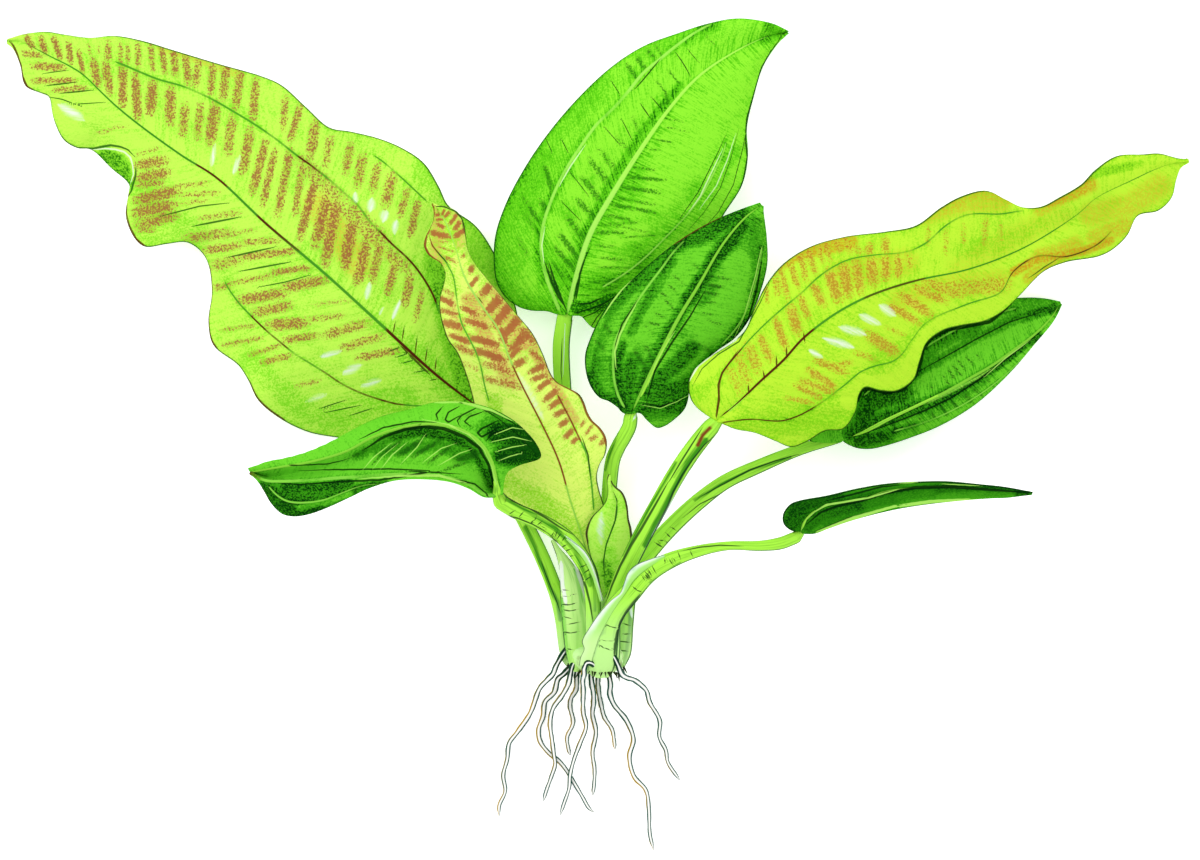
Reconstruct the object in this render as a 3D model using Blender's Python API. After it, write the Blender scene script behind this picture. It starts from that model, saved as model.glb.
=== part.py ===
"""An echinodorus, an amazon sword plant for aquariums, lifted out with bare roots and laid on its side.

The frame is metres with +Z up from the surface that the plant lies on. +Y runs from the crown towards
the leaf tips and +X to the right of somebody who looks down on the plant. Every hand-placed point below
is in millimetres, measured from the middle of the plant, and MM turns it to metres.
"""

import math

import bmesh
import bpy
import numpy as np

# Driving dimensions

MM = 0.001
MIDDLE_TO_ORIGIN = (0.9, 1.8)
BLADE_THICKNESS = 1.2
STALK_SIDES = 8
ROOT_SIDES = 6
ROOT_WIDTH = 2.5
ROOT_END_WIDTH = 1.5
CROWN_CENTRE = (-1.0, 16.5)
CROWN_TOP = -88.6
CROWN_SEGMENTS = 20
CROWN_CORNER = 2.8
CURVE_STEPS = 8

# Colours, as linear red, green and blue

YELLOW_GREEN = (0.39, 0.85, 0.06)
BANDED_GREEN = (0.50, 0.62, 0.06)
BRIGHT_GREEN = (0.16, 0.66, 0.03)
DARK_GREEN = (0.02, 0.27, 0.02)
STALK_GREEN = (0.38, 0.82, 0.10)
PALE_GREEN = (0.60, 0.87, 0.36)
ROOT_WHITE = (0.86, 0.84, 0.74)

# Blades. Each rail runs from the base to the tip, as (x, y, height), and the blade lies between its rails.

LEFT_LONG_LOWER = [
    (-46, 7.2, 9), (-58, 0, 6), (-72, -4, 4), (-88, -5.2, 2), (-104, -3.2, 1), (-117, -0.8, 2),
    (-128.5, 4.8, 5), (-137, 12, 8), (-141, 20, 7), (-145, 26, 4), (-155, 34, 1), (-157, 43, 0.6),
    (-155.5, 55.5, 4), (-158, 69, 9), (-165, 75, 12), (-173.5, 74.5, 10), (-182.5, 73.5, 5),
    (-187, 77.5, 2), (-190, 85.5, 0.6), (-189, 93.5, 1), (-188.5, 98, 0.6), (-196, 105, 0.6),
    (-204, 112.4, 2), (-209.5, 113, 5), (-215, 116.4, 8), (-218.5, 123.5, 7), (-219.6, 128, 5),
    (-220.8, 133.5, 6), (-224, 135, 4), (-230.4, 138, 2), (-232.2, 146, 2), (-235.2, 153.4, 3),
    (-237.8, 156.2, 4),
]
LEFT_LONG_RIB = [
    (-46, 7.2, 9), (-66, 22.5, 13), (-88.5, 43, 18), (-110.5, 63, 21), (-133.5, 82.5, 22),
    (-153.5, 101, 20), (-167, 109.6, 18), (-183.5, 121.5, 15), (-194, 130, 12), (-200, 135.6, 11),
    (-208, 143, 9), (-220, 149.6, 7), (-232, 155.6, 5), (-237.8, 156.2, 4),
]
LEFT_LONG_UPPER = [
    (-46, 7.2, 9), (-38, 18, 8), (-33.2, 32, 7), (-33.2, 46.8, 6), (-36.8, 58, 6), (-43.2, 72.4, 6),
    (-50, 82, 8), (-60.8, 90, 11), (-64.4, 97.2, 12), (-70.4, 106.8, 10), (-79, 112.8, 6),
    (-88.5, 116.8, 4), (-100, 119.6, 6), (-108.5, 121.2, 9), (-117.6, 129.2, 7), (-127.6, 138.2, 4),
    (-135.6, 141.8, 3), (-152.4, 146.6, 6), (-170.4, 152, 9), (-183.6, 156, 8), (-194.8, 158, 4),
    (-204, 157.2, 2), (-214, 158.4, 4), (-222, 159.6, 6), (-230.4, 158.6, 5), (-237.8, 156.2, 4),
]

STRIPED_LEFT = [
    (-0.8, -68, 14.5), (-3.2, -59, 14.5), (-8, -49, 15), (-16, -41, 16), (-26, -35, 18), (-36, -28, 20),
    (-42.4, -21, 22), (-46, -10, 24), (-48.8, 1, 26), (-50.8, 12, 28), (-53.6, 22, 30), (-57.2, 31, 33),
    (-60.8, 36, 33), (-62.8, 41.6, 31), (-64, 47, 29), (-64, 52.8, 28), (-62.4, 58.4, 30),
    (-62, 63.2, 33), (-64, 67, 34), (-66.8, 68.6, 33), (-69.2, 70.8, 31), (-70.4, 74, 29),
    (-69.6, 77.2, 28), (-67.6, 81, 29), (-66.4, 84.4, 31), (-66.4, 87.8, 31), (-67.2, 90.4, 30),
]
STRIPED_RIB = [
    (-0.8, -68, 14.5), (-4, -54, 15.5), (-8.4, -38.8, 18.5), (-12, -27.6, 22), (-16.4, -12.4, 27),
    (-23.2, 2.4, 31), (-31.4, 18.4, 34), (-36, 28.4, 36), (-40.8, 40.4, 37), (-48, 50.8, 37),
    (-54.4, 62, 37), (-57.8, 73.6, 35), (-61.6, 83.2, 33), (-64.4, 86.8, 31), (-67.2, 90.4, 30),
]
STRIPED_RIGHT = [
    (-0.8, -68, 14.5), (2.4, -58, 14), (3.6, -46, 14.5), (2.8, -36, 16.5), (1.4, -29.6, 18.5),
    (-0.4, -23.6, 21), (-1.2, -18.4, 23), (0, -13.6, 25), (2, -10, 26), (2.8, -5.6, 27),
    (2.2, -2.4, 28), (0, 1, 28), (-3, 3.8, 28), (-4.8, 6.8, 29), (-6.4, 11.2, 31), (-8.4, 14.4, 32),
    (-14.4, 17.6, 31), (-17.2, 19.2, 31), (-19.6, 22.4, 31), (-22.8, 30.4, 32), (-26.8, 38.4, 33),
    (-32, 44.8, 33), (-38.4, 52.4, 33), (-44.4, 59.6, 33), (-50.2, 66.8, 33), (-52.8, 72, 34),
    (-53.6, 78, 35), (-54.4, 82.8, 34), (-56.4, 86.6, 32), (-59, 88.4, 31), (-62.8, 89.4, 30),
    (-67.2, 90.4, 30),
]

FOLDED_FAR = [
    (-40.8, -26, 48), (-40, -20.8, 47), (-38.8, -17.2, 46), (-35.2, -14, 44), (-28, -12.6, 42),
    (-23.6, -10.8, 42), (-24.8, -6.4, 44), (-29.2, -0.8, 48), (-34.8, 4, 50), (-42, 8, 52),
    (-50, 10.4, 54), (-58, 11.2, 54), (-66, 10.8, 53), (-76, 8, 51), (-86, 5.6, 48), (-96, 1.2, 45),
    (-104.8, -4, 41), (-114, -8.8, 37), (-123.2, -11.8, 33), (-131.2, -13, 29), (-136, -15.2, 27),
    (-140, -16.8, 25),
]
FOLDED_RIB = [
    (-40.8, -26, 48), (-41.6, -20, 53), (-42.8, -14, 57), (-45.2, -8.4, 60), (-48.8, -4, 62),
    (-54, -0.4, 63.5), (-60, 1.6, 64), (-68, 2.4, 64), (-76, 1.6, 62), (-84, -0.4, 60),
    (-92, -3.6, 56), (-100, -8, 52), (-108, -10.8, 47), (-118, -13.2, 41), (-128, -14.8, 34),
    (-140, -16.8, 25),
]
FOLDED_RIDGE = [
    (-40.8, -26, 48), (-46, -25.6, 50), (-51, -22.4, 53), (-58, -19.6, 55), (-66, -18, 56),
    (-76, -17.6, 56), (-86, -17.8, 54), (-96, -18.6, 51), (-106, -19.2, 47), (-116, -20, 42),
    (-126, -20.4, 36), (-134, -20, 31), (-140, -16.8, 25),
]
FOLDED_NEAR = [
    (-40.8, -26, 48), (-46, -26.4, 47), (-52, -23.2, 47), (-60, -20.4, 48), (-72, -19.4, 47),
    (-82, -20, 44), (-92, -23, 40), (-100, -26.8, 36), (-108, -30.6, 32), (-116, -33.6, 28),
    (-122, -34.6, 25), (-127, -33.6, 23), (-131.2, -29.6, 22), (-134.4, -24, 22), (-137, -19.6, 23.5),
    (-140, -16.8, 25),
]

TOP_LEFT = [
    (-13.2, 46.4, 15), (-17.4, 46.4, 14), (-21.2, 47.6, 13), (-28.4, 48, 12), (-33.2, 49.6, 11.5),
    (-38.2, 53.6, 11.5), (-41.2, 58.6, 12), (-42.4, 64.4, 12), (-42, 77.4, 13), (-37.8, 90.4, 14),
    (-30, 105.2, 16), (-20.4, 119.2, 18), (-8.8, 132.8, 18), (4.4, 145.2, 16), (17.2, 153.6, 13),
    (30.4, 158.6, 10), (41.8, 162.4, 8), (54, 164.8, 6), (64, 164, 5), (71.2, 161.9, 3),
    (74.4, 159.4, 1.5),
]
TOP_RIB = [
    (-13.2, 46.4, 15), (-9.6, 61.2, 18), (-3.6, 79.2, 22), (6, 96, 25), (16.4, 112.4, 26),
    (28, 128.8, 24), (39.2, 141.2, 20), (52.4, 150.4, 14), (66.4, 157.4, 6), (74.4, 159.4, 1.5),
]
TOP_RIGHT = [
    (-13.2, 46.4, 15), (-10.8, 46, 14), (-7.6, 45.6, 13), (-5.2, 43.2, 11), (-2.4, 40.8, 10),
    (4.8, 40.8, 10), (16, 46, 12), (28, 55.2, 14), (40, 68.8, 16), (49.2, 85.6, 17), (56.8, 97.8, 17),
    (59.2, 109.2, 15), (58.8, 120.8, 15), (61.4, 132.8, 13), (65.2, 145.6, 8), (71.6, 155.8, 3),
    (74.4, 159.4, 1.5),
]

MIDDLE_LEFT = [
    (12.4, 7.2, 27), (9.2, 6.8, 28), (6.8, 9.2, 29), (3.2, 11.6, 30), (0, 12.8, 30), (-3.2, 16.4, 30),
    (-5.4, 22, 30), (-6, 29.6, 30), (-4.4, 35.4, 30), (0.8, 46.4, 31), (6.8, 54.4, 32),
    (13.6, 60.8, 33), (27.6, 72.8, 34), (40.8, 81.2, 35), (55.6, 87.6, 36), (64.6, 89.8, 36),
]
MIDDLE_RIB = [
    (12.4, 7.2, 27), (16, 14.4, 30), (23.6, 29.6, 36), (31.2, 44.4, 40), (39, 57.2, 42),
    (49.2, 74.4, 42), (58, 84.8, 39), (64.6, 89.8, 36),
]
MIDDLE_RIGHT = [
    (12.4, 7.2, 27), (16.4, 6.8, 26), (19.2, 3.6, 24), (22.8, 0.8, 21), (26, 1.6, 20), (30, 4.4, 21),
    (33.6, 8, 23), (35.2, 12, 25), (36, 18.8, 27), (40.4, 26, 28), (46.8, 31.6, 29), (54, 36.8, 30),
    (60, 44.8, 31), (64, 54.8, 32), (66.8, 66, 33), (66.6, 76.8, 34), (65.6, 84, 35),
    (64.6, 89.8, 36),
]

RIGHT_LONG_UPPER = [
    (46.4, 4, 38), (40.8, 7.2, 38), (36.8, 11.2, 39), (35.2, 16.8, 40), (36.4, 22.4, 40),
    (42, 28, 40), (52, 34.4, 40), (58, 40, 40), (61.6, 48.8, 41), (66.8, 58.8, 42), (73.2, 66.4, 42),
    (84, 73.2, 38), (98, 77.2, 34), (114, 79.2, 36), (126, 81.6, 40), (136, 88.8, 42),
    (144, 93.2, 40), (154, 95.6, 34), (161.2, 92.4, 28), (168, 89.2, 26), (176, 89.2, 28),
    (183.2, 92.8, 30), (192, 98, 28), (198, 104, 21), (207.2, 109.8, 12), (217.2, 110.4, 8),
    (224, 110.8, 7), (232, 108.8, 4), (236, 108.6, 2.5),
]
RIGHT_LONG_RIB = [
    (46.4, 4, 38), (56, 12, 42), (64, 19.6, 44), (73.2, 28, 45), (81.2, 36.8, 46), (93.2, 46, 46),
    (104, 52, 45), (114, 56, 43), (127.6, 60, 40), (146, 64, 36), (162, 69.6, 32), (175.2, 76, 28),
    (191.2, 86.8, 23), (198, 92.8, 19), (212, 99.6, 12), (226, 106, 5), (236, 108.6, 2.5),
]
RIGHT_LONG_LOWER = [
    (46.4, 4, 38), (54, 0.4, 36), (62, -1.2, 34), (70, -4.4, 32), (76.4, -6.8, 30), (82.4, -4.8, 30),
    (90, -0.4, 32), (97.2, 0.4, 32), (102, 7.2, 34), (103.2, 13.6, 36), (105.6, 16.8, 36),
    (112, 15.6, 32), (118.8, 15.6, 28), (125.2, 20, 28), (127.6, 27.2, 32), (130.4, 34.8, 35),
    (136.8, 39.6, 34), (144, 41.6, 30), (154, 43.6, 26), (161.2, 47.6, 24), (168, 54, 25),
    (177.2, 63.2, 26), (186, 67, 22), (200, 69.6, 15), (206, 72.8, 12), (211.2, 78, 11),
    (215.2, 85.6, 10), (224, 88, 4), (229.2, 93.2, 1), (230.8, 100, 0.6), (232.8, 105.8, 1.5),
    (236, 108.6, 2.5),
]

BROAD_UPPER = [
    (96, -2.8, 18), (90, -4, 19), (84, -4.4, 19), (83.2, 0.8, 18), (88, 10.8, 16), (100, 23.2, 14),
    (116, 35.2, 13), (134, 45.2, 11), (152, 51.2, 8), (168, 53, 5), (178, 52.8, 3),
    (184.4, 51.2, 1.5),
]
BROAD_RIB = [
    (96, -2.8, 18), (106, 0, 20), (116, 4.8, 21), (128, 10.4, 21), (138, 15.2, 20), (148, 20.8, 18),
    (157, 26, 15), (166, 32.4, 11), (174, 38.4, 7), (181, 45.6, 3), (184.4, 51.2, 1.5),
]
BROAD_LOWER = [
    (96, -2.8, 18), (98.4, -5.2, 17), (102.8, -7.2, 15), (108, -7.6, 14), (114, -6.4, 13),
    (124, -3.2, 12), (136, 1.6, 11), (150, 10, 8), (164, 22.8, 4), (175.2, 36, 1), (180.8, 43.2, 0.6),
    (183.2, 48, 1), (184.4, 51.2, 1.5),
]

NARROW_UPPER = [
    (80, -41.2, 28), (76, -40, 30), (73.2, -37.2, 34), (73.2, -33.2, 38), (76, -29.6, 42),
    (80, -28.2, 44), (90, -26.4, 46), (102, -23.6, 46), (114, -21.6, 45), (126, -20.8, 43),
    (138, -20.6, 39), (152, -21.8, 33), (162, -22.8, 28), (173.2, -24.8, 20),
]
NARROW_RIB = [
    (80, -41.2, 28), (81.2, -36.4, 29), (84, -33.2, 30), (88.8, -30.4, 30), (96, -28.4, 30),
    (104.8, -27, 29), (114, -24, 28), (122, -22.8, 27), (134, -22.2, 26), (148, -22.8, 24),
    (162, -24, 22), (173.2, -24.8, 20),
]
NARROW_LOWER = [
    (80, -41.2, 28), (85.2, -41.6, 24), (92, -39.2, 17), (100, -36.4, 12), (110, -33.6, 9),
    (120, -31.4, 8), (130, -29.8, 8), (144, -28.2, 9), (156, -27.2, 12), (164, -26.8, 15),
    (173.2, -24.8, 20),
]

YOUNG_LEFT = [
    (1.6, -67.2, 18), (-1.2, -58, 19), (-4, -50, 20), (-5.4, -44, 21), (-5.8, -41.2, 22),
    (-4.8, -37.6, 22.5), (-3, -34.4, 23), (0, -31.4, 24), (2.2, -28.4, 25), (3.2, -24, 26),
    (2.8, -19.8, 27), (3.6, -17.6, 27),
]
YOUNG_RIB = [
    (1.6, -67.2, 18), (1.4, -56, 18.5), (2.2, -46, 20), (6, -36.4, 22), (6.8, -32, 23),
    (6.4, -28.4, 24), (4.4, -22.8, 26), (3.6, -17.6, 27),
]
YOUNG_RIGHT = [
    (1.6, -67.2, 18), (4.8, -62, 17.5), (9.6, -54, 17.5), (12.8, -46, 18.5), (12.6, -39.4, 20),
    (11.6, -35.6, 21), (11.1, -30.8, 22), (10.2, -27.2, 23), (8.6, -24.4, 24), (6.2, -22.8, 25),
    (4, -20.4, 26), (3.6, -17.6, 27),
]

# Each blade: name, colour, its rails from side to side, how far each panel between two rails bows, rows

BLADES = [
    ("left_long_blade", YELLOW_GREEN, (LEFT_LONG_LOWER, LEFT_LONG_RIB, LEFT_LONG_UPPER), (2, 2), 32),
    ("striped_blade", BANDED_GREEN, (STRIPED_LEFT, STRIPED_RIB, STRIPED_RIGHT), (1.2, 1.2), 26),
    ("folded_blade", DARK_GREEN, (FOLDED_FAR, FOLDED_RIB, FOLDED_RIDGE, FOLDED_NEAR), (2, -5, 0.5), 18),
    ("top_blade", BRIGHT_GREEN, (TOP_LEFT, TOP_RIB, TOP_RIGHT), (3, 3), 18),
    ("middle_blade", DARK_GREEN, (MIDDLE_LEFT, MIDDLE_RIB, MIDDLE_RIGHT), (1.5, 1.5), 18),
    ("right_long_blade", YELLOW_GREEN,
     (RIGHT_LONG_UPPER, RIGHT_LONG_RIB, RIGHT_LONG_LOWER), (1.5, 1.5), 30),
    ("broad_blade", DARK_GREEN, (BROAD_UPPER, BROAD_RIB, BROAD_LOWER), (2, 1), 16),
    ("narrow_blade", DARK_GREEN, (NARROW_UPPER, NARROW_RIB, NARROW_LOWER), (0.5, 1), 16),
    ("young_leaf", BRIGHT_GREEN, (YOUNG_LEFT, YOUNG_RIB, YOUNG_RIGHT), (1.5, 0.5), 12),
]
PANEL_COLUMNS = 3

# Stalks, as (x, y, height, width, depth) from the crown to the blade

LEFT_LONG_STALK = [
    (-13.6, -88.2, 5.4, 5.6, 5), (-15.2, -76, 5.2, 5.8, 5), (-17.2, -66.8, 5, 6, 5),
    (-22.8, -52, 5, 6, 5), (-30, -37.2, 5.4, 5.8, 5), (-38, -22, 6, 5.6, 5), (-43.6, -6, 6.6, 5.4, 4.8),
    (-45.4, 2.8, 7.2, 5.4, 4.8),
]
STRIPED_STALK = [
    (-0.8, -88.2, 15, 5, 3), (-0.8, -78, 15, 5, 3), (-0.8, -69, 15, 4.6, 2.6),
]
FOLDED_STALK = [
    (-2.8, -88.2, 23.5, 6, 5.6), (-2.8, -78, 23.5, 6, 5.6), (-2.9, -68, 24, 6.2, 5.6),
    (-4.2, -58, 26.5, 6.8, 6), (-8, -50.4, 29.5, 7, 6), (-14, -43.2, 33, 7, 6),
    (-23.6, -36.8, 38, 6.6, 5.8), (-33, -32.6, 42.5, 6.4, 5.6), (-39.6, -28.8, 46, 6.2, 5.4),
]
TOP_STALK = [
    (-0.8, -88.2, 5, 6, 5), (-0.8, -70, 4.6, 6.2, 5), (-3.4, -52, 4.6, 6.4, 5), (-8, -28, 5.6, 6.6, 5),
    (-12.8, -4, 7, 6.8, 5), (-15, 17.6, 8.5, 6.8, 5), (-15.6, 34, 11.6, 6.8, 5),
    (-14.2, 45, 14, 6.4, 4.6),
]
MIDDLE_STALK = [
    (1.6, -88.2, 11, 5.6, 4.4), (1.6, -70, 10.6, 5.6, 4.4), (2.4, -52, 10.6, 5.8, 4.6),
    (3.2, -36, 12, 6, 5), (3.8, -22, 14, 6, 5), (5.2, -11.6, 18, 6, 5), (7.2, -6.8, 20, 6, 5),
    (9.6, -2.6, 22.4, 6, 4.8), (11.6, 1.4, 24.4, 5.8, 4.6), (12.2, 5, 25.8, 5.6, 4.4),
]
RIGHT_LONG_STALK = [
    (4.8, -88.2, 22.5, 6.4, 5.4), (4.8, -80, 22.5, 6.4, 5.4), (5, -70, 23, 6.6, 5.6),
    (7.6, -62, 24, 7, 5.8), (12, -52, 25.6, 7.4, 6), (18, -40, 28.6, 7.6, 6), (24, -29.2, 31.6, 7.8, 6),
    (30, -18.4, 34, 7.6, 6), (36, -9.2, 36, 7.4, 5.8), (41.2, -2.4, 37.2, 7.2, 5.6),
    (44.4, 1.4, 37.6, 6.8, 5.2),
]
BROAD_STALK = [
    (9.4, -88.2, 8, 6.4, 5), (9.4, -78, 7.6, 7.8, 5), (10.8, -66, 7.6, 7.6, 5), (14, -56, 8, 7.2, 5),
    (20.8, -47.2, 9, 7, 5), (28.8, -38.4, 9.8, 6.8, 5), (39.2, -28.8, 10.6, 6.6, 5),
    (50, -20.8, 11.6, 6, 4.8), (62.8, -14.8, 12.6, 5.6, 4.4), (80, -7.8, 13.6, 4.6, 3.8),
    (94.6, -3.4, 14.6, 4.2, 3),
]
NARROW_STALK = [
    (0.6, -88.2, 30, 12.4, 5.4), (1.2, -84, 30, 12, 5.4), (2.6, -78, 30.5, 10.6, 5.6),
    (6, -72, 31, 9.2, 5.8), (12, -65, 31.6, 8.4, 5.8), (18.8, -57.6, 32.2, 7.6, 5.8),
    (27.2, -52.4, 32.6, 6.6, 5.4), (38.8, -48.4, 32.6, 4.8, 4.6), (51.2, -46.2, 32.4, 3.6, 4),
    (64, -46.2, 31.6, 4.2, 4.2), (72, -45.2, 30.2, 5, 4.6), (78.2, -42.9, 28.6, 5, 4.4),
]
YOUNG_STALK = [
    (2, -88.2, 18.2, 4.4, 2.4), (2, -78, 18.2, 4.4, 2.4), (1.7, -68.2, 18, 4, 2),
]
OUTER_SHEATH = [
    (-11, -88.2, 13, 8.4, 4.4), (-11, -84, 13, 9, 4.4), (-10.8, -76, 13, 9.6, 4.4),
    (-10.9, -68, 13.4, 9.6, 4.2), (-12.4, -58, 15, 8, 3.6), (-15, -50, 16.4, 5.6, 2.6),
    (-17.6, -43, 17.4, 2.8, 1.6),
]
STALKS = [
    ("left_long_stalk", STALK_GREEN, LEFT_LONG_STALK, 12),
    ("striped_stalk", PALE_GREEN, STRIPED_STALK, 4),
    ("folded_stalk", STALK_GREEN, FOLDED_STALK, 13),
    ("top_stalk", STALK_GREEN, TOP_STALK, 12),
    ("middle_stalk", STALK_GREEN, MIDDLE_STALK, 12),
    ("right_long_stalk", STALK_GREEN, RIGHT_LONG_STALK, 12),
    ("broad_stalk", STALK_GREEN, BROAD_STALK, 14),
    ("narrow_stalk", STALK_GREEN, NARROW_STALK, 16),
    ("young_stalk", PALE_GREEN, YOUNG_STALK, 4),
    ("outer_sheath", PALE_GREEN, OUTER_SHEATH, 8),
]

# Roots, as (x, y, height) from the crown to the tip. Roots that cross another pass over or under it.

ROOTS = [
    [(-17.6, -94.6, 10), (-18.8, -97.6, 8.5), (-21.2, -100.2, 6.5), (-24.2, -103.6, 4.5),
     (-28, -113.6, 1.6), (-33.2, -121.2, 1.2), (-36.4, -125.6, 1.1), (-37.2, -132, 1),
     (-38.8, -138.4, 0.9), (-38, -144.8, 0.8), (-40.4, -150.6, 0.8), (-40.4, -154.8, 0.8)],
    [(-11.4, -97.2, 15), (-12.8, -102, 11), (-15.2, -106.4, 8), (-18.8, -111.6, 5), (-20, -117.4, 3.2),
     (-19.2, -124.4, 3.4), (-18.4, -130.6, 3.6), (-18, -134, 2.6), (-19.6, -139.2, 1),
     (-21.6, -144.8, 0.8), (-22.8, -149, 0.8)],
    [(-14.6, -97.8, 9), (-16.8, -99.8, 7), (-18.4, -105.2, 4), (-22, -109, 2), (-22.8, -114.8, 1.2),
     (-24.6, -120, 1), (-24, -124.8, 1), (-20.4, -129.6, 1), (-16.4, -132.8, 1), (-14, -135.6, 1),
     (-12, -138.8, 1), (-7.2, -146.8, 0.9), (-4.4, -151.6, 0.8), (-2.4, -153.2, 0.8)],
    [(-9.2, -97, 5), (-9.6, -104, 3.2), (-11.6, -107.6, 2.2), (-12, -110.8, 1.6),
     (-10.8, -117.4, 1.2), (-13.2, -123.2, 1), (-12.8, -127.2, 0.8), (-12, -130.4, 0.8)],
    [(-6.2, -97.6, 21), (-6.9, -100.4, 18), (-6.7, -104, 14), (-6.7, -113.2, 6), (-5.6, -119, 3.4),
     (-8, -125.6, 2.8), (-10.4, -132, 3.2), (-12, -138.4, 3.6), (-12.4, -143.6, 1.8),
     (-14.4, -149.6, 0.8), (-16, -154.4, 0.8)],
    [(-3.6, -97.2, 13), (-3.2, -102, 9.5), (-2.6, -105.6, 7.4), (-2.6, -109.6, 5), (-3, -114, 2),
     (-1.6, -121.2, 1.2), (-3, -129.2, 1), (-2.2, -136, 0.9), (-2.4, -142.4, 0.8), (-3, -146.6, 0.8)],
    [(-0.6, -97, 5), (-0.8, -102, 3), (-0.4, -105.6, 2.2), (0.6, -110.8, 1.4), (1.8, -115.2, 1.2),
     (4.8, -120, 1), (5.6, -124, 0.8), (6, -128, 0.8)],
    [(3.4, -97.2, 14), (4.2, -102, 10), (4, -105.6, 7.5), (5.6, -110, 5), (10.6, -116.4, 1.8),
     (13.4, -124, 1.2), (11.8, -130.8, 1.1), (13.6, -138.8, 1), (18.4, -144.4, 1), (19.6, -152.2, 0.9),
     (20, -162, 0.8), (21.5, -168.4, 0.8)],
    [(8.4, -97.8, 23), (10.6, -99, 20), (13.6, -100, 17), (16.4, -102, 13.5), (18.6, -104.4, 10.5),
     (20, -109.2, 6), (24, -116.6, 1.8), (23.8, -123, 1.2), (26.4, -128.4, 1), (27.2, -133.2, 0.9),
     (32, -140.4, 0.8)],
]
ROOT_RINGS = 18

# Crown rings, as (y, half width, half height)

CROWN_RINGS = [(CROWN_TOP, 15, 15.8), (-90.4, 15.8, 16.5), (-93.2, 15, 15.8), (-95.6, 12.4, 13)]


def blend(start, end, start_knot, end_knot, t):
    """The point that moves from start to end while t goes from one knot to the other."""
    share = (t - start_knot) / (end_knot - start_knot)
    return start + (end - start) * share


def curve_through(points):
    """A dense, smooth curve through hand-placed points, spaced so that it never loops between two."""
    given = np.array(points, float)
    ends = np.vstack([2 * given[0] - given[1], given, 2 * given[-1] - given[-2]])
    gaps = np.sqrt(np.linalg.norm(np.diff(ends[:, :3], axis=0), axis=1))
    knots = np.concatenate([[0.0], np.cumsum(gaps)])
    dense = []
    for i in range(1, len(ends) - 2):
        p0, p1, p2, p3 = ends[i - 1:i + 3]
        k0, k1, k2, k3 = knots[i - 1:i + 3]
        t = np.linspace(k1, k2, CURVE_STEPS, endpoint=False)[:, None]
        before = blend(p0, p1, k0, k1, t)
        middle = blend(p1, p2, k1, k2, t)
        after = blend(p2, p3, k2, k3, t)
        dense.append(blend(blend(before, middle, k0, k2, t), blend(middle, after, k1, k3, t), k1, k2, t))
    return np.vstack(dense + [given[-1:]])


def evenly(points, count):
    """count + 1 points at equal steps along the smooth curve through the hand-placed ones."""
    dense = curve_through(points)
    length = np.concatenate([[0.0], np.cumsum(np.linalg.norm(np.diff(dense[:, :3], axis=0), axis=1))])
    wanted = np.linspace(0.0, length[-1], count + 1)
    return np.column_stack([np.interp(wanted, length, column) for column in dense.T])


def unit(vectors):
    """Each row scaled to length one."""
    lengths = np.linalg.norm(vectors, axis=-1, keepdims=True)
    return vectors / np.maximum(lengths, 1e-9)


def add_object(name, mesh_data, colour):
    """Moves millimetres to metres and the plant's middle to the origin, and links the finished object."""
    bmesh.ops.triangulate(mesh_data, faces=mesh_data.faces[:])
    bmesh.ops.recalc_face_normals(mesh_data, faces=mesh_data.faces[:])
    for vertex in mesh_data.verts:
        vertex.co.x = (vertex.co.x + MIDDLE_TO_ORIGIN[0]) * MM
        vertex.co.y = (vertex.co.y + MIDDLE_TO_ORIGIN[1]) * MM
        vertex.co.z = vertex.co.z * MM
    mesh = bpy.data.meshes.new(name)
    mesh_data.to_mesh(mesh)
    mesh_data.free()
    mesh.shade_smooth()
    mesh.set_sharp_from_angle(angle=math.radians(50))
    material = bpy.data.materials.new(name + "_finish")
    material.use_nodes = True
    shader = material.node_tree.nodes["Principled BSDF"]
    shader.inputs["Base Color"].default_value = (*colour, 1.0)
    shader.inputs["Roughness"].default_value = 0.5
    shader.inputs["Metallic"].default_value = 0.0
    mesh.materials.append(material)
    bpy.context.scene.collection.objects.link(bpy.data.objects.new(name, mesh))


def blade_surface(rails, bows, rows):
    """The middle surface of a blade, as a grid of points from base to tip and from side to side."""
    lines = [evenly(rail, rows) for rail in rails]
    columns = [lines[0]]
    for start, end, bow in zip(lines[:-1], lines[1:], bows):
        along = np.gradient(start + end, axis=0)
        out = unit(np.cross(end - start, along))
        out *= np.where(out[:, 2:] < 0, -1.0, 1.0)
        for step in range(1, PANEL_COLUMNS + 1):
            share = step / PANEL_COLUMNS
            columns.append(start + (end - start) * share + out * bow * math.sin(math.pi * share))
    grid = np.stack(columns, axis=1)
    grid[:, :, 2] = np.maximum(grid[:, :, 2], BLADE_THICKNESS / 2)
    return grid


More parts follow.
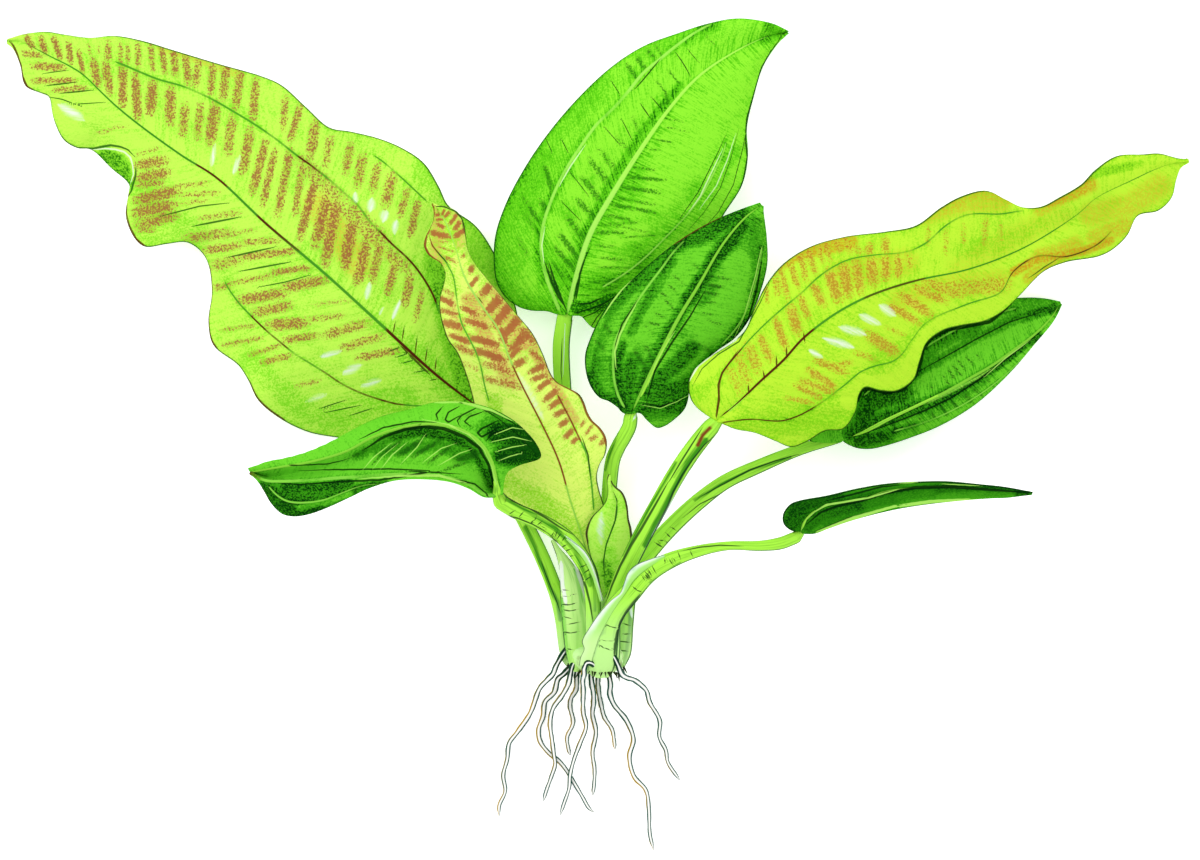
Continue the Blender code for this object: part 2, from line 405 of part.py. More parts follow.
def make_blade(name, colour, rails, bows, rows):
    """A leaf blade: its surface given a thickness, closed round the margin and at both pointed ends."""
    grid = blade_surface(rails, bows, rows)
    across = np.gradient(grid, axis=1)
    along = np.gradient(grid, axis=0)
    half = unit(np.cross(across, along)) * BLADE_THICKNESS / 2
    half[:, :, :2] *= np.where(grid[:, :, 2:] <= BLADE_THICKNESS / 2, 0.0, 1.0)
    mesh_data = bmesh.new()
    base = mesh_data.verts.new(grid[0, 0])
    tip = mesh_data.verts.new(grid[-1, 0])
    sides = []
    for sign in (1, -1):
        side = [[mesh_data.verts.new(p) for p in row] for row in (grid + sign * half)[1:-1]]
        sides.append(side)
        for near, far in zip(side[:-1], side[1:]):
            for c in range(len(near) - 1):
                mesh_data.faces.new((near[c], near[c + 1], far[c + 1], far[c]))
        for c in range(len(side[0]) - 1):
            mesh_data.faces.new((base, side[0][c + 1], side[0][c]))
            mesh_data.faces.new((tip, side[-1][c], side[-1][c + 1]))
    upper, lower = sides
    for c in (0, -1):
        for r in range(len(upper) - 1):
            mesh_data.faces.new((upper[r][c], upper[r + 1][c], lower[r + 1][c], lower[r][c]))
        mesh_data.faces.new((base, upper[0][c], lower[0][c]))
        mesh_data.faces.new((tip, upper[-1][c], lower[-1][c]))
    add_object(name, mesh_data, colour)


def make_tube(name, colour, stations, sides, pointed):
    """A tube of oval sections, each (x, y, height, width, depth). A stalk starts square on the crown's flat
    top and ends flat, and a root ends in a point."""
    centres = stations[:, :3]
    forward = unit(np.gradient(centres, axis=0))
    if not pointed:
        forward[0] = (0.0, 1.0, 0.0)
    sideways = unit(np.cross(forward, (0.0, 0.0, 1.0)))
    upward = np.cross(sideways, forward)
    turns = [2 * math.pi * (k + 0.5) / sides for k in range(sides)]
    mesh_data = bmesh.new()
    rings = []
    for i in range(len(stations) - pointed):
        half_width = stations[i, 3] / 2
        half_depth = stations[i, 4] / 2
        ring = []
        for turn in turns:
            offset = sideways[i] * math.cos(turn) * half_width + upward[i] * math.sin(turn) * half_depth
            ring.append(mesh_data.verts.new(centres[i] + offset))
        rings.append(ring)
    for near, far in zip(rings[:-1], rings[1:]):
        for k in range(sides):
            after = (k + 1) % sides
            mesh_data.faces.new((near[k], near[after], far[after], far[k]))
    mesh_data.faces.new(rings[0])
    if pointed:
        tip = mesh_data.verts.new(centres[-1])
        for k in range(sides):
            mesh_data.faces.new((rings[-1][k], rings[-1][(k + 1) % sides], tip))
    else:
        mesh_data.faces.new(rings[-1])
    add_object(name, mesh_data, colour)


def make_root(name, colour, route):
    """A root that tapers to a point and never reaches below the surface it lies on."""
    centres = evenly(route, ROOT_RINGS)
    widths = np.linspace(ROOT_WIDTH, ROOT_END_WIDTH, ROOT_RINGS + 1)
    centres[:, 2] = np.maximum(centres[:, 2], widths / 2)
    stations = np.column_stack([centres, widths, widths])
    make_tube(name, colour, stations, ROOT_SIDES, True)


def make_crown(name, colour):
    """The short rootstock that every stalk and root grows from: a squat body, square with round corners."""
    mesh_data = bmesh.new()
    rings = []
    for y, half_width, half_height in CROWN_RINGS:
        ring = []
        for k in range(CROWN_SEGMENTS):
            turn = 2 * math.pi * k / CROWN_SEGMENTS
            cosine, sine = math.cos(turn), math.sin(turn)
            reach = (abs(cosine) ** CROWN_CORNER + abs(sine) ** CROWN_CORNER) ** (-1 / CROWN_CORNER)
            x = CROWN_CENTRE[0] + half_width * reach * cosine
            z = CROWN_CENTRE[1] + half_height * reach * sine
            ring.append(mesh_data.verts.new((x, y, z)))
        rings.append(ring)
    for near, far in zip(rings[:-1], rings[1:]):
        for k in range(CROWN_SEGMENTS):
            after = (k + 1) % CROWN_SEGMENTS
            mesh_data.faces.new((near[k], near[after], far[after], far[k]))
    mesh_data.faces.new(rings[0])
    mesh_data.faces.new(rings[-1])
    add_object(name, mesh_data, colour)


def main():
    """Clears the scene and builds every piece of the plant."""
    for old in list(bpy.data.objects):
        bpy.data.objects.remove(old, do_unlink=True)
    make_crown("crown", PALE_GREEN)
    for name, colour, rails, bows, rows in BLADES:
        make_blade(name, colour, rails, bows, rows)
    for name, colour, route, rings in STALKS:
        make_tube(name, colour, evenly(route, rings), STALK_SIDES, False)
    for number, route in enumerate(ROOTS, start=1):
        make_root(f"root_{number}", ROOT_WHITE, route)


main()
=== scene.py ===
"""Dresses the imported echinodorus: thin veined leaves, ribbed stalks, papery sheaths, a fleshy crown and
pale roots, laid on a white table under soft light.

Places and sizes are in millimetres from the middle of the plant, seen from above, as in the part's own
source. PLANT_MIDDLE moves them to the frame's origin, and MM turns them to metres.
"""

import math

import bmesh
import bpy
import numpy as np
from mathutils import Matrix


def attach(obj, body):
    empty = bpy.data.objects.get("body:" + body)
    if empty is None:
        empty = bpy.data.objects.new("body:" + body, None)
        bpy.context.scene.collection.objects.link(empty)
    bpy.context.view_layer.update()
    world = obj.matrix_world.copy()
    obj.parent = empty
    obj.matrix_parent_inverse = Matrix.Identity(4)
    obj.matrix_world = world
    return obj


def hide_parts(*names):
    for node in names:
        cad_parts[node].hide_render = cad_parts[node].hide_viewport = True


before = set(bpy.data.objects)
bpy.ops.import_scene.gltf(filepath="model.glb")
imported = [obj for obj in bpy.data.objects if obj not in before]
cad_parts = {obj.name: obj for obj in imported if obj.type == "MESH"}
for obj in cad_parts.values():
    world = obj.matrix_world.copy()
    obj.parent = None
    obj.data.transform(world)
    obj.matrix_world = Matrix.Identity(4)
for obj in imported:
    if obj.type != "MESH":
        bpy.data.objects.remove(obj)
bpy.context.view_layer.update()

bl_info = {
    "name": "Echinodorus Plant",
    "version": (1, 0, 0),
    "blender": (4, 5, 0),
    "location": "3D View > Sidebar > Echinodorus",
    "description": "Grows the leaves, stalks, crown and roots of a bare-rooted echinodorus",
    "category": "Add Mesh",
}

MM = 0.001
PLANT_MIDDLE = (0.9, 1.8)
CURVE_STEPS = 8
RIB_STEPS = 200
WIDEST_MARGIN = 0.06

# The rails of each blade, from its base to its tip as (x, y, height): the part's own outlines and midribs

LEFT_LONG_LOWER = [
    (-46, 7.2, 9), (-58, 0, 6), (-72, -4, 4), (-88, -5.2, 2), (-104, -3.2, 1), (-117, -0.8, 2),
    (-128.5, 4.8, 5), (-137, 12, 8), (-141, 20, 7), (-145, 26, 4), (-155, 34, 1), (-157, 43, 0.6),
    (-155.5, 55.5, 4), (-158, 69, 9), (-165, 75, 12), (-173.5, 74.5, 10), (-182.5, 73.5, 5),
    (-187, 77.5, 2), (-190, 85.5, 0.6), (-189, 93.5, 1), (-188.5, 98, 0.6), (-196, 105, 0.6),
    (-204, 112.4, 2), (-209.5, 113, 5), (-215, 116.4, 8), (-218.5, 123.5, 7), (-219.6, 128, 5),
    (-220.8, 133.5, 6), (-224, 135, 4), (-230.4, 138, 2), (-232.2, 146, 2), (-235.2, 153.4, 3),
    (-237.8, 156.2, 4),
]
LEFT_LONG_RIB = [
    (-46, 7.2, 9), (-66, 22.5, 13), (-88.5, 43, 18), (-110.5, 63, 21), (-133.5, 82.5, 22),
    (-153.5, 101, 20), (-167, 109.6, 18), (-183.5, 121.5, 15), (-194, 130, 12), (-200, 135.6, 11),
    (-208, 143, 9), (-220, 149.6, 7), (-232, 155.6, 5), (-237.8, 156.2, 4),
]
LEFT_LONG_UPPER = [
    (-46, 7.2, 9), (-38, 18, 8), (-33.2, 32, 7), (-33.2, 46.8, 6), (-36.8, 58, 6), (-43.2, 72.4, 6),
    (-50, 82, 8), (-60.8, 90, 11), (-64.4, 97.2, 12), (-70.4, 106.8, 10), (-79, 112.8, 6),
    (-88.5, 116.8, 4), (-100, 119.6, 6), (-108.5, 121.2, 9), (-117.6, 129.2, 7), (-127.6, 138.2, 4),
    (-135.6, 141.8, 3), (-152.4, 146.6, 6), (-170.4, 152, 9), (-183.6, 156, 8), (-194.8, 158, 4),
    (-204, 157.2, 2), (-214, 158.4, 4), (-222, 159.6, 6), (-230.4, 158.6, 5), (-237.8, 156.2, 4),
]

STRIPED_LEFT = [
    (-0.8, -68, 14.5), (-3.2, -59, 14.5), (-8, -49, 15), (-16, -41, 16), (-26, -35, 18), (-36, -28, 20),
    (-42.4, -21, 22), (-46, -10, 24), (-48.8, 1, 26), (-50.8, 12, 28), (-53.6, 22, 30), (-57.2, 31, 33),
    (-60.8, 36, 33), (-62.8, 41.6, 31), (-64, 47, 29), (-64, 52.8, 28), (-62.4, 58.4, 30), (-62, 63.2, 33),
    (-64, 67, 34), (-66.8, 68.6, 33), (-69.2, 70.8, 31), (-70.4, 74, 29), (-69.6, 77.2, 28),
    (-67.6, 81, 29), (-66.4, 84.4, 31), (-66.4, 87.8, 31), (-67.2, 90.4, 30),
]
STRIPED_RIB = [
    (-0.8, -68, 14.5), (-4, -54, 15.5), (-8.4, -38.8, 18.5), (-12, -27.6, 22), (-16.4, -12.4, 27),
    (-23.2, 2.4, 31), (-31.4, 18.4, 34), (-36, 28.4, 36), (-40.8, 40.4, 37), (-48, 50.8, 37),
    (-54.4, 62, 37), (-57.8, 73.6, 35), (-61.6, 83.2, 33), (-64.4, 86.8, 31), (-67.2, 90.4, 30),
]
STRIPED_RIGHT = [
    (-0.8, -68, 14.5), (2.4, -58, 14), (3.6, -46, 14.5), (2.8, -36, 16.5), (1.4, -29.6, 18.5),
    (-0.4, -23.6, 21), (-1.2, -18.4, 23), (0, -13.6, 25), (2, -10, 26), (2.8, -5.6, 27), (2.2, -2.4, 28),
    (0, 1, 28), (-3, 3.8, 28), (-4.8, 6.8, 29), (-6.4, 11.2, 31), (-8.4, 14.4, 32), (-14.4, 17.6, 31),
    (-17.2, 19.2, 31), (-19.6, 22.4, 31), (-22.8, 30.4, 32), (-26.8, 38.4, 33), (-32, 44.8, 33),
    (-38.4, 52.4, 33), (-44.4, 59.6, 33), (-50.2, 66.8, 33), (-52.8, 72, 34), (-53.6, 78, 35),
    (-54.4, 82.8, 34), (-56.4, 86.6, 32), (-59, 88.4, 31), (-62.8, 89.4, 30), (-67.2, 90.4, 30),
]

FOLDED_FAR = [
    (-40.8, -26, 48), (-40, -20.8, 47), (-38.8, -17.2, 46), (-35.2, -14, 44), (-28, -12.6, 42),
    (-23.6, -10.8, 42), (-24.8, -6.4, 44), (-29.2, -0.8, 48), (-34.8, 4, 50), (-42, 8, 52),
    (-50, 10.4, 54), (-58, 11.2, 54), (-66, 10.8, 53), (-76, 8, 51), (-86, 5.6, 48), (-96, 1.2, 45),
    (-104.8, -4, 41), (-114, -8.8, 37), (-123.2, -11.8, 33), (-131.2, -13, 29), (-136, -15.2, 27),
    (-140, -16.8, 25),
]
FOLDED_RIB = [
    (-40.8, -26, 48), (-41.6, -20, 53), (-42.8, -14, 57), (-45.2, -8.4, 60), (-48.8, -4, 62),
    (-54, -0.4, 63.5), (-60, 1.6, 64), (-68, 2.4, 64), (-76, 1.6, 62), (-84, -0.4, 60), (-92, -3.6, 56),
    (-100, -8, 52), (-108, -10.8, 47), (-118, -13.2, 41), (-128, -14.8, 34), (-140, -16.8, 25),
]
FOLDED_RIDGE = [
    (-40.8, -26, 48), (-46, -25.6, 50), (-51, -22.4, 53), (-58, -19.6, 55), (-66, -18, 56),
    (-76, -17.6, 56), (-86, -17.8, 54), (-96, -18.6, 51), (-106, -19.2, 47), (-116, -20, 42),
    (-126, -20.4, 36), (-134, -20, 31), (-140, -16.8, 25),
]
FOLDED_NEAR = [
    (-40.8, -26, 48), (-46, -26.4, 47), (-52, -23.2, 47), (-60, -20.4, 48), (-72, -19.4, 47),
    (-82, -20, 44), (-92, -23, 40), (-100, -26.8, 36), (-108, -30.6, 32), (-116, -33.6, 28),
    (-122, -34.6, 25), (-127, -33.6, 23), (-131.2, -29.6, 22), (-134.4, -24, 22), (-137, -19.6, 23.5),
    (-140, -16.8, 25),
]

TOP_LEFT = [
    (-13.2, 46.4, 15), (-17.4, 46.4, 14), (-21.2, 47.6, 13), (-28.4, 48, 12), (-33.2, 49.6, 11.5),
    (-38.2, 53.6, 11.5), (-41.2, 58.6, 12), (-42.4, 64.4, 12), (-42, 77.4, 13), (-37.8, 90.4, 14),
    (-30, 105.2, 16), (-20.4, 119.2, 18), (-8.8, 132.8, 18), (4.4, 145.2, 16), (17.2, 153.6, 13),
    (30.4, 158.6, 10), (41.8, 162.4, 8), (54, 164.8, 6), (64, 164, 5), (71.2, 161.9, 3),
    (74.4, 159.4, 1.5),
]
TOP_RIB = [
    (-13.2, 46.4, 15), (-9.6, 61.2, 18), (-3.6, 79.2, 22), (6, 96, 25), (16.4, 112.4, 26), (28, 128.8, 24),
    (39.2, 141.2, 20), (52.4, 150.4, 14), (66.4, 157.4, 6), (74.4, 159.4, 1.5),
]
TOP_RIGHT = [
    (-13.2, 46.4, 15), (-10.8, 46, 14), (-7.6, 45.6, 13), (-5.2, 43.2, 11), (-2.4, 40.8, 10),
    (4.8, 40.8, 10), (16, 46, 12), (28, 55.2, 14), (40, 68.8, 16), (49.2, 85.6, 17), (56.8, 97.8, 17),
    (59.2, 109.2, 15), (58.8, 120.8, 15), (61.4, 132.8, 13), (65.2, 145.6, 8), (71.6, 155.8, 3),
    (74.4, 159.4, 1.5),
]

MIDDLE_LEFT = [
    (12.4, 7.2, 27), (9.2, 6.8, 28), (6.8, 9.2, 29), (3.2, 11.6, 30), (0, 12.8, 30), (-3.2, 16.4, 30),
    (-5.4, 22, 30), (-6, 29.6, 30), (-4.4, 35.4, 30), (0.8, 46.4, 31), (6.8, 54.4, 32), (13.6, 60.8, 33),
    (27.6, 72.8, 34), (40.8, 81.2, 35), (55.6, 87.6, 36), (64.6, 89.8, 36),
]
MIDDLE_RIB = [
    (12.4, 7.2, 27), (16, 14.4, 30), (23.6, 29.6, 36), (31.2, 44.4, 40), (39, 57.2, 42), (49.2, 74.4, 42),
    (58, 84.8, 39), (64.6, 89.8, 36),
]
MIDDLE_RIGHT = [
    (12.4, 7.2, 27), (16.4, 6.8, 26), (19.2, 3.6, 24), (22.8, 0.8, 21), (26, 1.6, 20), (30, 4.4, 21),
    (33.6, 8, 23), (35.2, 12, 25), (36, 18.8, 27), (40.4, 26, 28), (46.8, 31.6, 29), (54, 36.8, 30),
    (60, 44.8, 31), (64, 54.8, 32), (66.8, 66, 33), (66.6, 76.8, 34), (65.6, 84, 35), (64.6, 89.8, 36),
]

RIGHT_LONG_UPPER = [
    (46.4, 4, 38), (40.8, 7.2, 38), (36.8, 11.2, 39), (35.2, 16.8, 40), (36.4, 22.4, 40), (42, 28, 40),
    (52, 34.4, 40), (58, 40, 40), (61.6, 48.8, 41), (66.8, 58.8, 42), (73.2, 66.4, 42), (84, 73.2, 38),
    (98, 77.2, 34), (114, 79.2, 36), (126, 81.6, 40), (136, 88.8, 42), (144, 93.2, 40), (154, 95.6, 34),
    (161.2, 92.4, 28), (168, 89.2, 26), (176, 89.2, 28), (183.2, 92.8, 30), (192, 98, 28), (198, 104, 21),
    (207.2, 109.8, 12), (217.2, 110.4, 8), (224, 110.8, 7), (232, 108.8, 4), (236, 108.6, 2.5),
]
RIGHT_LONG_RIB = [
    (46.4, 4, 38), (56, 12, 42), (64, 19.6, 44), (73.2, 28, 45), (81.2, 36.8, 46), (93.2, 46, 46),
    (104, 52, 45), (114, 56, 43), (127.6, 60, 40), (146, 64, 36), (162, 69.6, 32), (175.2, 76, 28),
    (191.2, 86.8, 23), (198, 92.8, 19), (212, 99.6, 12), (226, 106, 5), (236, 108.6, 2.5),
]
RIGHT_LONG_LOWER = [
    (46.4, 4, 38), (54, 0.4, 36), (62, -1.2, 34), (70, -4.4, 32), (76.4, -6.8, 30), (82.4, -4.8, 30),
    (90, -0.4, 32), (97.2, 0.4, 32), (102, 7.2, 34), (103.2, 13.6, 36), (105.6, 16.8, 36), (112, 15.6, 32),
    (118.8, 15.6, 28), (125.2, 20, 28), (127.6, 27.2, 32), (130.4, 34.8, 35), (136.8, 39.6, 34),
    (144, 41.6, 30), (154, 43.6, 26), (161.2, 47.6, 24), (168, 54, 25), (177.2, 63.2, 26), (186, 67, 22),
    (200, 69.6, 15), (206, 72.8, 12), (211.2, 78, 11), (215.2, 85.6, 10), (224, 88, 4), (229.2, 93.2, 1),
    (230.8, 100, 0.6), (232.8, 105.8, 1.5), (236, 108.6, 2.5),
]

BROAD_UPPER = [
    (96, -2.8, 18), (90, -4, 19), (84, -4.4, 19), (83.2, 0.8, 18), (88, 10.8, 16), (100, 23.2, 14),
    (116, 35.2, 13), (134, 45.2, 11), (152, 51.2, 8), (168, 53, 5), (178, 52.8, 3), (184.4, 51.2, 1.5),
]
BROAD_RIB = [
    (96, -2.8, 18), (106, 0, 20), (116, 4.8, 21), (128, 10.4, 21), (138, 15.2, 20), (148, 20.8, 18),
    (157, 26, 15), (166, 32.4, 11), (174, 38.4, 7), (181, 45.6, 3), (184.4, 51.2, 1.5),
]
BROAD_LOWER = [
    (96, -2.8, 18), (98.4, -5.2, 17), (102.8, -7.2, 15), (108, -7.6, 14), (114, -6.4, 13), (124, -3.2, 12),
    (136, 1.6, 11), (150, 10, 8), (164, 22.8, 4), (175.2, 36, 1), (180.8, 43.2, 0.6), (183.2, 48, 1),
    (184.4, 51.2, 1.5),
]

NARROW_UPPER = [
    (80, -41.2, 28), (76, -40, 30), (73.2, -37.2, 34), (73.2, -33.2, 38), (76, -29.6, 42), (80, -28.2, 44),
    (90, -26.4, 46), (102, -23.6, 46), (114, -21.6, 45), (126, -20.8, 43), (138, -20.6, 39),
    (152, -21.8, 33), (162, -22.8, 28), (173.2, -24.8, 20),
]
NARROW_RIB = [
    (80, -41.2, 28), (81.2, -36.4, 29), (84, -33.2, 30), (88.8, -30.4, 30), (96, -28.4, 30),
    (104.8, -27, 29), (114, -24, 28), (122, -22.8, 27), (134, -22.2, 26), (148, -22.8, 24), (162, -24, 22),
    (173.2, -24.8, 20),
]
NARROW_LOWER = [
    (80, -41.2, 28), (85.2, -41.6, 24), (92, -39.2, 17), (100, -36.4, 12), (110, -33.6, 9), (120, -31.4, 8),
    (130, -29.8, 8), (144, -28.2, 9), (156, -27.2, 12), (164, -26.8, 15), (173.2, -24.8, 20),
]

YOUNG_LEFT = [
    (1.6, -67.2, 18), (-1.2, -58, 19), (-4, -50, 20), (-5.4, -44, 21), (-5.8, -41.2, 22),
    (-4.8, -37.6, 22.5), (-3, -34.4, 23), (0, -31.4, 24), (2.2, -28.4, 25), (3.2, -24, 26),
    (2.8, -19.8, 27), (3.6, -17.6, 27),
]
YOUNG_RIB = [
    (1.6, -67.2, 18), (1.4, -56, 18.5), (2.2, -46, 20), (6, -36.4, 22), (6.8, -32, 23), (6.4, -28.4, 24),
    (4.4, -22.8, 26), (3.6, -17.6, 27),
]
YOUNG_RIGHT = [
    (1.6, -67.2, 18), (4.8, -62, 17.5), (9.6, -54, 17.5), (12.8, -46, 18.5), (12.6, -39.4, 20),
    (11.6, -35.6, 21), (11.1, -30.8, 22), (10.2, -27.2, 23), (8.6, -24.4, 24), (6.2, -22.8, 25),
    (4, -20.4, 26), (3.6, -17.6, 27),
]

# Side veins of the blades, as (x, y), where they show from above

LEFT_LONG_VEIN_BELOW = [
    (-52.8, 9.6), (-80, 11), (-86, 12.4), (-94.6, 15.2), (-103.2, 19.2), (-109.2, 23.2), (-116.4, 27.6),
    (-121.6, 30.8), (-127.6, 35.6), (-132.8, 40), (-138, 45.2), (-143.2, 50.8), (-146.8, 55.6),
    (-150, 60.8),
]
LEFT_LONG_VEIN_ABOVE = [
    (-64, 44), (-66.8, 52.8), (-70, 58.8), (-73.8, 64.4), (-78, 69.2), (-83.2, 74), (-87.6, 78.4),
    (-92.8, 83.6), (-97.2, 89.6), (-102.4, 94), (-108.4, 99.2), (-113.6, 103.4), (-119.6, 108),
    (-124, 111.2), (-129.2, 115.2), (-136.4, 120.2), (-147.2, 126.8), (-155.2, 131.6), (-160.4, 134.2),
    (-168.4, 137.6), (-176.4, 139.8), (-182.8, 142.4), (-190.8, 145.8), (-195.6, 147.4),
]
LEFT_LONG_VEIN_OUTER = [
    (-67.6, 89.6), (-72.8, 94.4), (-80.8, 101.6), (-86.8, 106.8), (-92.8, 110.8),
]
STRIPED_VEIN_LEFT = [
    (-43.6, 10.4), (-45.8, 18.4), (-47.2, 25.6), (-49, 30.8), (-52, 36.8), (-54.6, 42), (-55.8, 48),
    (-56.6, 54.8), (-57.8, 62), (-61.2, 67.2), (-65.6, 72.4), (-67.2, 76),
]
STRIPED_VEIN_RIGHT = [
    (-2.8, -32.8), (-3.6, -21.6), (-4.4, -14.4), (-6, -8), (-9.2, -1.6), (-12.8, 6), (-17.7, 15.2),
]
TOP_VEIN_LEFT = [
    (-14.8, 47.2), (-17.8, 53.6), (-20.8, 61.2), (-22.4, 68.4), (-22.8, 75.6), (-21.6, 83.2), (-18.6, 92),
    (-15.2, 99.6), (-11.2, 106.8), (-6.4, 114), (-0.8, 121.6), (6, 128), (12.4, 135.2), (17.2, 141.2),
    (24, 146.8), (30.4, 152), (38.4, 158.2), (46.8, 163.2),
]
TOP_VEIN_RIGHT = [
    (0, 57.6), (8.8, 62.8), (17.2, 69.2), (25.6, 77.4), (32, 84), (36.8, 89.6), (40.8, 95.2), (45.2, 103.6),
    (48.4, 110.8), (49.6, 116.4),
]
MIDDLE_VEIN_LEFT = [
    (10.4, 8), (7.6, 13.6), (6, 19.6), (5.6, 26.4), (6, 33.6), (8.4, 40), (11.6, 45.6), (15.4, 51.2),
    (20, 57.6), (25, 64), (29.6, 70.4), (35.2, 76.4),
]
MIDDLE_VEIN_RIGHT = [
    (42.4, 28), (51.6, 38), (55.6, 43.2), (58.8, 50), (61.2, 57.6), (63.2, 67.2), (64.2, 74.8),
]
RIGHT_LONG_VEIN_ABOVE = [
    (46.4, 4.8), (47.6, 14), (48.8, 22), (54, 28.8), (62.8, 38.8), (73.2, 48.4), (80, 54), (88, 61.2),
    (98, 66.8), (110, 69.2), (122, 70.8), (130, 74.8), (138, 82), (146, 86), (160, 86), (170, 87.2),
]
RIGHT_LONG_VEIN_BELOW = [
    (46.4, 3.6), (60, 5.2), (72, 4.4), (83.2, 8.4), (95.2, 16.8), (106, 24.8), (118, 28.8), (124, 36),
    (130, 43.2), (146, 50.8), (160, 56), (164, 63.2), (174, 69.6), (186, 69.6), (198, 74.4), (204.8, 80.8),
]
BROAD_VEIN_ABOVE = [
    (104.8, 12), (116, 22.4), (132, 33.6), (150, 43.2), (168, 48.8),
]
BROAD_VEIN_BELOW = [
    (116, 0), (132, 4.8), (148, 12.8), (164, 24.8), (175.2, 37.6),
]
FOLDED_VEIN_FLAP = [
    (-64, -20.4), (-80, -20.8), (-94, -21.2), (-102, -24), (-110, -27.2), (-118, -28.4), (-124, -28),
    (-128, -26), (-132.8, -21.2),
]
NARROW_VEIN = [
    (84.8, -41.2), (100, -34.8), (110, -32), (120, -29.6), (128, -28), (156, -26.4),
]

# Bars of pigment on each blade, as (x, y, x, y, width, strength)

LEFT_LONG_BARS = [
    (-230, 158, -227, 153, 2.6, 0.9), (-224, 157, -222, 151, 2.6, 1), (-219, 157, -216, 149, 2.6, 1),
    (-213, 155, -212, 147, 2.6, 0.9), (-209, 152, -207, 143, 2.1, 0.9), (-205, 155, -204, 150, 1.6, 0.5),
    (-201, 154, -201, 150, 1.6, 0.4), (-203, 148, -201, 138, 3.6, 0.9), (-197, 155, -197, 148, 3.1, 0.7),
    (-198, 147, -196, 135, 3.6, 0.9), (-192, 155, -192, 147, 2.1, 0.6), (-189, 154, -189, 147, 2.1, 0.6),
    (-191, 145, -191, 130, 3.6, 1), (-185, 155, -185, 145, 2.6, 0.7), (-186, 142, -185, 125, 3.6, 1),
    (-180, 154, -179, 144, 2.6, 0.7), (-179, 139, -180, 127, 4.2, 1), (-176, 154, -174, 143, 2.6, 0.8),
    (-172, 137, -172, 123, 4.2, 0.9), (-171, 152, -170, 142, 3.1, 0.8), (-166, 130, -167, 118, 3.6, 0.8),
    (-166, 150, -165, 139, 3.1, 0.9), (-161, 147, -162, 138, 3.1, 0.8), (-160, 130, -161, 117, 3.6, 0.7),
    (-155, 146, -156, 135, 3.1, 0.8), (-154, 130, -156, 115, 4.7, 0.9), (-150, 146, -151, 133, 3.6, 0.8),
    (-147, 125, -149, 111, 4.2, 0.7), (-144, 144, -146, 129, 3.6, 0.8), (-138, 140, -139, 125, 3.6, 0.8),
    (-140, 120, -143, 103, 4.2, 0.8), (-134, 115, -139, 95, 3.6, 0.9), (-130, 112, -135, 90, 3.1, 0.8),
    (-124, 112, -129, 86, 3.6, 0.8), (-119, 107, -122, 86, 3.1, 0.7), (-126, 133, -127, 120, 3.1, 0.7),
    (-120, 130, -124, 116, 3.1, 0.8), (-114, 123, -116, 110, 4.2, 0.8), (-108, 117, -110, 106, 3.6, 0.6),
    (-100, 114, -102, 103, 3.6, 0.7), (-95, 110, -97, 98, 4.2, 0.7), (-89, 106, -91, 96, 3.6, 0.7),
    (-83, 102, -86, 90, 4.7, 0.7), (-77, 96, -80, 86, 3.1, 0.7), (-73, 91, -76, 78, 3.1, 0.9),
    (-114, 100, -120, 77, 3.6, 1), (-109, 94, -114, 74, 4.2, 1), (-105, 92, -110, 67, 4.7, 1),
    (-99, 83, -102, 66, 4.7, 1), (-93, 76, -97, 59, 4.2, 0.9), (-88, 74, -91, 60, 3.6, 0.8),
    (-82, 67, -85, 55, 3.6, 0.9), (-76, 62, -78, 50, 3.6, 0.8), (-71, 56, -74, 44, 2.6, 0.7),
    (-120, 108, -102, 90, 7.3, 0.5), (-102, 90, -86, 74, 8.3, 0.55), (-86, 72, -76, 64, 6.2, 0.5),
    (-231, 151, -224, 150, 2.6, 0.8), (-227, 146, -215, 145, 3.1, 0.9), (-227, 140, -210, 140, 2.6, 0.8),
    (-219, 136, -206, 137, 2.6, 0.7), (-202, 119, -189, 122, 2.1, 0.4), (-186, 110, -176, 113, 2.1, 0.4),
    (-185, 106, -174, 108, 4.2, 0.9), (-185, 101, -173, 103, 4.2, 0.9), (-185, 98, -175, 99, 2.6, 0.7),
    (-185, 92, -169, 96, 4.7, 1), (-186, 87, -171, 90, 4.7, 1), (-171, 97, -156, 99, 2.6, 0.5),
    (-168, 94, -151, 95, 2.6, 0.5), (-171, 90, -157, 92, 2.1, 0.4), (-185, 82, -170, 86, 4.7, 0.8),
    (-185, 80, -178, 80, 2.1, 0.6), (-160, 85, -144, 87, 2.6, 0.5), (-166, 77, -147, 79, 4.2, 0.6),
    (-149, 78, -138, 80, 2.6, 0.4), (-158, 72, -144, 74, 3.1, 0.8), (-144, 75, -128, 76, 3.1, 0.6),
    (-155, 66, -144, 68, 4.7, 0.6), (-144, 69, -121, 72, 3.1, 0.8), (-155, 57, -147, 58, 3.1, 0.6),
    (-147, 59, -131, 62, 2.6, 0.6), (-131, 63, -116, 65, 2.6, 0.8), (-144, 52, -126, 55, 4.2, 0.9),
    (-126, 57, -110, 60, 4.2, 0.9), (-138, 47, -124, 50, 4.2, 0.8), (-132, 42, -118, 43, 4.7, 0.9),
    (-118, 44, -102, 46, 2.6, 0.5), (-126, 36, -113, 38, 3.1, 0.8), (-110, 38, -93, 43, 4.2, 0.7),
    (-103, 33, -87, 38, 3.6, 0.7), (-97, 29, -81, 32, 3.1, 0.8), (-152, 40, -138, 42, 1.6, 0.6),
    (-151, 34, -135, 37, 2.1, 0.6), (-140, 30, -128, 34, 2.1, 0.7), (-135, 27, -124, 30, 2.6, 0.8),
    (-122, 18, -112, 20, 2.1, 0.5), (-115, 50, -99, 52, 2.1, 0.3),
]
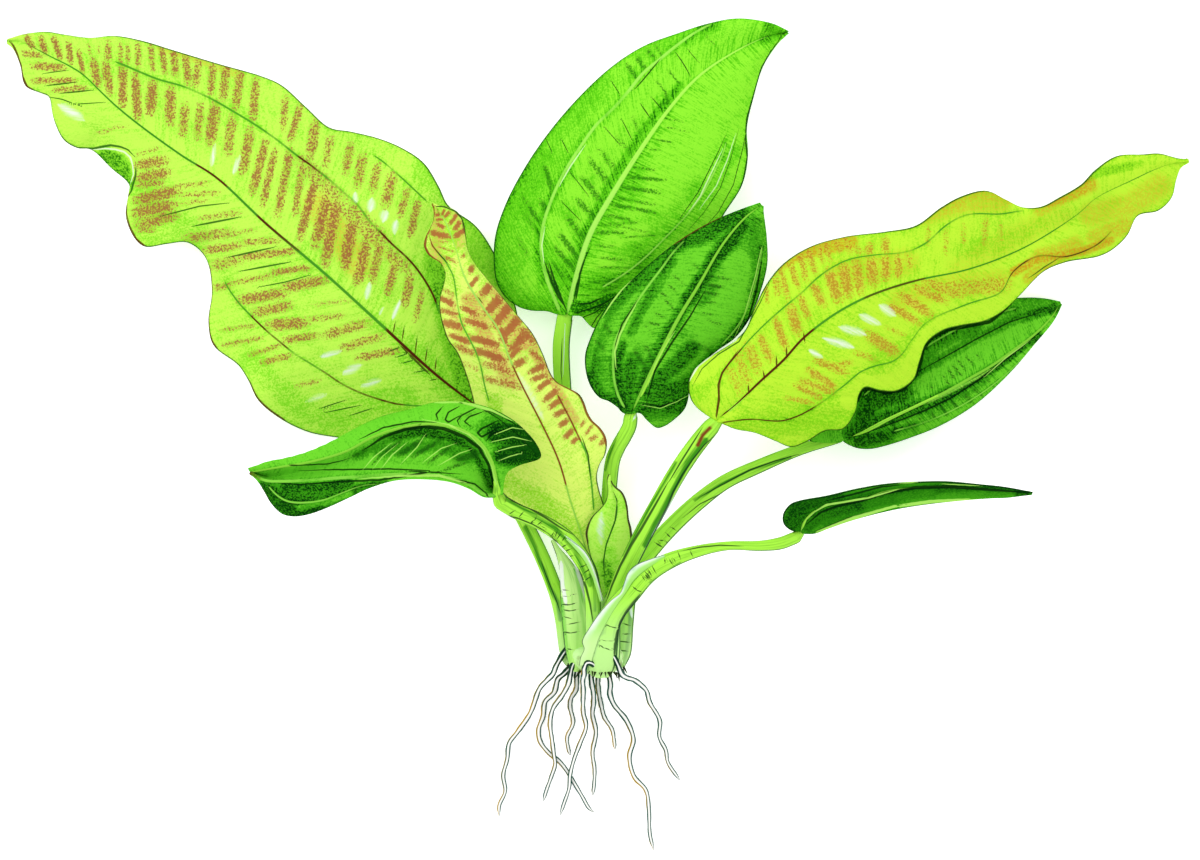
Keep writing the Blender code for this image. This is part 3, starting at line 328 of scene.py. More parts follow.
STRIPED_BARS = [
    (-66, 86, -64, 86, 1.2, 1), (-65, 84, -63, 84, 1.2, 1), (-65, 82, -62, 81, 1.6, 1),
    (-68, 79, -60, 77, 2.4, 1), (-66, 75, -60, 75, 1.2, 0.4), (-64, 73, -58, 71, 1.2, 0.5),
    (-62, 69, -57, 67, 1.6, 0.6), (-62, 56, -58, 54, 2, 0.6), (-64, 53, -58, 50, 2.4, 1),
    (-64, 48, -57, 46, 2.4, 0.8), (-63, 43, -55, 41, 3.6, 0.9), (-60, 38, -52, 35, 2.4, 1),
    (-58, 34, -50, 30, 2.4, 0.7), (-55, 27, -48, 24, 2.4, 0.35), (-55, 53, -50, 52, 1.6, 0.4),
    (-55, 49, -49, 46, 2.4, 0.9), (-54, 44, -44, 41, 2.8, 0.9), (-52, 37, -41, 34, 3.2, 1),
    (-50, 32, -38, 28, 3.2, 1), (-47, 27, -35, 23, 3.2, 0.6), (-46, 21, -32, 17, 3.2, 0.6),
    (-63, 86, -62, 88, 1.2, 1), (-62, 85, -60, 87, 1.6, 1), (-60, 82, -57, 86, 1.6, 1),
    (-58, 80, -56, 83, 2, 1), (-58, 77, -54, 80, 2, 1), (-55, 69, -54, 70, 1.6, 0.7),
    (-52, 63, -51, 65, 2.4, 1), (-52, 57, -49, 61, 2, 1), (-47, 54, -44, 58, 3.6, 1),
    (-45, 47, -40, 53, 4, 1), (-42, 42, -36, 50, 4, 1), (-39, 37, -32, 45, 4, 1),
    (-40, 41, -37, 34, 1.6, 1), (-36, 31, -28, 40, 4, 0.9), (-32, 40, -26, 35, 3.2, 0.8),
    (-36, 29, -32, 33, 2.4, 1), (-34, 26, -30, 28, 3.2, 1), (-28, 32, -23, 27, 2.4, 0.7),
    (-28, 23, -22, 26, 2.8, 1), (-27, 20, -22, 22, 2.4, 1), (-25, 16, -20, 20, 2.4, 1),
    (-22, 12, -17, 16, 2.8, 1), (-20, 9, -16, 12, 2.4, 1), (-18, 6, -14, 8, 2.4, 1),
    (-16, 2, -13, 4, 2.4, 1), (-14, -3, -11, 0, 2.4, 1), (-11, -5, -9, -3, 2, 1), (-8, 1, -6, 4, 1.6, 0.7),
    (-6, -2, -3, 2, 1.6, 0.7), (-4, -4, -1, -2, 2, 0.7), (0, -6, 2, -3, 2, 0.7),
]
RIGHT_LONG_BARS = [
    (66, 58, 67, 51, 2.2, 0.6), (70, 61, 71, 54, 2.8, 0.6), (72, 64, 75, 53, 2.8, 0.7),
    (76, 66, 79, 57, 2.8, 0.7), (80, 70, 82, 60, 2.8, 0.7), (83, 72, 86, 62, 2.8, 0.7),
    (87, 74, 89, 66, 2.2, 0.6), (90, 74, 92, 67, 2.2, 0.6), (94, 76, 96, 70, 2.2, 0.6),
    (98, 77, 100, 70, 2.2, 0.5), (102, 73, 104, 70, 3.4, 0.5), (108, 74, 107, 70, 3.9, 0.7),
    (114, 76, 114, 71, 3.9, 0.7), (70, 44, 74, 33, 3.4, 0.9), (76, 49, 79, 39, 4.5, 0.9),
    (80, 53, 83, 45, 3.4, 0.7), (85, 58, 89, 50, 3.9, 0.8), (91, 63, 95, 52, 4.5, 1),
    (97, 65, 99, 54, 4.5, 0.9), (102, 67, 104, 55, 3.9, 0.8), (108, 68, 109, 58, 4.5, 0.8),
    (114, 68, 114, 60, 3.9, 0.8), (119, 69, 119, 61, 2.8, 0.8), (123, 69, 124, 65, 2.8, 0.5),
    (64, 37, 68, 28, 3.9, 0.7), (59, 34, 63, 24, 5, 0.6), (55, 31, 59, 18, 4.5, 0.5),
    (51, 26, 56, 15, 4.5, 0.4), (131, 81, 131, 74, 2.2, 0.4), (138, 80, 138, 70, 2.2, 0.4),
    (145, 82, 145, 74, 2.2, 0.4), (154, 84, 153, 74, 2.8, 0.5), (160, 83, 160, 76, 2.2, 0.4),
    (115, 50, 127, 43, 3.4, 0.8), (120, 54, 132, 46, 3.9, 0.8), (126, 57, 138, 51, 3.4, 0.7),
    (130, 59, 144, 54, 4.5, 0.6), (114, 41, 122, 38, 2.2, 0.4), (107, 38, 118, 31, 5, 0.8),
    (102, 31, 110, 28, 2.8, 0.5), (95, 26, 100, 27, 2.8, 0.6), (86, 28, 98, 23, 3.4, 0.7),
    (83, 24, 94, 17, 3.4, 0.8), (80, 20, 93, 15, 2.8, 0.7), (78, 18, 88, 13, 2.8, 0.7),
    (74, 13, 85, 11, 2.2, 0.6), (136, 56, 162, 58, 6.7, 0.5),
]
TOP_BARS = [
    (-22, 105, -19, 96, 2.4, 0.8), (-24, 92, -21, 87, 2.1, 0.7), (-29, 90, -24, 83, 2.4, 0.7),
    (-31, 94, -27, 87, 1.5, 0.4), (-33, 77, -29, 70, 2.1, 0.4), (-30, 86, -24, 78, 2.1, 0.4),
    (11, 146, 15, 140, 2.1, 0.8), (15, 149, 18, 144, 2.1, 0.8), (19, 152, 22, 148, 2.1, 0.6),
    (22, 154, 25, 149, 1.5, 0.5), (-4, 108, 3, 99, 2.7, 0.7), (-7, 101, 0, 92, 2.4, 0.8),
    (-9, 92, -3, 85, 2.7, 0.8), (-13, 85, -6, 76, 2.7, 0.6), (-16, 78, -9, 69, 2.4, 0.9),
    (-18, 73, -11, 65, 2.1, 0.8), (-19, 67, -14, 60, 1.8, 0.6), (0, 112, 6, 104, 2.4, 0.6),
    (7, 117, 13, 110, 2.1, 0.4), (13, 125, 16, 118, 1.2, 0.6), (22, 140, 27, 134, 0.9, 0.8),
    (26, 134, 29, 128, 1.2, 0.6), (27, 144, 32, 138, 0.9, 0.7), (13, 105, 22, 104, 1.2, 0.6),
    (11, 101, 26, 100, 1.5, 0.8), (9, 97, 24, 95, 1.8, 0.8), (6, 93, 22, 90, 1.2, 0.6),
    (5, 90, 22, 87, 1.8, 0.7), (2, 86, 13, 84, 1.5, 0.6), (1, 82, 16, 83, 1.5, 0.5),
    (-1, 79, 10, 79, 1.8, 0.7), (8, 77, 24, 78, 0.9, 0.6), (-2, 74, 6, 73, 1.5, 0.5),
    (0, 69, 10, 68, 1.2, 0.6), (-1, 65, 20, 65, 1.2, 0.5), (-4, 59, 10, 60, 1.5, 0.7),
    (0, 55, 8, 58, 1.5, 0.6), (4, 82, 20, 79, 1.2, 0.4), (22, 116, 29, 115, 0.8, 0.8),
    (20, 112, 24, 112, 0.8, 0.6), (26, 121, 36, 119, 0.8, 0.5), (24, 125, 34, 123, 0.8, 0.5),
    (41, 159, 49, 151, 0.8, 0.4),
]
MIDDLE_BARS = [
    (24, 55, 27, 53, 0.8, 0.9), (26, 52, 30, 48, 0.8, 0.8), (22, 47, 26, 45, 0.8, 0.7),
    (19, 43, 24, 42, 0.8, 0.8), (18, 42, 22, 38, 0.8, 0.6), (27, 58, 31, 55, 0.8, 0.6),
    (29, 62, 34, 58, 0.8, 0.5), (36, 67, 40, 64, 1, 0.4), (40, 51, 46, 51, 0.8, 0.7),
    (40, 47, 45, 46, 0.8, 0.6), (42, 58, 49, 57, 1.4, 0.8), (41, 55, 47, 54, 1.4, 0.7),
    (43, 62, 52, 60, 1.4, 0.5), (42, 44, 49, 42, 1, 0.5), (18, 34, 22, 26, 2, 0.5),
    (14, 32, 19, 23, 2, 0.6), (36, 36, 45, 31, 2, 0.4), (-2, 36, 2, 32, 1.7, 0.5),
    (2, 42, 5, 38, 1.7, 0.5),
]
BROAD_BARS = [
    (137, 22, 140, 18, 0.8, 0.8), (139, 25, 142, 20, 0.8, 0.8), (141, 26, 145, 21, 0.8, 0.9),
    (143, 28, 147, 23, 0.8, 0.7), (146, 30, 150, 25, 0.8, 0.6), (150, 31, 154, 26, 0.8, 0.5),
    (132, 18, 135, 14, 0.8, 0.5), (132, 8, 134, 5, 1.4, 0.7), (136, 10, 139, 6, 1.4, 0.8),
    (140, 12, 143, 9, 1.4, 0.8), (145, 15, 149, 11, 1.7, 0.8), (149, 17, 153, 14, 1.4, 0.6),
    (154, 21, 158, 17, 1, 0.5), (122, 4, 126, 0, 1.4, 0.4), (127, 6, 130, 2, 1, 0.5),
]
FOLDED_BARS = [
    (-38, 2, -32, 0, 1.7, 1), (-37, -2, -29, -4, 2, 1), (-38, -7, -28, -7, 2, 1),
    (-39, -11, -30, -10, 1.7, 1), (-32, 2, -28, -2, 2, 0.9), (-29, -4, -25, -9, 2.4, 1),
    (-80, -10, -71, -4, 2.4, 0.8), (-75, -11, -64, -4, 2, 0.8), (-86, -9, -79, -4, 1.4, 0.7),
    (-91, -14, -85, -8, 1, 0.6), (-68, -13, -60, -7, 1.7, 0.7), (-58, -12, -48, -9, 2.7, 0.8),
    (-62, -16, -54, -13, 1.7, 0.6), (-100, -11, -92, -7, 1.7, 0.5),
]

# Touches of colour on each blade, by kind: how far each reaches, how strong it is, and the x, y of the
# points on its line. Soft ones are "shade", painted shade that deepens the green, "light", painted light
# that pales it, "warm" that browns it, "stain" that turns veins and margins brown and "glow", a painted
# highlight. "ink" and "pale" are drawn lines; the pale ones are pale veins, gaps and edges and in places
# painted highlights

LEFT_LONG_TOUCHES = {
    "shade": [(7, 0.75, -66, 70, -63, 56, -59, 36, -55, 22, -52, 12), (5, 0.5, -54, 83, -50, 72, -48, 62),
        (9, 0.35, -80, 12, -96, 8, -108, 4), (6, 0.3, -184, 90, -183, 79, -160, 76),
        (5, 1.1, -198, 110, -194, 108, -191, 105, -190, 99), (8, 0.3, -184, 96, -180, 86, -160, 78),
        (7, 0.35, -140, 28, -124, 12, -104, 2), (6, 0.3, -72, 104, -64, 92, -52, 76),
        (8, 0.3, -84, 38, -68, 26, -60, 16), (6, 0.5, -52, 78, -46, 71, -43, 62),
        (6, 0.5, -65, 67, -62, 58, -59, 44, -56, 28)],
    "light": [(10, 0.3, -196, 132, -176, 112, -152, 92, -128, 76), (9, 0.3, -108, 40, -88, 32),
        (6, 0.4, -233, 154, -224, 148, -216, 140)],
    "warm": [(3, 0.5, -176, 153, -160, 148, -144, 142), (2.5, 0.4, -108, 90, -94, 78, -82, 67),
        (10, 0.6, -113, 90, -105, 79, -97, 67)],
    "stain": [(3, 1, -160, 105, -150, 99), (3.5, 1, -135, 85, -120, 74),
        (3, 1, -138, 45, -133, 40, -126, 34), (3, 1, -110, 23, -95, 15, -80, 11),
        (3, 1, -88, 78, -78, 69, -70, 59, -67, 52), (3, 1, -120, 108, -114, 103),
        (3, 1, -238, 156, -234, 153, -232, 146, -231, 140, -229, 137),
        (3, 1, -189, 93, -190, 86, -189, 81, -184, 74), (3, 1, -157, 64, -156, 55, -157, 40, -155, 34),
        (3, 0.8, -141, 18, -138, 12, -128, 5), (4, 1.2, -83, 40, -68, 26, -52, 9)],
    "glow": [(1, 1, -154, 114.8, -155.6, 104.8), (1.2, 1, -144, 110, -146.8, 102),
        (1.2, 1, -98, 95.2, -97.6, 90.8), (1.7, 1, -91.2, 92.8, -92, 87.2),
        (1.9, 1, -85.6, 88, -86.8, 83.2), (1.4, 1, -81.6, 84.4, -82.4, 78.4),
        (1.4, 1, -92, 59.2, -93.6, 52), (0.7, 1, -86.4, 49.6, -88.4, 45.6), (1.1, 1, -80, 52, -83.2, 44),
        (1.4, 1, -112, 29.2, -103.2, 32), (1.6, 1, -103.2, 22.4, -95.2, 26.4),
        (1.4, 0.9, -96, 17.2, -87.2, 20.4), (1.2, 0.9, -118, 11.6, -109.6, 14.4),
        (2, 1, -216.8, 130.4, -206.4, 124)],
    "ink": [(0.32, 1, -148.8, 90.8, -160, 89.6, -176, 85.6), (0.43, 1, -144, 85.2, -163.2, 81.6),
        (0.38, 1, -130, 73.2, -148.8, 69.2), (0.38, 1, -124, 67.2, -144, 63.6),
        (0.27, 1, -116, 62, -126, 59.2, -136.8, 57.2), (0.32, 1, -210, 139.2, -222, 138),
        (0.32, 1, -203.2, 136, -216, 134.8), (0.27, 0.8, -213.6, 144, -223.2, 142.8),
        (0.27, 0.8, -198.4, 131.2, -211.2, 130.4), (0.27, 1, -220.8, 133.6, -215.2, 132.4, -208, 129.6),
        (0.54, 0.5, -112, 8.8, -102, 12), (0.54, 0.5, -110, 7.2, -96, 10),
        (0.54, 0.5, -100, 6, -91.2, 8.8),
        (0.49, 1, -216, 116, -209.6, 113.2, -203.2, 113, -200, 113.6, -196, 114.2, -192, 113.6, -188.8,
         112.4, -186.4, 109.6), (0.43, 1, -185.6, 106, -186, 100.8, -187.6, 96, -189.2, 92.8),
        (0.27, 1, -82.8, 38.8, -82, 43.2), (0.27, 1, -79.2, 36, -78.4, 41.2),
        (0.27, 1, -74, 30.8, -73.2, 37.2), (0.27, 1, -70, 27.2, -69.2, 32.8),
        (0.27, 1, -66, 24, -65.6, 28.4), (0.27, 1, -84.4, 31.6, -80, 33.2),
        (0.27, 1, -81.6, 29.2, -76.4, 30.8), (0.27, 1, -79.2, 26.8, -74.4, 28),
        (0.27, 1, -74, 23.2, -69.2, 24), (0.27, 1, -68, 20, -65.2, 20.4), (0.54, 0.9, -80, 34, -68, 22),
        (0.27, 1, -236, 155.6, -234, 152.8, -232.4, 148, -231.2, 142, -228.8, 136.8, -226, 133.6),
        (0.22, 1, -189.2, 92, -189.6, 87.2, -188.4, 82, -185.6, 76.8, -181.6, 73.6),
        (0.22, 0.9, -157.2, 64.8, -155.6, 58, -156.8, 48, -156.8, 40, -154.8, 33.6),
        (0.36, 1, -237.2, 156, -234.8, 153.6, -233, 150, -231.8, 146, -231, 140.8, -229.2, 137.2)],
    "pale": [(0.36, 1, -203.2, 112.6, -198, 113, -194, 112.6, -190.4, 111.6, -188, 109.2, -186.8, 106,
         -186.8, 102, -187.6, 99.2)],
}
STRIPED_TOUCHES = {
    "shade": [(6, 0.35, -38, -20, -24, -28, -10, -40), (5, 0.3, -42, 12, -40, -4),
        (12, 0.35, -64, 85, -61, 74, -55, 67)],
    "light": [(6, 0.5, -35, 8, -24, -8, -14, -24), (5, 0.4, -57, 66, -52, 58),
        (3, 0.5, -32, 24, -27, 17, -22, 8, -18, 0)],
    "warm": [(5, 0.8, -52, 52, -44, 34, -36, 20), (4, 0.8, -40, 50, -30, 34), (3, 0.6, -60, 52, -54, 32),
        (4, 0.6, -66, 86, -64, 79, -66, 72, -64, 67), (3, 0.5, -58, 86, -55, 79, -56, 74),
        (3, 0.7, -44, 56, -38, 48, -30, 38, -26, 32), (5, 0.6, -48, 52, -40, 42, -34, 32),
        (3, 0.7, -27, 31, -18, 18, -10, 4)],
    "stain": [(3, 1, -35, 24, -28, 11, -20, -5, -14, -20), (3, 1, -18, 15, -16, 12, -13, 4, -9, -3),
        (3, 1, -18, 23, -6, 7, 2, -4), (3, 1, -67, 90, -69, 82, -69, 75, -65, 67)],
    "glow": [(1.7, 0.9, -32.8, 23.2, -28, 14.4, -22.4, 4)],
    "ink": [(0.36, 0.9, -7.2, -2.8, -4.8, -10, -4, -19.2),
        (0.29, 1, -68, 77.6, -66.8, 73.6, -63.6, 69.6, -60.4, 66.4), (0.22, 1, -48.8, 53.2, -46.8, 50.4),
        (0.36, 1, -66.8, 89.6, -66.2, 86.8, -67.4, 82.8, -69, 78, -69.6, 73.2, -67.8, 69.6, -64, 66.4,
         -61.6, 62.8, -62.8, 57.6), (0.29, 1, -66.8, 89.6, -62, 88.8, -58, 87.2, -55, 84, -54.6, 79.2)],
}
TOP_TOUCHES = {
    "shade": [(6, 0.5, -31, 103, -38, 90, -41, 76, -40, 60, -32, 52, -22, 50), (5, 0.35, -36, 86, -39, 67),
        (7, 0.4, -16, 58, -12, 67, -8, 76), (3, 0.5, -19, 94, -24, 83, -25, 70, -23, 60),
        (9, 0.5, -4, 55, 8, 62, 20, 73, 32, 83), (7, 0.35, 8, 70, 24, 86, 36, 96),
        (10, 0.3, 0, 78, 6, 90, 14, 100), (4, 0.5, 36, 83, 46, 96, 54, 112),
        (4, 1.2, -9, 49, 0, 50, 5, 53), (4, 0.6, 40, 162, 46, 162), (4, 0.6, 68, 162, 73, 160),
        (3, 0.5, 65, 156, 71, 158), (4, 0.5, -11, 56, -16, 64, -19, 74), (6, 0.3, 4, 54, 20, 67, 36, 82),
        (8, 0.4, -37, 72, -34, 92, -22, 114, 0, 138), (7, 0.3, -18, 76, -8, 98, 6, 124),
        (6, 0.25, 16, 152, 40, 160), (2.2, 0.7, -7, 78, -1, 89, 4, 99, 14, 115, 21, 125, 27, 132, 32, 138),
        (12, 0.3, -28, 100, -35, 80, -37, 64), (12, 0.22, -4, 132, -12, 108, -14, 92),
        (10, 0.3, -34, 52, -20, 48, 0, 52, 16, 60)],
    "light": [(6, 0.7, -10, 96, -7, 92), (7, 0.7, -6, 106, 0, 116, 4, 124),
        (7, 0.6, 8, 127, 18, 137, 26, 144), (7, 0.5, -19, 82, -14, 74),
        (12, 0.6, 40, 132, 36, 116, 26, 98), (8, 0.5, 51, 140, 50, 132), (5, 0.4, 16, 80, 4, 75),
        (5, 0.4, 10, 66, 2, 67), (4, 0.5, 54, 104, 49, 90), (10, 0.4, 52, 100, 40, 84, 26, 72)],
    "ink": [(0.23, 0.8, -15.2, 116, -12.8, 111.2), (0.23, 0.7, -15.2, 91.2, -8, 84),
        (0.23, 0.6, -12, 103.2, -4.8, 94), (0.23, 0.7, 4.8, 139.2, 8, 134),
        (0.26, 1, 16.4, 130, 20, 124.8), (0.23, 0.9, 20.8, 132.8, 24.8, 128),
        (0.23, 1, 30.4, 150.8, 33.6, 146, 36, 141.6), (0.23, 0.6, 35.2, 152, 39.2, 147.2),
        (0.23, 0.8, 8.8, 124, 12.8, 116), (0.23, 0.6, 2, 120.8, 8, 114),
        (0.23, 0.5, -21.6, 116.8, -19.2, 111.2), (0.28, 1, 24, 148, 16, 138.4, 13.6, 136),
        (0.28, 1.1, -3.8, 73.2, -5.6, 69.6, -7.2, 64.4, -9.2, 58, -10.8, 49.6),
        (0.47, 1.1, -6, 68.8, -8, 62, -9.6, 52),
        (0.47, 1.1, -22, 67.2, -19.6, 60, -16.8, 53.6, -14.4, 49.6),
        (0.42, 1.1, -20.4, 67.2, -18.4, 60.4, -15.2, 52, -13.6, 47.6),
        (0.37, 1, -10.6, 46.8, -3.2, 48.8, 2.4, 51.2, 7.2, 54.4),
        (0.37, 1, -10, 50.4, -4, 50.8, 1.2, 53.2), (0.28, 1, -8, 44.8, -2, 47.2, 2.4, 50.4),
        (0.28, 0.9, -4, 40.8, -1.6, 44.8, 1.6, 48.8),
        (0.23, 0.9, 50, 117.6, 47.2, 111.2, 43.2, 103.2, 39.2, 95.2, 32, 84.8),
        (0.22, 0.8, 59.2, 124, 56.8, 112, 53.2, 98, 47.2, 87.2, 40, 79.2),
        (0.22, 0.7, 55.2, 120, 52, 108, 48, 96.8, 41.6, 87.2, 36, 80.8),
        (0.36, 1, 73.6, 159, 68, 151.6, 64.4, 145.2, 61.6, 135.2, 58.6, 124.8, 58, 116.8, 58.8, 109.2,
         57.2, 100.4, 54, 91.6)],
    "pale": [(0.36, 0.8, -16, 98, -11.6, 105.6, -6, 113.6), (0.29, 0.8, -22, 80.8, -23.2, 74, -22.4, 67.2),
        (0.29, 1, 48.8, 112, 44, 102, 40, 93.6, 36, 88),
        (0.25, 1, 54, 118, 50.8, 108, 46.4, 97.6, 40, 88.8)],
}
MIDDLE_TOUCHES = {
    "shade": [(5, 1, -4, 32, -4, 22, -1, 14, 8, 9), (5, 0.8, -2, 40, 5, 50, 16, 61, 27, 70),
        (6, 1, 32, 74, 42, 79, 56, 87), (3, 1, 9, 34, 7, 26, 8, 14, 11, 8),
        (5, 0.9, 10, 12, 12, 24, 16, 32), (3.5, 1, 13, 39, 17, 48, 24, 58, 29, 67),
        (4, 0.8, 16, 16, 22, 32, 32, 47, 40, 60), (5, 1, 20, 14, 26, 22, 36, 32),
        (5, 1.1, 35, 52, 45, 67, 56, 81), (4, 0.6, 61, 80, 62, 68, 60, 56), (6, 1, 22, 14, 36, 18, 46, 28),
        (5, 0.9, 53, 34, 57, 42, 46, 32), (6, 1.1, 18, 7, 26, 8, 34, 12), (6, 0.6, 0, 52, -3, 36, -2, 24),
        (5, 0.4, 58, 82, 62, 72, 61, 60), (4, 0.5, 40, 52, 45, 58, 42, 61), (8, 0.3, 5, 52, 0, 36, 1, 22),
        (6, 0.35, 54, 78, 61, 83, 62, 74)],
    "light": [(8, 0.7, 36, 67, 27, 56, 22, 46, 16, 34), (8, 0.7, 55, 65, 54, 52, 46, 38),
        (4, 0.5, 16, 52, 9, 42, 5, 32), (3, 0.8, 0, 44, -3, 36, -6, 24), (5, 0.4, 20, 4, 29, 4)],
    "stain": [(3, 1.2, 30, 76, 36, 79, 42, 81, 47, 84)],
    "ink": [(0.36, 1, 15.2, 52, 8.8, 42, 6.4, 34, 6.2, 24),
        (0.43, 1, 18.4, 11.2, 22, 24, 28.8, 35.2, 36, 45.6, 42, 56),
        (0.43, 1, 55.2, 36.8, 59.2, 44.8, 62.4, 56, 64.4, 67.2), (0.36, 1, 16, 11.2, 24, 9.6, 32, 12)],
    "pale": [(0.35, 1, 1.2, 45.2, 4.8, 50.8, 8.8, 56, 16, 63.6),
        (0.39, 1, 6.4, 24.8, 6, 31.2, 8, 38, 11.2, 44.4, 14.4, 49.6),
        (0.35, 1, 19.2, 18, 22, 26, 25.6, 32.8, 29.6, 39.2),
        (0.22, 0.8, 16.8, 10, 24, 8.8, 30.8, 11.6, 35.2, 14),
        (0.22, 1, 54, 38, 56.8, 44, 59.2, 52, 62, 62, 64, 72)],
}
RIGHT_LONG_TOUCHES = {
    "shade": [(6, 0.35, 84, 2, 100, 8), (6, 0.3, 112, 28, 122, 34, 132, 43),
        (5, 0.3, 144, 72, 160, 74, 176, 82), (3, 0.6, 184, 96, 200, 103, 216, 106),
        (8, 0.35, 40, 18, 46, 29, 58, 42), (7, 0.35, 56, 1, 76, 3, 92, 12)],
    "light": [(6, 0.7, 196, 94, 212, 100, 222, 103), (6, 0.6, 68, 56, 58, 38, 46, 28, 38, 22),
        (5, 0.9, 132, 38, 142, 45, 158, 47), (5, 0.9, 100, 12, 105, 18, 116, 17, 125, 23, 129, 34),
        (6, 0.4, 156, 52, 172, 63)],
    "warm": [(4, 0.6, 171, 61, 178, 66, 183, 69), (9, 0.4, 96, 62, 112, 65, 122, 67),
        (8, 0.4, 120, 52, 140, 58, 160, 60), (8, 0.5, 196, 86, 212, 90, 224, 98),
        (6, 0.6, 176, 69, 184, 71, 190, 74), (7, 0.5, 130, 86, 146, 91, 160, 91),
        (5, 0.6, 176, 88, 186, 94, 196, 98), (6, 0.6, 198, 77, 210, 82),
        (9, 0.3, 144, 64, 164, 76, 184, 86), (5, 0.8, 54, 52, 66, 64, 80, 71, 100, 75),
        (4, 0.6, 138, 88, 150, 94, 163, 92), (4, 0.8, 180, 91, 188, 94, 196, 98),
        (3, 0.9, 165, 63, 174, 68, 184, 70, 194, 72, 204, 76)],
    "stain": [(4, 1.2, 40, -4, 49, 6, 58, 15, 72, 27, 84, 38), (3, 0.7, 107, 52, 128, 60),
        (3, 1, 46, 5, 48, 12, 49, 23, 55, 32), (3, 0.9, 48, 3, 56, 5, 68, 4, 78, 6, 87, 11),
        (3, 0.8, 162, 62, 174, 70, 186, 70, 198, 74, 205, 81)],
    "glow": [(1.7, 1, 111.2, 50, 118, 45.6), (1.6, 1, 103.2, 46, 112, 42), (1.7, 1, 95.2, 41.2, 106, 38),
        (1.6, 1, 88.8, 36.8, 101.2, 32.8), (1.2, 1, 83.2, 32, 88.8, 28.8)],
    "ink": [(0.36, 1, 59.2, 15.2, 59.2, 18), (0.36, 1, 65.6, 20.4, 65.2, 23.2),
        (0.36, 1, 70.4, 24.8, 70.4, 29.2), (0.36, 1, 74.4, 28.8, 74.4, 32.8),
        (0.36, 1, 81.6, 35.2, 81.2, 38.4),
        (0.43, 1, 46.4, 4.8, 47.6, 12, 47.2, 18, 48.8, 22.8, 55.2, 31.6),
        (0.36, 0.7, 171.2, 60.8, 178, 65.6, 183.2, 68.8),
        (0.36, 0.8, 67.6, 58.4, 64, 50.8, 55.6, 35.2, 47.2, 30, 40.8, 24.4, 37.2, 18)],
    "pale": [(0.72, 1, 66.4, 60, 62.8, 52, 54, 36, 46, 31.2, 39.2, 25.6, 36, 20)],
}
BROAD_TOUCHES = {
    "shade": [(7, 1.1, 105, 2, 108, 12, 116, 14, 122, 15), (6, 1, 130, 27, 133, 34, 140, 38, 150, 40),
        (5, 1, 100, -1, 112, 4, 126, 9, 140, 15),
        (3.5, 1, 118, 14, 127, 23, 138, 29, 150, 36, 164, 43, 176, 47), (3, 1.1, 174, 46, 182, 49),
        (4, 1, 104, -4, 116, -2, 126, 1), (2.2, 1, 128, 9, 144, 16, 160, 26, 176, 38),
        (6, 0.4, 120, 12, 136, 23, 152, 33), (5, 0.3, 116, 2, 136, 10, 156, 22),
        (8, 0.4, 160, 45, 176, 50)],
    "light": [(8, 0.6, 128, 15, 140, 25, 154, 34, 164, 38), (4, 0.5, 168, 42, 178, 44),
        (4, 0.7, 120, -3, 140, 5, 156, 16, 172, 31), (10, 0.4, 132, 31, 152, 40)],
    "glow": [(0.7, 1, 130, 10.4, 142, 16.4, 151.2, 21.2, 157.2, 25.2)],
    # The first two ink lines are the painted shadow that the right long blade casts along its edge
    "ink": [(0.86, 1.1, 103.2, 11.2, 104.8, 16, 108.8, 16.4, 114, 14.8, 120.8, 16, 125.6, 20),
        (0.94, 1.1, 126.4, 20.8, 128.4, 27.2, 129.2, 32, 132.8, 36.8, 139.2, 40, 148, 41.6, 156, 43.2,
         161.2, 47.2, 164.8, 50.4),
        (0.43, 1, 104.8, -1.6, 120, 4, 130, 8, 140, 12.8, 151.2, 20, 164, 29.6, 178, 40.8),
        (0.36, 0.9, 127.2, 23.2, 138, 29.2, 150, 36, 164, 43.2, 178, 47.6)],
    "pale": [(0.29, 0.8, 154, 21.6, 162, 28.8, 172, 36)],
}
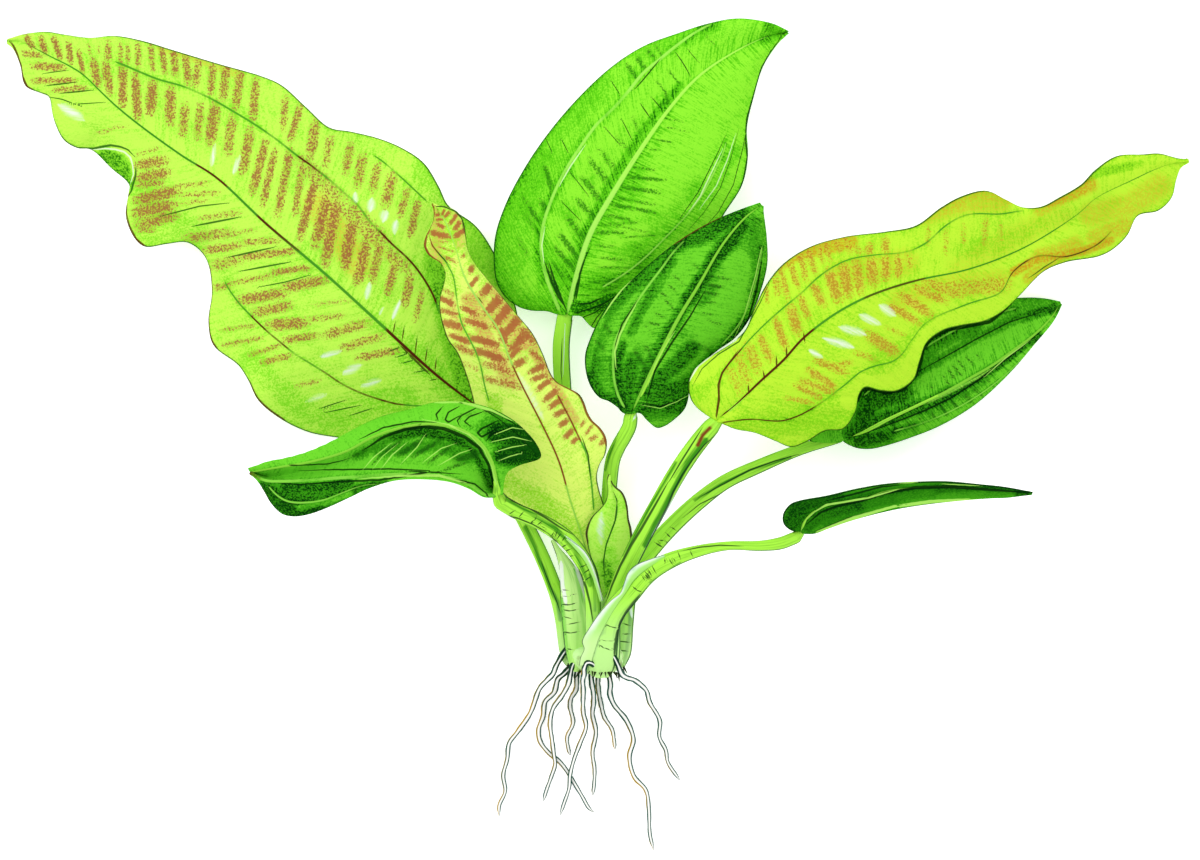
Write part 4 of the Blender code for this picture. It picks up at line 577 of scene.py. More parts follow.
FOLDED_TOUCHES = {
    "shade": [(4, 1.2, -82, -2, -72, 0, -60, -2, -51, -6, -46, -14, -43, -22),
        (4, 0.7, -96, -9, -88, -4, -80, -2), (4, 0.7, -88, -8, -76, -7, -64, -6, -52, -11),
        (4, 0.5, -120, -11, -102, -8, -88, -1), (7, 1.6, -41, -1, -34, -2, -28, -6),
        (6, 1.5, -39, -10, -31, -10, -26, -9), (4, 1.3, -135, -23, -130, -29, -122, -33, -112, -31),
        (3, 1.2, -126, -23, -112, -23, -100, -21), (3, 1, -108, -28, -96, -23, -86, -21),
        (6, 1, -132, -25, -120, -28, -104, -26), (9, 0.25, -124, -9, -106, -1, -92, 4, -76, 8, -60, 7),
        (6, 0.5, -60, 6, -48, 4, -40, -1), (5, 0.8, -41, 5, -32, 1, -26, -6, -28, -12)],
    "light": [(8, 0.9, -120, -13, -102, -4, -84, 4, -68, 8, -52, 7),
        (4, 0.9, -124, -17, -104, -16, -80, -17, -64, -18, -52, -20),
        (3, 0.7, -68, 3, -56, 0, -48, -6, -44, -14), (2, 0.8, -120, -31, -108, -28, -100, -25)],
    "stain": [(2, 1, -140, -17, -136, -21, -133, -26)],
    "ink": [(0.72, 1.2, -94, -7.6, -86, -2.4, -78, 0.4, -70, 1.6, -62, 0.8, -54, -2.4, -48, -6.8, -44, -14,
         -42, -23.2), (0.36, 1, -96, -4, -86, 0.8, -74, 3.2, -64, 2.8),
        (0.36, 1, -62.8, 8.8, -65.2, 6, -64.4, 3.8),
        (0.36, 1, -56, 9.2, -60.4, 6.8, -61.6, 4, -60.4, 2.8, -56, 5.6),
        (0.36, 1, -48.8, 8.8, -55.2, 5.6, -56.8, 3.6, -56, 1.6),
        (0.36, 1, -46.4, 7.2, -52, 5.2, -54, 3.2, -51.2, 1.2),
        (0.43, 1, -40.8, 3.6, -47.2, 0.4, -48.8, -1.2, -47.2, -2.8, -40, 1.2),
        (0.43, 1, -35.2, 0.8, -43.2, -1.6, -45.2, -4), (0.36, 0.8, -46, 8, -38, 4.8, -32, 0.8),
        (0.43, 1, -130, -20.8, -120, -21.6, -104, -20.4, -88, -19.6, -68, -16.8, -56, -17.6),
        (0.36, 1, -120, -16, -104, -16, -84, -15.6, -64, -16.4),
        (0.36, 0.8, -124, -14, -108, -13.2, -100, -11.2), (0.36, 1, -60, -19.2, -50, -21.6, -44, -26.8),
        (0.22, 1, -115.2, -1.2, -104, 4, -90, 8.4, -78, 10.8),
        (0.22, 1, -110, -2.4, -100, 2, -91.2, 6, -80, 9.2, -68, 11.2, -58, 11.2, -48, 8.8, -40, 4, -32,
         -2.8, -25.2, -10)],
    "pale": [(0.24, 1, -94, -15.6, -90, -10.8, -83.2, -5.2),
        (0.24, 1, -86.8, -15.2, -82.8, -10, -76.8, -4.8),
        (0.24, 0.9, -79.2, -13.6, -72.8, -6.8, -69.6, -1.6),
        (0.24, 0.9, -70.4, -12.8, -63.2, -7.2, -57.6, -5.2), (0.24, 1, -64, -14, -56, -9.2, -51.2, -7.6),
        (0.22, 0.7, -90, -15.2, -86.4, -10.4, -80.8, -5.6),
        (0.38, 1, -96, -19.2, -80, -18, -64, -18, -54, -20.8),
        (0.22, 1, -43.6, -4.8, -34.8, -2.8, -28, -4.4), (0.22, 1, -41.2, -8.4, -35.2, -6.8, -30, -6),
        (0.22, 0.9, -40, -12, -36, -10.4, -31.6, -9.2), (0.22, 0.9, -41.6, -1.6, -35.2, 0.8, -30.4, 0),
        (0.22, 0.9, -72.8, 10, -64, 11.4, -52, 10.8),
        (0.27, 0.9, -70.4, 4, -60, 2, -52, -1.6, -46, -7.6, -42.8, -14.4, -41.2, -21.6),
        (0.65, 1, -83.2, 8.8, -68, 11, -55.2, 11, -43.2, 7.6, -35.2, 3.6)],
}
NARROW_TOUCHES = {
    "shade": [(4, 1.2, 76, -36, 78, -31, 86, -29, 96, -27), (4, 1, 92, -33, 104, -30, 120, -26, 136, -24),
        (3, 0.9, 83, -39, 90, -34, 100, -31), (2.5, 1, 112, -26, 128, -23, 144, -22, 160, -24, 170, -25),
        (6, 1, 77, -37, 80, -33, 100, -29, 120, -26), (4, 0.9, 120, -26, 144, -24, 166, -24),
        (2.5, 0.6, 90, -37, 100, -33, 112, -30, 124, -28),
        (5, 0.9, 80, -36, 86, -31, 100, -28, 120, -25, 144, -24, 166, -24),
        (10, 0.3, 80, -36, 120, -24, 160, -22)],
    "light": [(4, 0.5, 108, -30, 120, -28, 132, -26), (3, 0.8, 136, -27, 152, -26, 164, -26)],
    "ink": [(0.65, 1.2, 82.4, -37.6, 88, -32.8, 94, -30.4, 104, -28, 114, -24.8, 126, -22.8, 140, -22.4,
         156, -23.6, 171.2, -24.8), (0.43, 1, 90, -28, 100, -25.6, 112, -22.4, 120, -21.6),
        (0.43, 1, 86, -40.4, 100, -34.8, 114, -31.2)],
    "pale": [(0.39, 1.1, 80.8, -39.6, 82.4, -35.6, 85.6, -32.4, 90.4, -29.6, 98, -28.4, 107.2, -26.8, 120,
         -23.2), (0.3, 1, 85.2, -41.6, 92, -38.8, 100, -36, 110, -32.8, 120, -30),
        (0.35, 0.8, 120, -29.6, 132, -28, 148, -27.2), (0.26, 0.7, 100, -23.6, 112, -21.2, 126, -20.8),
        (0.26, 0.6, 136, -21.2, 152, -22),
        (0.58, 1, 86.4, -40.4, 101.2, -34.8, 117.6, -30.4, 134, -28.4, 150.8, -27.6)],
}
YOUNG_TOUCHES = {
    "shade": [(4, 0.9, 2, -54, 3, -58, 5, -63), (3, 0.4, 4, -48, 5, -53)],
    "light": [(5, 0.6, -4, -36, -2, -28, 2, -24), (3, 0.4, 9, -36, 9, -48)],
    "stain": [(3, 1, -2, -28, -6, -36, -6, -44), (3, 1, 5, -19, 12, -32, 13, -44)],
    "glow": [(1.6, 0.9, 0.8, -32.8, 0, -40, 0.4, -46)],
    "ink": [(0.43, 0.9, 4.4, -22.8, 6.8, -28, 6, -36, 2.4, -46, 1.2, -52, 1.6, -59.2)],
}

# Each blade: its node, its rails and how far each panel between two rails bows, its side veins and their
# weights panel by panel, the half-width of its midrib at base and tip, the reach forward of its cross veins
# for each step outwards (at base, middle and tip, before and after the midrib), their spacing on either
# side, how high the tissue swells between them, its bars, its touches of colour and its finish

SUBMERSED, AGEING, STRIPED, YOUNG = "submersed", "ageing", "striped", "young"
EMERSED, DARK, ARCHED, SHADED = "emersed", "dark", "arched", "shaded"
BLADES = [
    ("left_long_blade", (LEFT_LONG_LOWER, LEFT_LONG_RIB, LEFT_LONG_UPPER), (2, 2),
     (((LEFT_LONG_VEIN_BELOW, 0.7),), ((LEFT_LONG_VEIN_ABOVE, 0.8), (LEFT_LONG_VEIN_OUTER, 0.6))),
     (0.65, 0.3),
     ((0.9, 0.65, 1.4), (0.25, 0.4, 1.2)), (8.6, 7.6), 0.3, LEFT_LONG_BARS, LEFT_LONG_TOUCHES, SUBMERSED),
    ("striped_blade", (STRIPED_LEFT, STRIPED_RIB, STRIPED_RIGHT), (1.2, 1.2),
     (((STRIPED_VEIN_LEFT, 0.6),), ((STRIPED_VEIN_RIGHT, 0.7),)), (0.4, 0.3),
     ((1.1, 1.1, 1.0), (0.3, 0.4, 0.5)), (7.0, 7.0), 0.3, STRIPED_BARS, STRIPED_TOUCHES, STRIPED),
    ("folded_blade", (FOLDED_FAR, FOLDED_RIB, FOLDED_RIDGE, FOLDED_NEAR), (2, -5, 0.5),
     ((), (), ((FOLDED_VEIN_FLAP, 1),)), (0.8, 0.4),
     ((-0.5, 0.3, 0.6), (0.8, 0.8, 0.8)), (5.0, 6.5), 0.2, FOLDED_BARS, FOLDED_TOUCHES, ARCHED),
    ("top_blade", (TOP_LEFT, TOP_RIB, TOP_RIGHT), (3, 3),
     (((TOP_VEIN_LEFT, 1.2),), ((TOP_VEIN_RIGHT, 0.6),)), (1.4, 0.4),
     ((0.9, 0.9, 0.9), (0.15, 0.15, 0.3)), (3.4, 3.4), 0.2, TOP_BARS, TOP_TOUCHES, EMERSED),
    ("middle_blade", (MIDDLE_LEFT, MIDDLE_RIB, MIDDLE_RIGHT), (1.5, 1.5),
     (((MIDDLE_VEIN_LEFT, 0.9),), ((MIDDLE_VEIN_RIGHT, 0.7),)), (0.9, 0.35),
     ((-0.6, -0.6, -0.4), (0.3, 0.3, 0.4)), (3.0, 3.0), 0.2, MIDDLE_BARS, MIDDLE_TOUCHES, DARK),
    ("right_long_blade", (RIGHT_LONG_UPPER, RIGHT_LONG_RIB, RIGHT_LONG_LOWER), (1.5, 1.5),
     (((RIGHT_LONG_VEIN_ABOVE, 0.6),), ((RIGHT_LONG_VEIN_BELOW, 0.6),)), (0.5, 0.25),
     ((0.3, 0.3, 0.5), (0.7, 0.7, 0.7)), (5.6, 7.0), 0.3, RIGHT_LONG_BARS, RIGHT_LONG_TOUCHES, AGEING),
    ("broad_blade", (BROAD_UPPER, BROAD_RIB, BROAD_LOWER), (2, 1),
     (((BROAD_VEIN_ABOVE, 0.7),), ((BROAD_VEIN_BELOW, 0.7),)), (0.6, 0.4),
     ((0.3, 0.3, 0.3), (0.3, 0.3, 0.3)), (3.4, 3.4), 0.15, BROAD_BARS, BROAD_TOUCHES, DARK),
    ("narrow_blade", (NARROW_UPPER, NARROW_RIB, NARROW_LOWER), (0.5, 1),
     ((), ((NARROW_VEIN, 0.7),)), (0.5, 0.3),
     ((0.5, 0.5, 0.5), (0.5, 0.5, 0.5)), (4.0, 4.0), 0.1, [], NARROW_TOUCHES, SHADED),
    ("young_leaf", (YOUNG_LEFT, YOUNG_RIB, YOUNG_RIGHT), (1.5, 0.5),
     ((), ()), (0.3, 0.3),
     ((0.5, 0.5, 0.5), (0.5, 0.5, 0.5)), (4.0, 4.0), 0.1, [], YOUNG_TOUCHES, YOUNG),
]

# Stalks, as (x, y, height, width, depth) from inside the crown to the blade

LEFT_LONG_STALK = [
    (-9.5, -95, 12, 3, 3), (-12.4, -92, 7.6, 5.2, 4.6), (-13.6, -88.2, 5.4, 5.6, 5),
    (-15.2, -76, 5.2, 5.8, 5), (-17.2, -66.8, 5, 6, 5), (-22.8, -52, 5, 6, 5), (-30, -37.2, 5.4, 5.8, 5),
    (-38, -22, 6, 5.6, 5), (-43.6, -6, 6.6, 5.4, 4.8), (-45.4, 2.8, 7.2, 5.4, 4.8),
]
STRIPED_STALK = [
    (-0.8, -94, 15, 3.6, 2.6), (-0.8, -91.5, 15, 4.8, 3), (-0.8, -88.2, 15, 5, 3), (-0.8, -78, 15, 5, 3),
    (-0.8, -69, 15, 4.6, 2.6),
]
FOLDED_STALK = [
    (-2.6, -96, 19, 3.6, 3.6), (-2.8, -92.5, 22, 5.6, 5.2), (-2.8, -88.2, 23.5, 6, 5.6),
    (-2.8, -78, 23.5, 6, 5.6), (-2.9, -68, 24, 6.2, 5.6), (-4.2, -58, 26.5, 6.8, 6),
    (-8, -50.4, 29.5, 7, 6), (-14, -43.2, 33, 7, 6), (-23.6, -36.8, 38, 6.6, 5.8),
    (-33, -32.6, 42.5, 6.4, 5.6), (-39.6, -28.8, 46, 6.2, 5.4),
]
TOP_STALK = [
    (-0.8, -95, 11, 4, 4), (-0.8, -92, 7, 5.8, 5), (-0.8, -88.2, 5, 6, 5), (-0.8, -70, 4.6, 6.2, 5),
    (-3.4, -52, 4.6, 6.4, 5), (-8, -28, 5.6, 6.6, 5), (-12.8, -4, 7, 6.8, 5), (-15, 17.6, 8.5, 6.8, 5),
    (-15.6, 34, 11.6, 6.8, 5), (-14.2, 45, 14, 6.4, 4.6),
]
MIDDLE_STALK = [
    (1.4, -95, 13, 4, 3.6), (1.6, -92, 11.5, 5.2, 4.2), (1.6, -88.2, 11, 5.6, 4.4),
    (1.6, -70, 10.6, 5.6, 4.4), (2.4, -52, 10.6, 5.8, 4.6), (3.2, -36, 12, 6, 5), (3.8, -22, 14, 6, 5),
    (5.2, -11.6, 18, 6, 5), (7.2, -6.8, 20, 6, 5), (9.6, -2.6, 22.4, 6, 4.8), (11.6, 1.4, 24.4, 5.8, 4.6),
    (12.2, 5, 25.8, 5.6, 4.4),
]
RIGHT_LONG_STALK = [
    (4, -96, 18, 3.6, 3.6), (4.6, -92.5, 21.5, 5.8, 5), (4.8, -88.2, 22.5, 6.4, 5.4),
    (4.8, -80, 22.5, 6.4, 5.4), (5, -70, 23, 6.6, 5.6), (7.6, -62, 24, 7, 5.8), (12, -52, 25.6, 7.4, 6),
    (18, -40, 28.6, 7.6, 6), (24, -29.2, 31.6, 7.8, 6), (30, -18.4, 34, 7.6, 6), (36, -9.2, 36, 7.4, 5.8),
    (41.2, -2.4, 37.2, 7.2, 5.6), (44.4, 1.4, 37.6, 6.8, 5.2),
]
BROAD_STALK = [
    (9.2, -94.6, 12, 1.6, 2), (9.2, -91.4, 9.4, 5, 4.2), (9.4, -88.2, 8, 6.4, 5), (9.4, -78, 7.6, 7.8, 5),
    (10.8, -66, 7.6, 7.6, 5), (14, -56, 8, 7.2, 5), (20.8, -47.2, 9, 7, 5), (28.8, -38.4, 9.8, 6.8, 5),
    (39.2, -28.8, 10.6, 6.6, 5), (50, -20.8, 11.6, 6, 4.8), (62.8, -14.8, 12.6, 5.6, 4.4),
    (80, -7.8, 13.6, 4.6, 3.8), (94.6, -3.4, 14.6, 4.2, 3),
]
NARROW_STALK = [
    (0.4, -97.4, 24, 8.6, 4.6), (0.4, -94.5, 27.5, 10.6, 5.4), (0.5, -91.2, 29.4, 12, 5.4),
    (0.6, -88.2, 30, 12.4, 5.4), (1.2, -84, 30, 12, 5.4), (2.6, -78, 30.5, 10.6, 5.6),
    (6, -72, 31, 9.2, 5.8), (12, -65, 31.6, 8.4, 5.8), (18.8, -57.6, 32.2, 7.6, 5.8),
    (27.2, -52.4, 32.6, 6.6, 5.4), (38.8, -48.4, 32.6, 4.8, 4.6), (51.2, -46.2, 32.4, 3.6, 4),
    (64, -46.2, 31.6, 4.2, 4.2), (72, -45.2, 30.2, 5, 4.6), (78.2, -42.9, 28.6, 5, 4.4),
]
YOUNG_STALK = [
    (1.6, -94, 17, 3, 2.4), (2, -91.5, 18, 4, 2.4), (2, -88.2, 18.2, 4.4, 2.4), (2, -78, 18.2, 4.4, 2.4),
    (1.7, -68.2, 18, 4, 2),
]
OUTER_SHEATH = [
    (-9.2, -96.4, 17.5, 4, 3), (-9.2, -94, 18, 6.4, 4), (-9.2, -90, 17, 8.8, 4.4),
    (-9.2, -84, 14.5, 11, 4.4), (-9.3, -76, 13.5, 12.2, 4.4), (-10.4, -68, 13.4, 11.2, 4.2),
    (-11.7, -60, 14.4, 9, 3.6), (-13, -56, 15, 6.8, 3), (-14.8, -52, 16, 4.6, 2.6), (-17, -48, 17, 2.6, 2),
    (-19.2, -44, 17.4, 1.4, 1.4),
]

# Each stalk: its node, its route, the rail that it runs on into as the midrib, how much of that rail it
# follows and its last width there

STALKS = [
    ("left_long_stalk", LEFT_LONG_STALK, LEFT_LONG_RIB, 0.12, 1.2),
    ("striped_stalk", STRIPED_STALK, STRIPED_RIB, 0.10, 1.2),
    ("folded_stalk", FOLDED_STALK, FOLDED_RIB, 0.06, 2.0),
    ("top_stalk", TOP_STALK, TOP_RIB, 0.45, 1.6),
    ("middle_stalk", MIDDLE_STALK, MIDDLE_RIB, 0.35, 1.4),
    ("right_long_stalk", RIGHT_LONG_STALK, RIGHT_LONG_RIB, 0.08, 1.2),
    ("broad_stalk", BROAD_STALK, BROAD_RIB, 0.40, 1.0),
    ("narrow_stalk", NARROW_STALK, NARROW_RIB, 0.12, 1.2),
    ("young_stalk", YOUNG_STALK, YOUNG_RIB, 0.10, 1.2),
    ("outer_sheath", OUTER_SHEATH, None, 0.0, 0.0),
]

# Streaks, pale strips, cross walls, painted shade and painted light that show along the stalks, as touches

STALK_TOUCHES = {
    "outer_sheath": {
        "shade": [(2, 0.9, -16, -68, -15, -78, -14, -86, -13, -92),
            (1.2, 0.6, -10, -56, -8, -66, -7, -74, -6, -82)],
        "ink": [(0.35, 1, -19.6, -44, -17.8, -49.2, -16.6, -54.8, -16.1, -62, -15.9, -68, -15.7, -76),
            (0.45, 1, -15.8, -72, -15.2, -78, -14.4, -86, -13.2, -92, -12.6, -95.2),
            (0.22, 1, -15.2, -64, -13, -64.1), (0.22, 0.6, -14.8, -66.5, -13, -66.6),
            (0.24, 1, -11.2, -65.9, -10, -65.7), (0.34, 1, -15.2, -69.8, -12, -70),
            (0.28, 1, -12, -69.9, -9.8, -69.3), (0.3, 1, -14.6, -72, -11.6, -72.5),
            (0.24, 1, -12, -72.5, -9.2, -71.8), (0.26, 0.8, -14.4, -74.8, -11.6, -75.4),
            (0.24, 1, -12.8, -77.8, -8.4, -76.9), (0.3, 1, -14.6, -80.8, -11.6, -81.3),
            (0.24, 1, -12, -81.3, -8.6, -80.7), (0.26, 1, -13.2, -87.6, -11.2, -87.8)],
        "pale": [(1.2, 0.8, -10.4, -52.8, -6.8, -62.8, -4.6, -70.4, -3.6, -76.8),
            (1.7, 1, -15.6, -52.8, -15, -62, -13.6, -69.6)],
    },
    "folded_stalk": {
        "shade": [(1.2, 0.6, -4, -58, -2, -64, -2, -72),
            (1.4, 0.7, -38, -27, -28, -33, -18, -39, -10, -48, -4, -62), (2, 0.5, -46, -19, -42, -24)],
        "ink": [(0.55, 1, -20.8, -41.2, -17.6, -44.4, -15.2, -47.2, -11.2, -52.4, -8, -57.2, -5.6, -62.8,
             -4, -69.2, -2.8, -76.8),
            (0.35, 1, -48.8, -21.6, -46.4, -25.6, -44.8, -29.2, -41.2, -32.4, -37.2, -34.2, -32.8, -35.2,
             -26.8, -37.6, -20.8, -41.2),
            (0.5, 1, -40, -20, -38.4, -24.8, -35.2, -28, -28, -31.2, -22, -34.8, -16, -38.8, -11.2, -41.6),
            (0.35, 1, -4, -50.4, -1.6, -56, 0, -62.4, 1.2, -68), (0.24, 1, -19.4, -42.4, -18.4, -40.8),
            (0.24, 1, -18, -42.8, -17, -40.2), (0.24, 1, -17.2, -43.6, -15.6, -41.2),
            (0.24, 1, -15.2, -44.4, -13.8, -42.4), (0.28, 1, -15.6, -47, -13.4, -45.8),
            (0.28, 1, -14, -48.4, -11.8, -47.6), (0.26, 1, -12.8, -50.6, -10.8, -50.2),
            (0.26, 1, -8, -54.8, -5.6, -54), (0.26, 1, -6, -54.2, -3.6, -51.8),
            (0.26, 1, -6.4, -57.1, -3.8, -55.4), (0.26, 1, -6, -60.1, -3.8, -58.6),
            (0.22, 1, -36.2, -33.6, -34.2, -32.2), (0.24, 1, -32.2, -34.6, -30.6, -32.7),
            (0.24, 1, -27.8, -37.1, -26.4, -36), (0.24, 1, -26.2, -36.2, -25.4, -34.7),
            (0.26, 1, -24.8, -37.8, -23.3, -36.5), (0.24, 0.6, -23.4, -38.4, -21.8, -39.2)],
        "pale": [(0.5, 1, -13.6, -42.4, -8.4, -46.8, -4.8, -51.6)],
    },
    "left_long_stalk": {
        "shade": [(1.3, 0.9, -30, -39, -26, -47, -24, -53, -22, -57, -20, -63, -17, -69, -16, -76)],
        "light": [(1.6, 1, -25, -42, -21, -51, -18, -60)],
        "ink": [(0.3, 1, -23.6, -52, -22, -57.2, -19.6, -63.2, -17.2, -69.2, -16, -72.8)],
    },
    "broad_stalk": {
        "shade": [(1, 0.7, 38, -28, 48, -22, 60, -16, 76, -11),
            (1.2, 1, 12, -73, 12, -80, 11, -86, 10, -93)],
        "ink": [(0.35, 1, 40, -26.8, 48, -22.4, 60, -16, 70, -12.4, 80, -9.6),
            (0.25, 1, 33.6, -34.8, 40, -29.6, 50, -24.8, 62, -19.6), (0.32, 1, 22.2, -45.2, 25, -46.9),
            (0.28, 1, 24, -44.2, 25.6, -44.2), (0.3, 1, 26.6, -41.5, 28.2, -42.9),
            (0.24, 1, 28.6, -39, 30.2, -39.9), (0.24, 1, 26.4, -44.7, 27.4, -45.4),
            (0.28, 1, 9.6, -77.6, 11.6, -78.2), (0.26, 1, 9.6, -81.8, 11.6, -81.6),
            (0.28, 1, 7.8, -84.6, 11.6, -85), (0.28, 1, 7.8, -88.3, 10.8, -88.5)],
        "pale": [(0.6, 1, 12, -69.6, 12.8, -75.2)],
    },
    "narrow_stalk": {
        "shade": [(1.4, 1, 5, -70, 2, -75, 0, -82, -2, -87, -3, -90),
            (0.7, 0.6, 20, -61, 26, -57, 32, -53)],
        "light": [(3, 1, 2, -84, 2, -94)],
        "ink": [(0.8, 1, 16, -65.6, 13.2, -69.2, 10.6, -72.8, 8.4, -76.8, 7, -81.2, 6, -86, 5.6, -90.4),
            (0.3, 1, 33.2, -48.2, 40, -46.8, 48, -46, 56.8, -46.4),
            (0.35, 0.8, 3.6, -72.8, 0.8, -79.2, -1.2, -84, -2.4, -88.8), (0.24, 1, 31.2, -49, 32.1, -51.2),
            (0.22, 1, 36, -48.4, 37, -50.4), (0.22, 1, 29.4, -51.4, 30.1, -52.5),
            (0.24, 1, 27.6, -51.6, 29.1, -53.8), (0.32, 1, 25.8, -51.6, 26, -52.8),
            (0.24, 1, 20.8, -54.4, 22.2, -56.9), (0.24, 1, 19.2, -55.6, 20.6, -58.2),
            (0.24, 1, 17.8, -56.3, 20.2, -59.4), (0.22, 1, 18, -57.8, 19.4, -59.7),
            (0.22, 1, 16.8, -58.4, 17.8, -59.8), (0.3, 1, 13.2, -62.8, 14.8, -63.8),
            (0.26, 1, 14.6, -64, 16.6, -64.6), (0.24, 1, 2.2, -77.6, 4.4, -78.6),
            (0.24, 1, 4.4, -78.6, 6.8, -79.1), (0.22, 0.6, 1, -84, 2.8, -84.3),
            (0.28, 1, 0, -86, 1.6, -87), (0.24, 1, 1.6, -87, 4.2, -87.8),
            (0.22, 0.5, 3.2, -84.2, 5.2, -84.3)],
    },
    "right_long_stalk": {
        "shade": [(1.6, 1, 42, -4, 35, -13, 29, -24, 23, -36, 18, -46),
            (1, 0.7, 30, -13, 25, -22, 19, -32, 14, -41, 9, -50)],
        "light": [(1, 0.9, 29, -20, 22, -33, 16, -44)],
        "stain": [(1.2, 0.9, 39, -6, 41, -2, 44, 1)],
        "ink": [(0.6, 1, 27.2, -20.8, 22, -30, 16.4, -39.6, 12.4, -46, 8, -54.4, 4.8, -62, 2.4, -68.8),
            (0.35, 1, 40.8, 0.8, 36, -6.8, 32, -13.2, 27.2, -21.2),
            (0.45, 1, 46.4, -1.6, 41.6, -6, 36.8, -12, 32.8, -18, 29.2, -24.8, 27.2, -30, 23.2, -38, 19.6,
             -45.2, 16.4, -51.2, 14.8, -54.4)],
        "pale": [(0.5, 0.9, 36, -16, 30.4, -26, 25.6, -34, 20.8, -42)],
    },
    "top_stalk": {
        "light": [(6, 2.5, -14, 43, -15, 32, -15, 18)],
        "ink": [(0.25, 0.9, -15.2, 36, -15.6, 24, -15.2, 18.4)],
        "pale": [(0.3, 0.6, -14, 42, -14.4, 32, -14.8, 22)],
    },
    "middle_stalk": {
        "shade": [(1, 0.6, 7, -1, 4, -9, 2, -16)],
        "ink": [(0.35, 1, 13.6, 8.8, 12, 4.8)],
        "pale": [(0.5, 0.9, 15.2, 7.2, 13.2, 4)],
    },
}

# Roots, as (x, y, height) from inside the crown to the tip

ROOTS = [
    [(-12.5, -87, 13), (-14.4, -89.2, 12), (-17.6, -94.6, 10), (-18.8, -97.6, 8.5), (-21.2, -100.2, 6.5),
     (-24.2, -103.6, 4.5), (-28, -113.6, 1.6), (-33.2, -121.2, 1.2), (-36.4, -125.6, 1.1),
     (-37.2, -132, 1), (-38.8, -138.4, 0.9), (-38, -144.8, 0.8), (-40.4, -150.6, 0.8),
     (-40.4, -154.8, 0.8)],
    [(-9.8, -92.4, 16.5), (-10.9, -94.2, 19), (-11.7, -97.2, 16), (-12.8, -102, 11), (-15.2, -106.4, 8),
     (-18.8, -111.6, 5), (-20, -117.4, 3.2), (-19.2, -124.4, 3.4), (-18.4, -130.6, 3.6), (-18, -134, 2.6),
     (-19.6, -139.2, 1), (-21.6, -144.8, 0.8), (-22.8, -149, 0.8)],
    [(-10.5, -93.6, 12), (-14.6, -97.8, 9), (-16.8, -99.8, 7), (-18.4, -105.2, 4), (-22, -109, 2),
     (-22.8, -114.8, 1.2), (-24.6, -120, 1), (-24, -124.8, 1), (-20.4, -129.6, 1), (-16.4, -132.8, 1),
     (-14, -135.6, 1), (-12, -138.8, 1), (-7.2, -146.8, 0.9), (-4.4, -151.6, 0.8), (-2.4, -153.2, 0.8)],
    [(-7.4, -93, 9.6), (-9.2, -97, 5), (-9.6, -104, 3.2), (-11.6, -107.6, 2.2), (-12, -110.8, 1.6),
     (-10.8, -117.4, 1.2), (-13.2, -123.2, 1), (-12.8, -127.2, 0.8), (-12, -130.4, 0.8)],
    [(-2.6, -95, 26), (-3, -93.4, 30), (-4.8, -92.9, 31), (-6.1, -94.8, 28.4), (-6.4, -97.6, 23.4),
     (-6.9, -100.4, 18), (-6.7, -104, 14), (-6.7, -113.2, 6), (-5.6, -119, 3.4), (-8, -125.6, 2.8),
     (-10.4, -132, 3.2), (-12, -138.4, 3.6), (-12.4, -143.6, 1.8), (-14.4, -149.6, 0.8),
     (-16, -154.4, 0.8)],
    [(-3, -93, 16), (-3.6, -97.2, 13), (-3.2, -102, 9.5), (-2.6, -105.6, 7.4), (-2.6, -109.6, 5),
     (-3, -114, 2), (-1.6, -121.2, 1.2), (-3, -129.2, 1), (-2.2, -136, 0.9), (-2.4, -142.4, 0.8),
     (-3, -146.6, 0.8)],
    [(-0.6, -93, 10), (-0.6, -97, 5), (-0.8, -102, 3), (-0.4, -105.6, 2.2), (0.6, -110.8, 1.4),
     (1.8, -115.2, 1.2), (4.8, -120, 1), (5.6, -124, 0.8), (6, -128, 0.8)],
    [(2.4, -93, 17), (3.4, -97.2, 14), (4.2, -102, 10), (4, -105.6, 7.5), (5.6, -110, 5),
     (10.6, -116.4, 1.8), (13.4, -124, 1.2), (11.8, -130.8, 1.1), (13.6, -138.8, 1), (18.4, -144.4, 1),
     (19.6, -152.2, 0.9), (20, -162, 0.8), (21.5, -168.4, 0.8)],
    [(4.4, -89.4, 27), (5.6, -90.8, 30), (7.2, -94, 28), (8.6, -97.4, 23.6), (10.6, -99, 20),
     (13.6, -100, 17), (16.4, -102, 13.5), (18.6, -104.4, 10.5), (20, -109.2, 6), (24, -116.6, 1.8),
     (23.8, -123, 1.2), (26.4, -128.4, 1), (27.2, -133.2, 0.9), (32, -140.4, 0.8)],
]
ROOT_WIDTH = 2.5
ROOT_END_WIDTH = 1.5

# Crown rings, as (y, half width, half height) round CROWN_CENTRE

CROWN_CENTRE = (-1.0, 15.5)
CROWN_RINGS = [
    (-86.5, 4, 4), (-87, 7, 6.6), (-88.4, 9.4, 8.4), (-91, 10, 9.2), (-94, 9.4, 8.4), (-96.6, 7, 6),
    (-97.6, 4, 3.4),
]

# Where the dead fibres hang from the crown: all round its base, and closer under the front stalk

FRINGE_LINES = [
    (15, [(-12.4, -93.4, 14), (-9.2, -96, 18), (-5.6, -96.6, 21), (4.8, -97, 24), (8.8, -95.6, 16),
          (9, -94.4, 10), (3, -94.4, 6.6), (-4, -94.4, 6.6), (-10, -93.6, 9)]),
    (10, [(-4.2, -96.2, 27.4), (-1.6, -96.6, 28.4), (1.4, -96.8, 28.6), (4.6, -96.6, 27.6),
          (7.4, -97, 25)]),
]

# Papery membranes that edge the stalks' bases, as two rails of (x, y, height): where each grows and its
# free edge

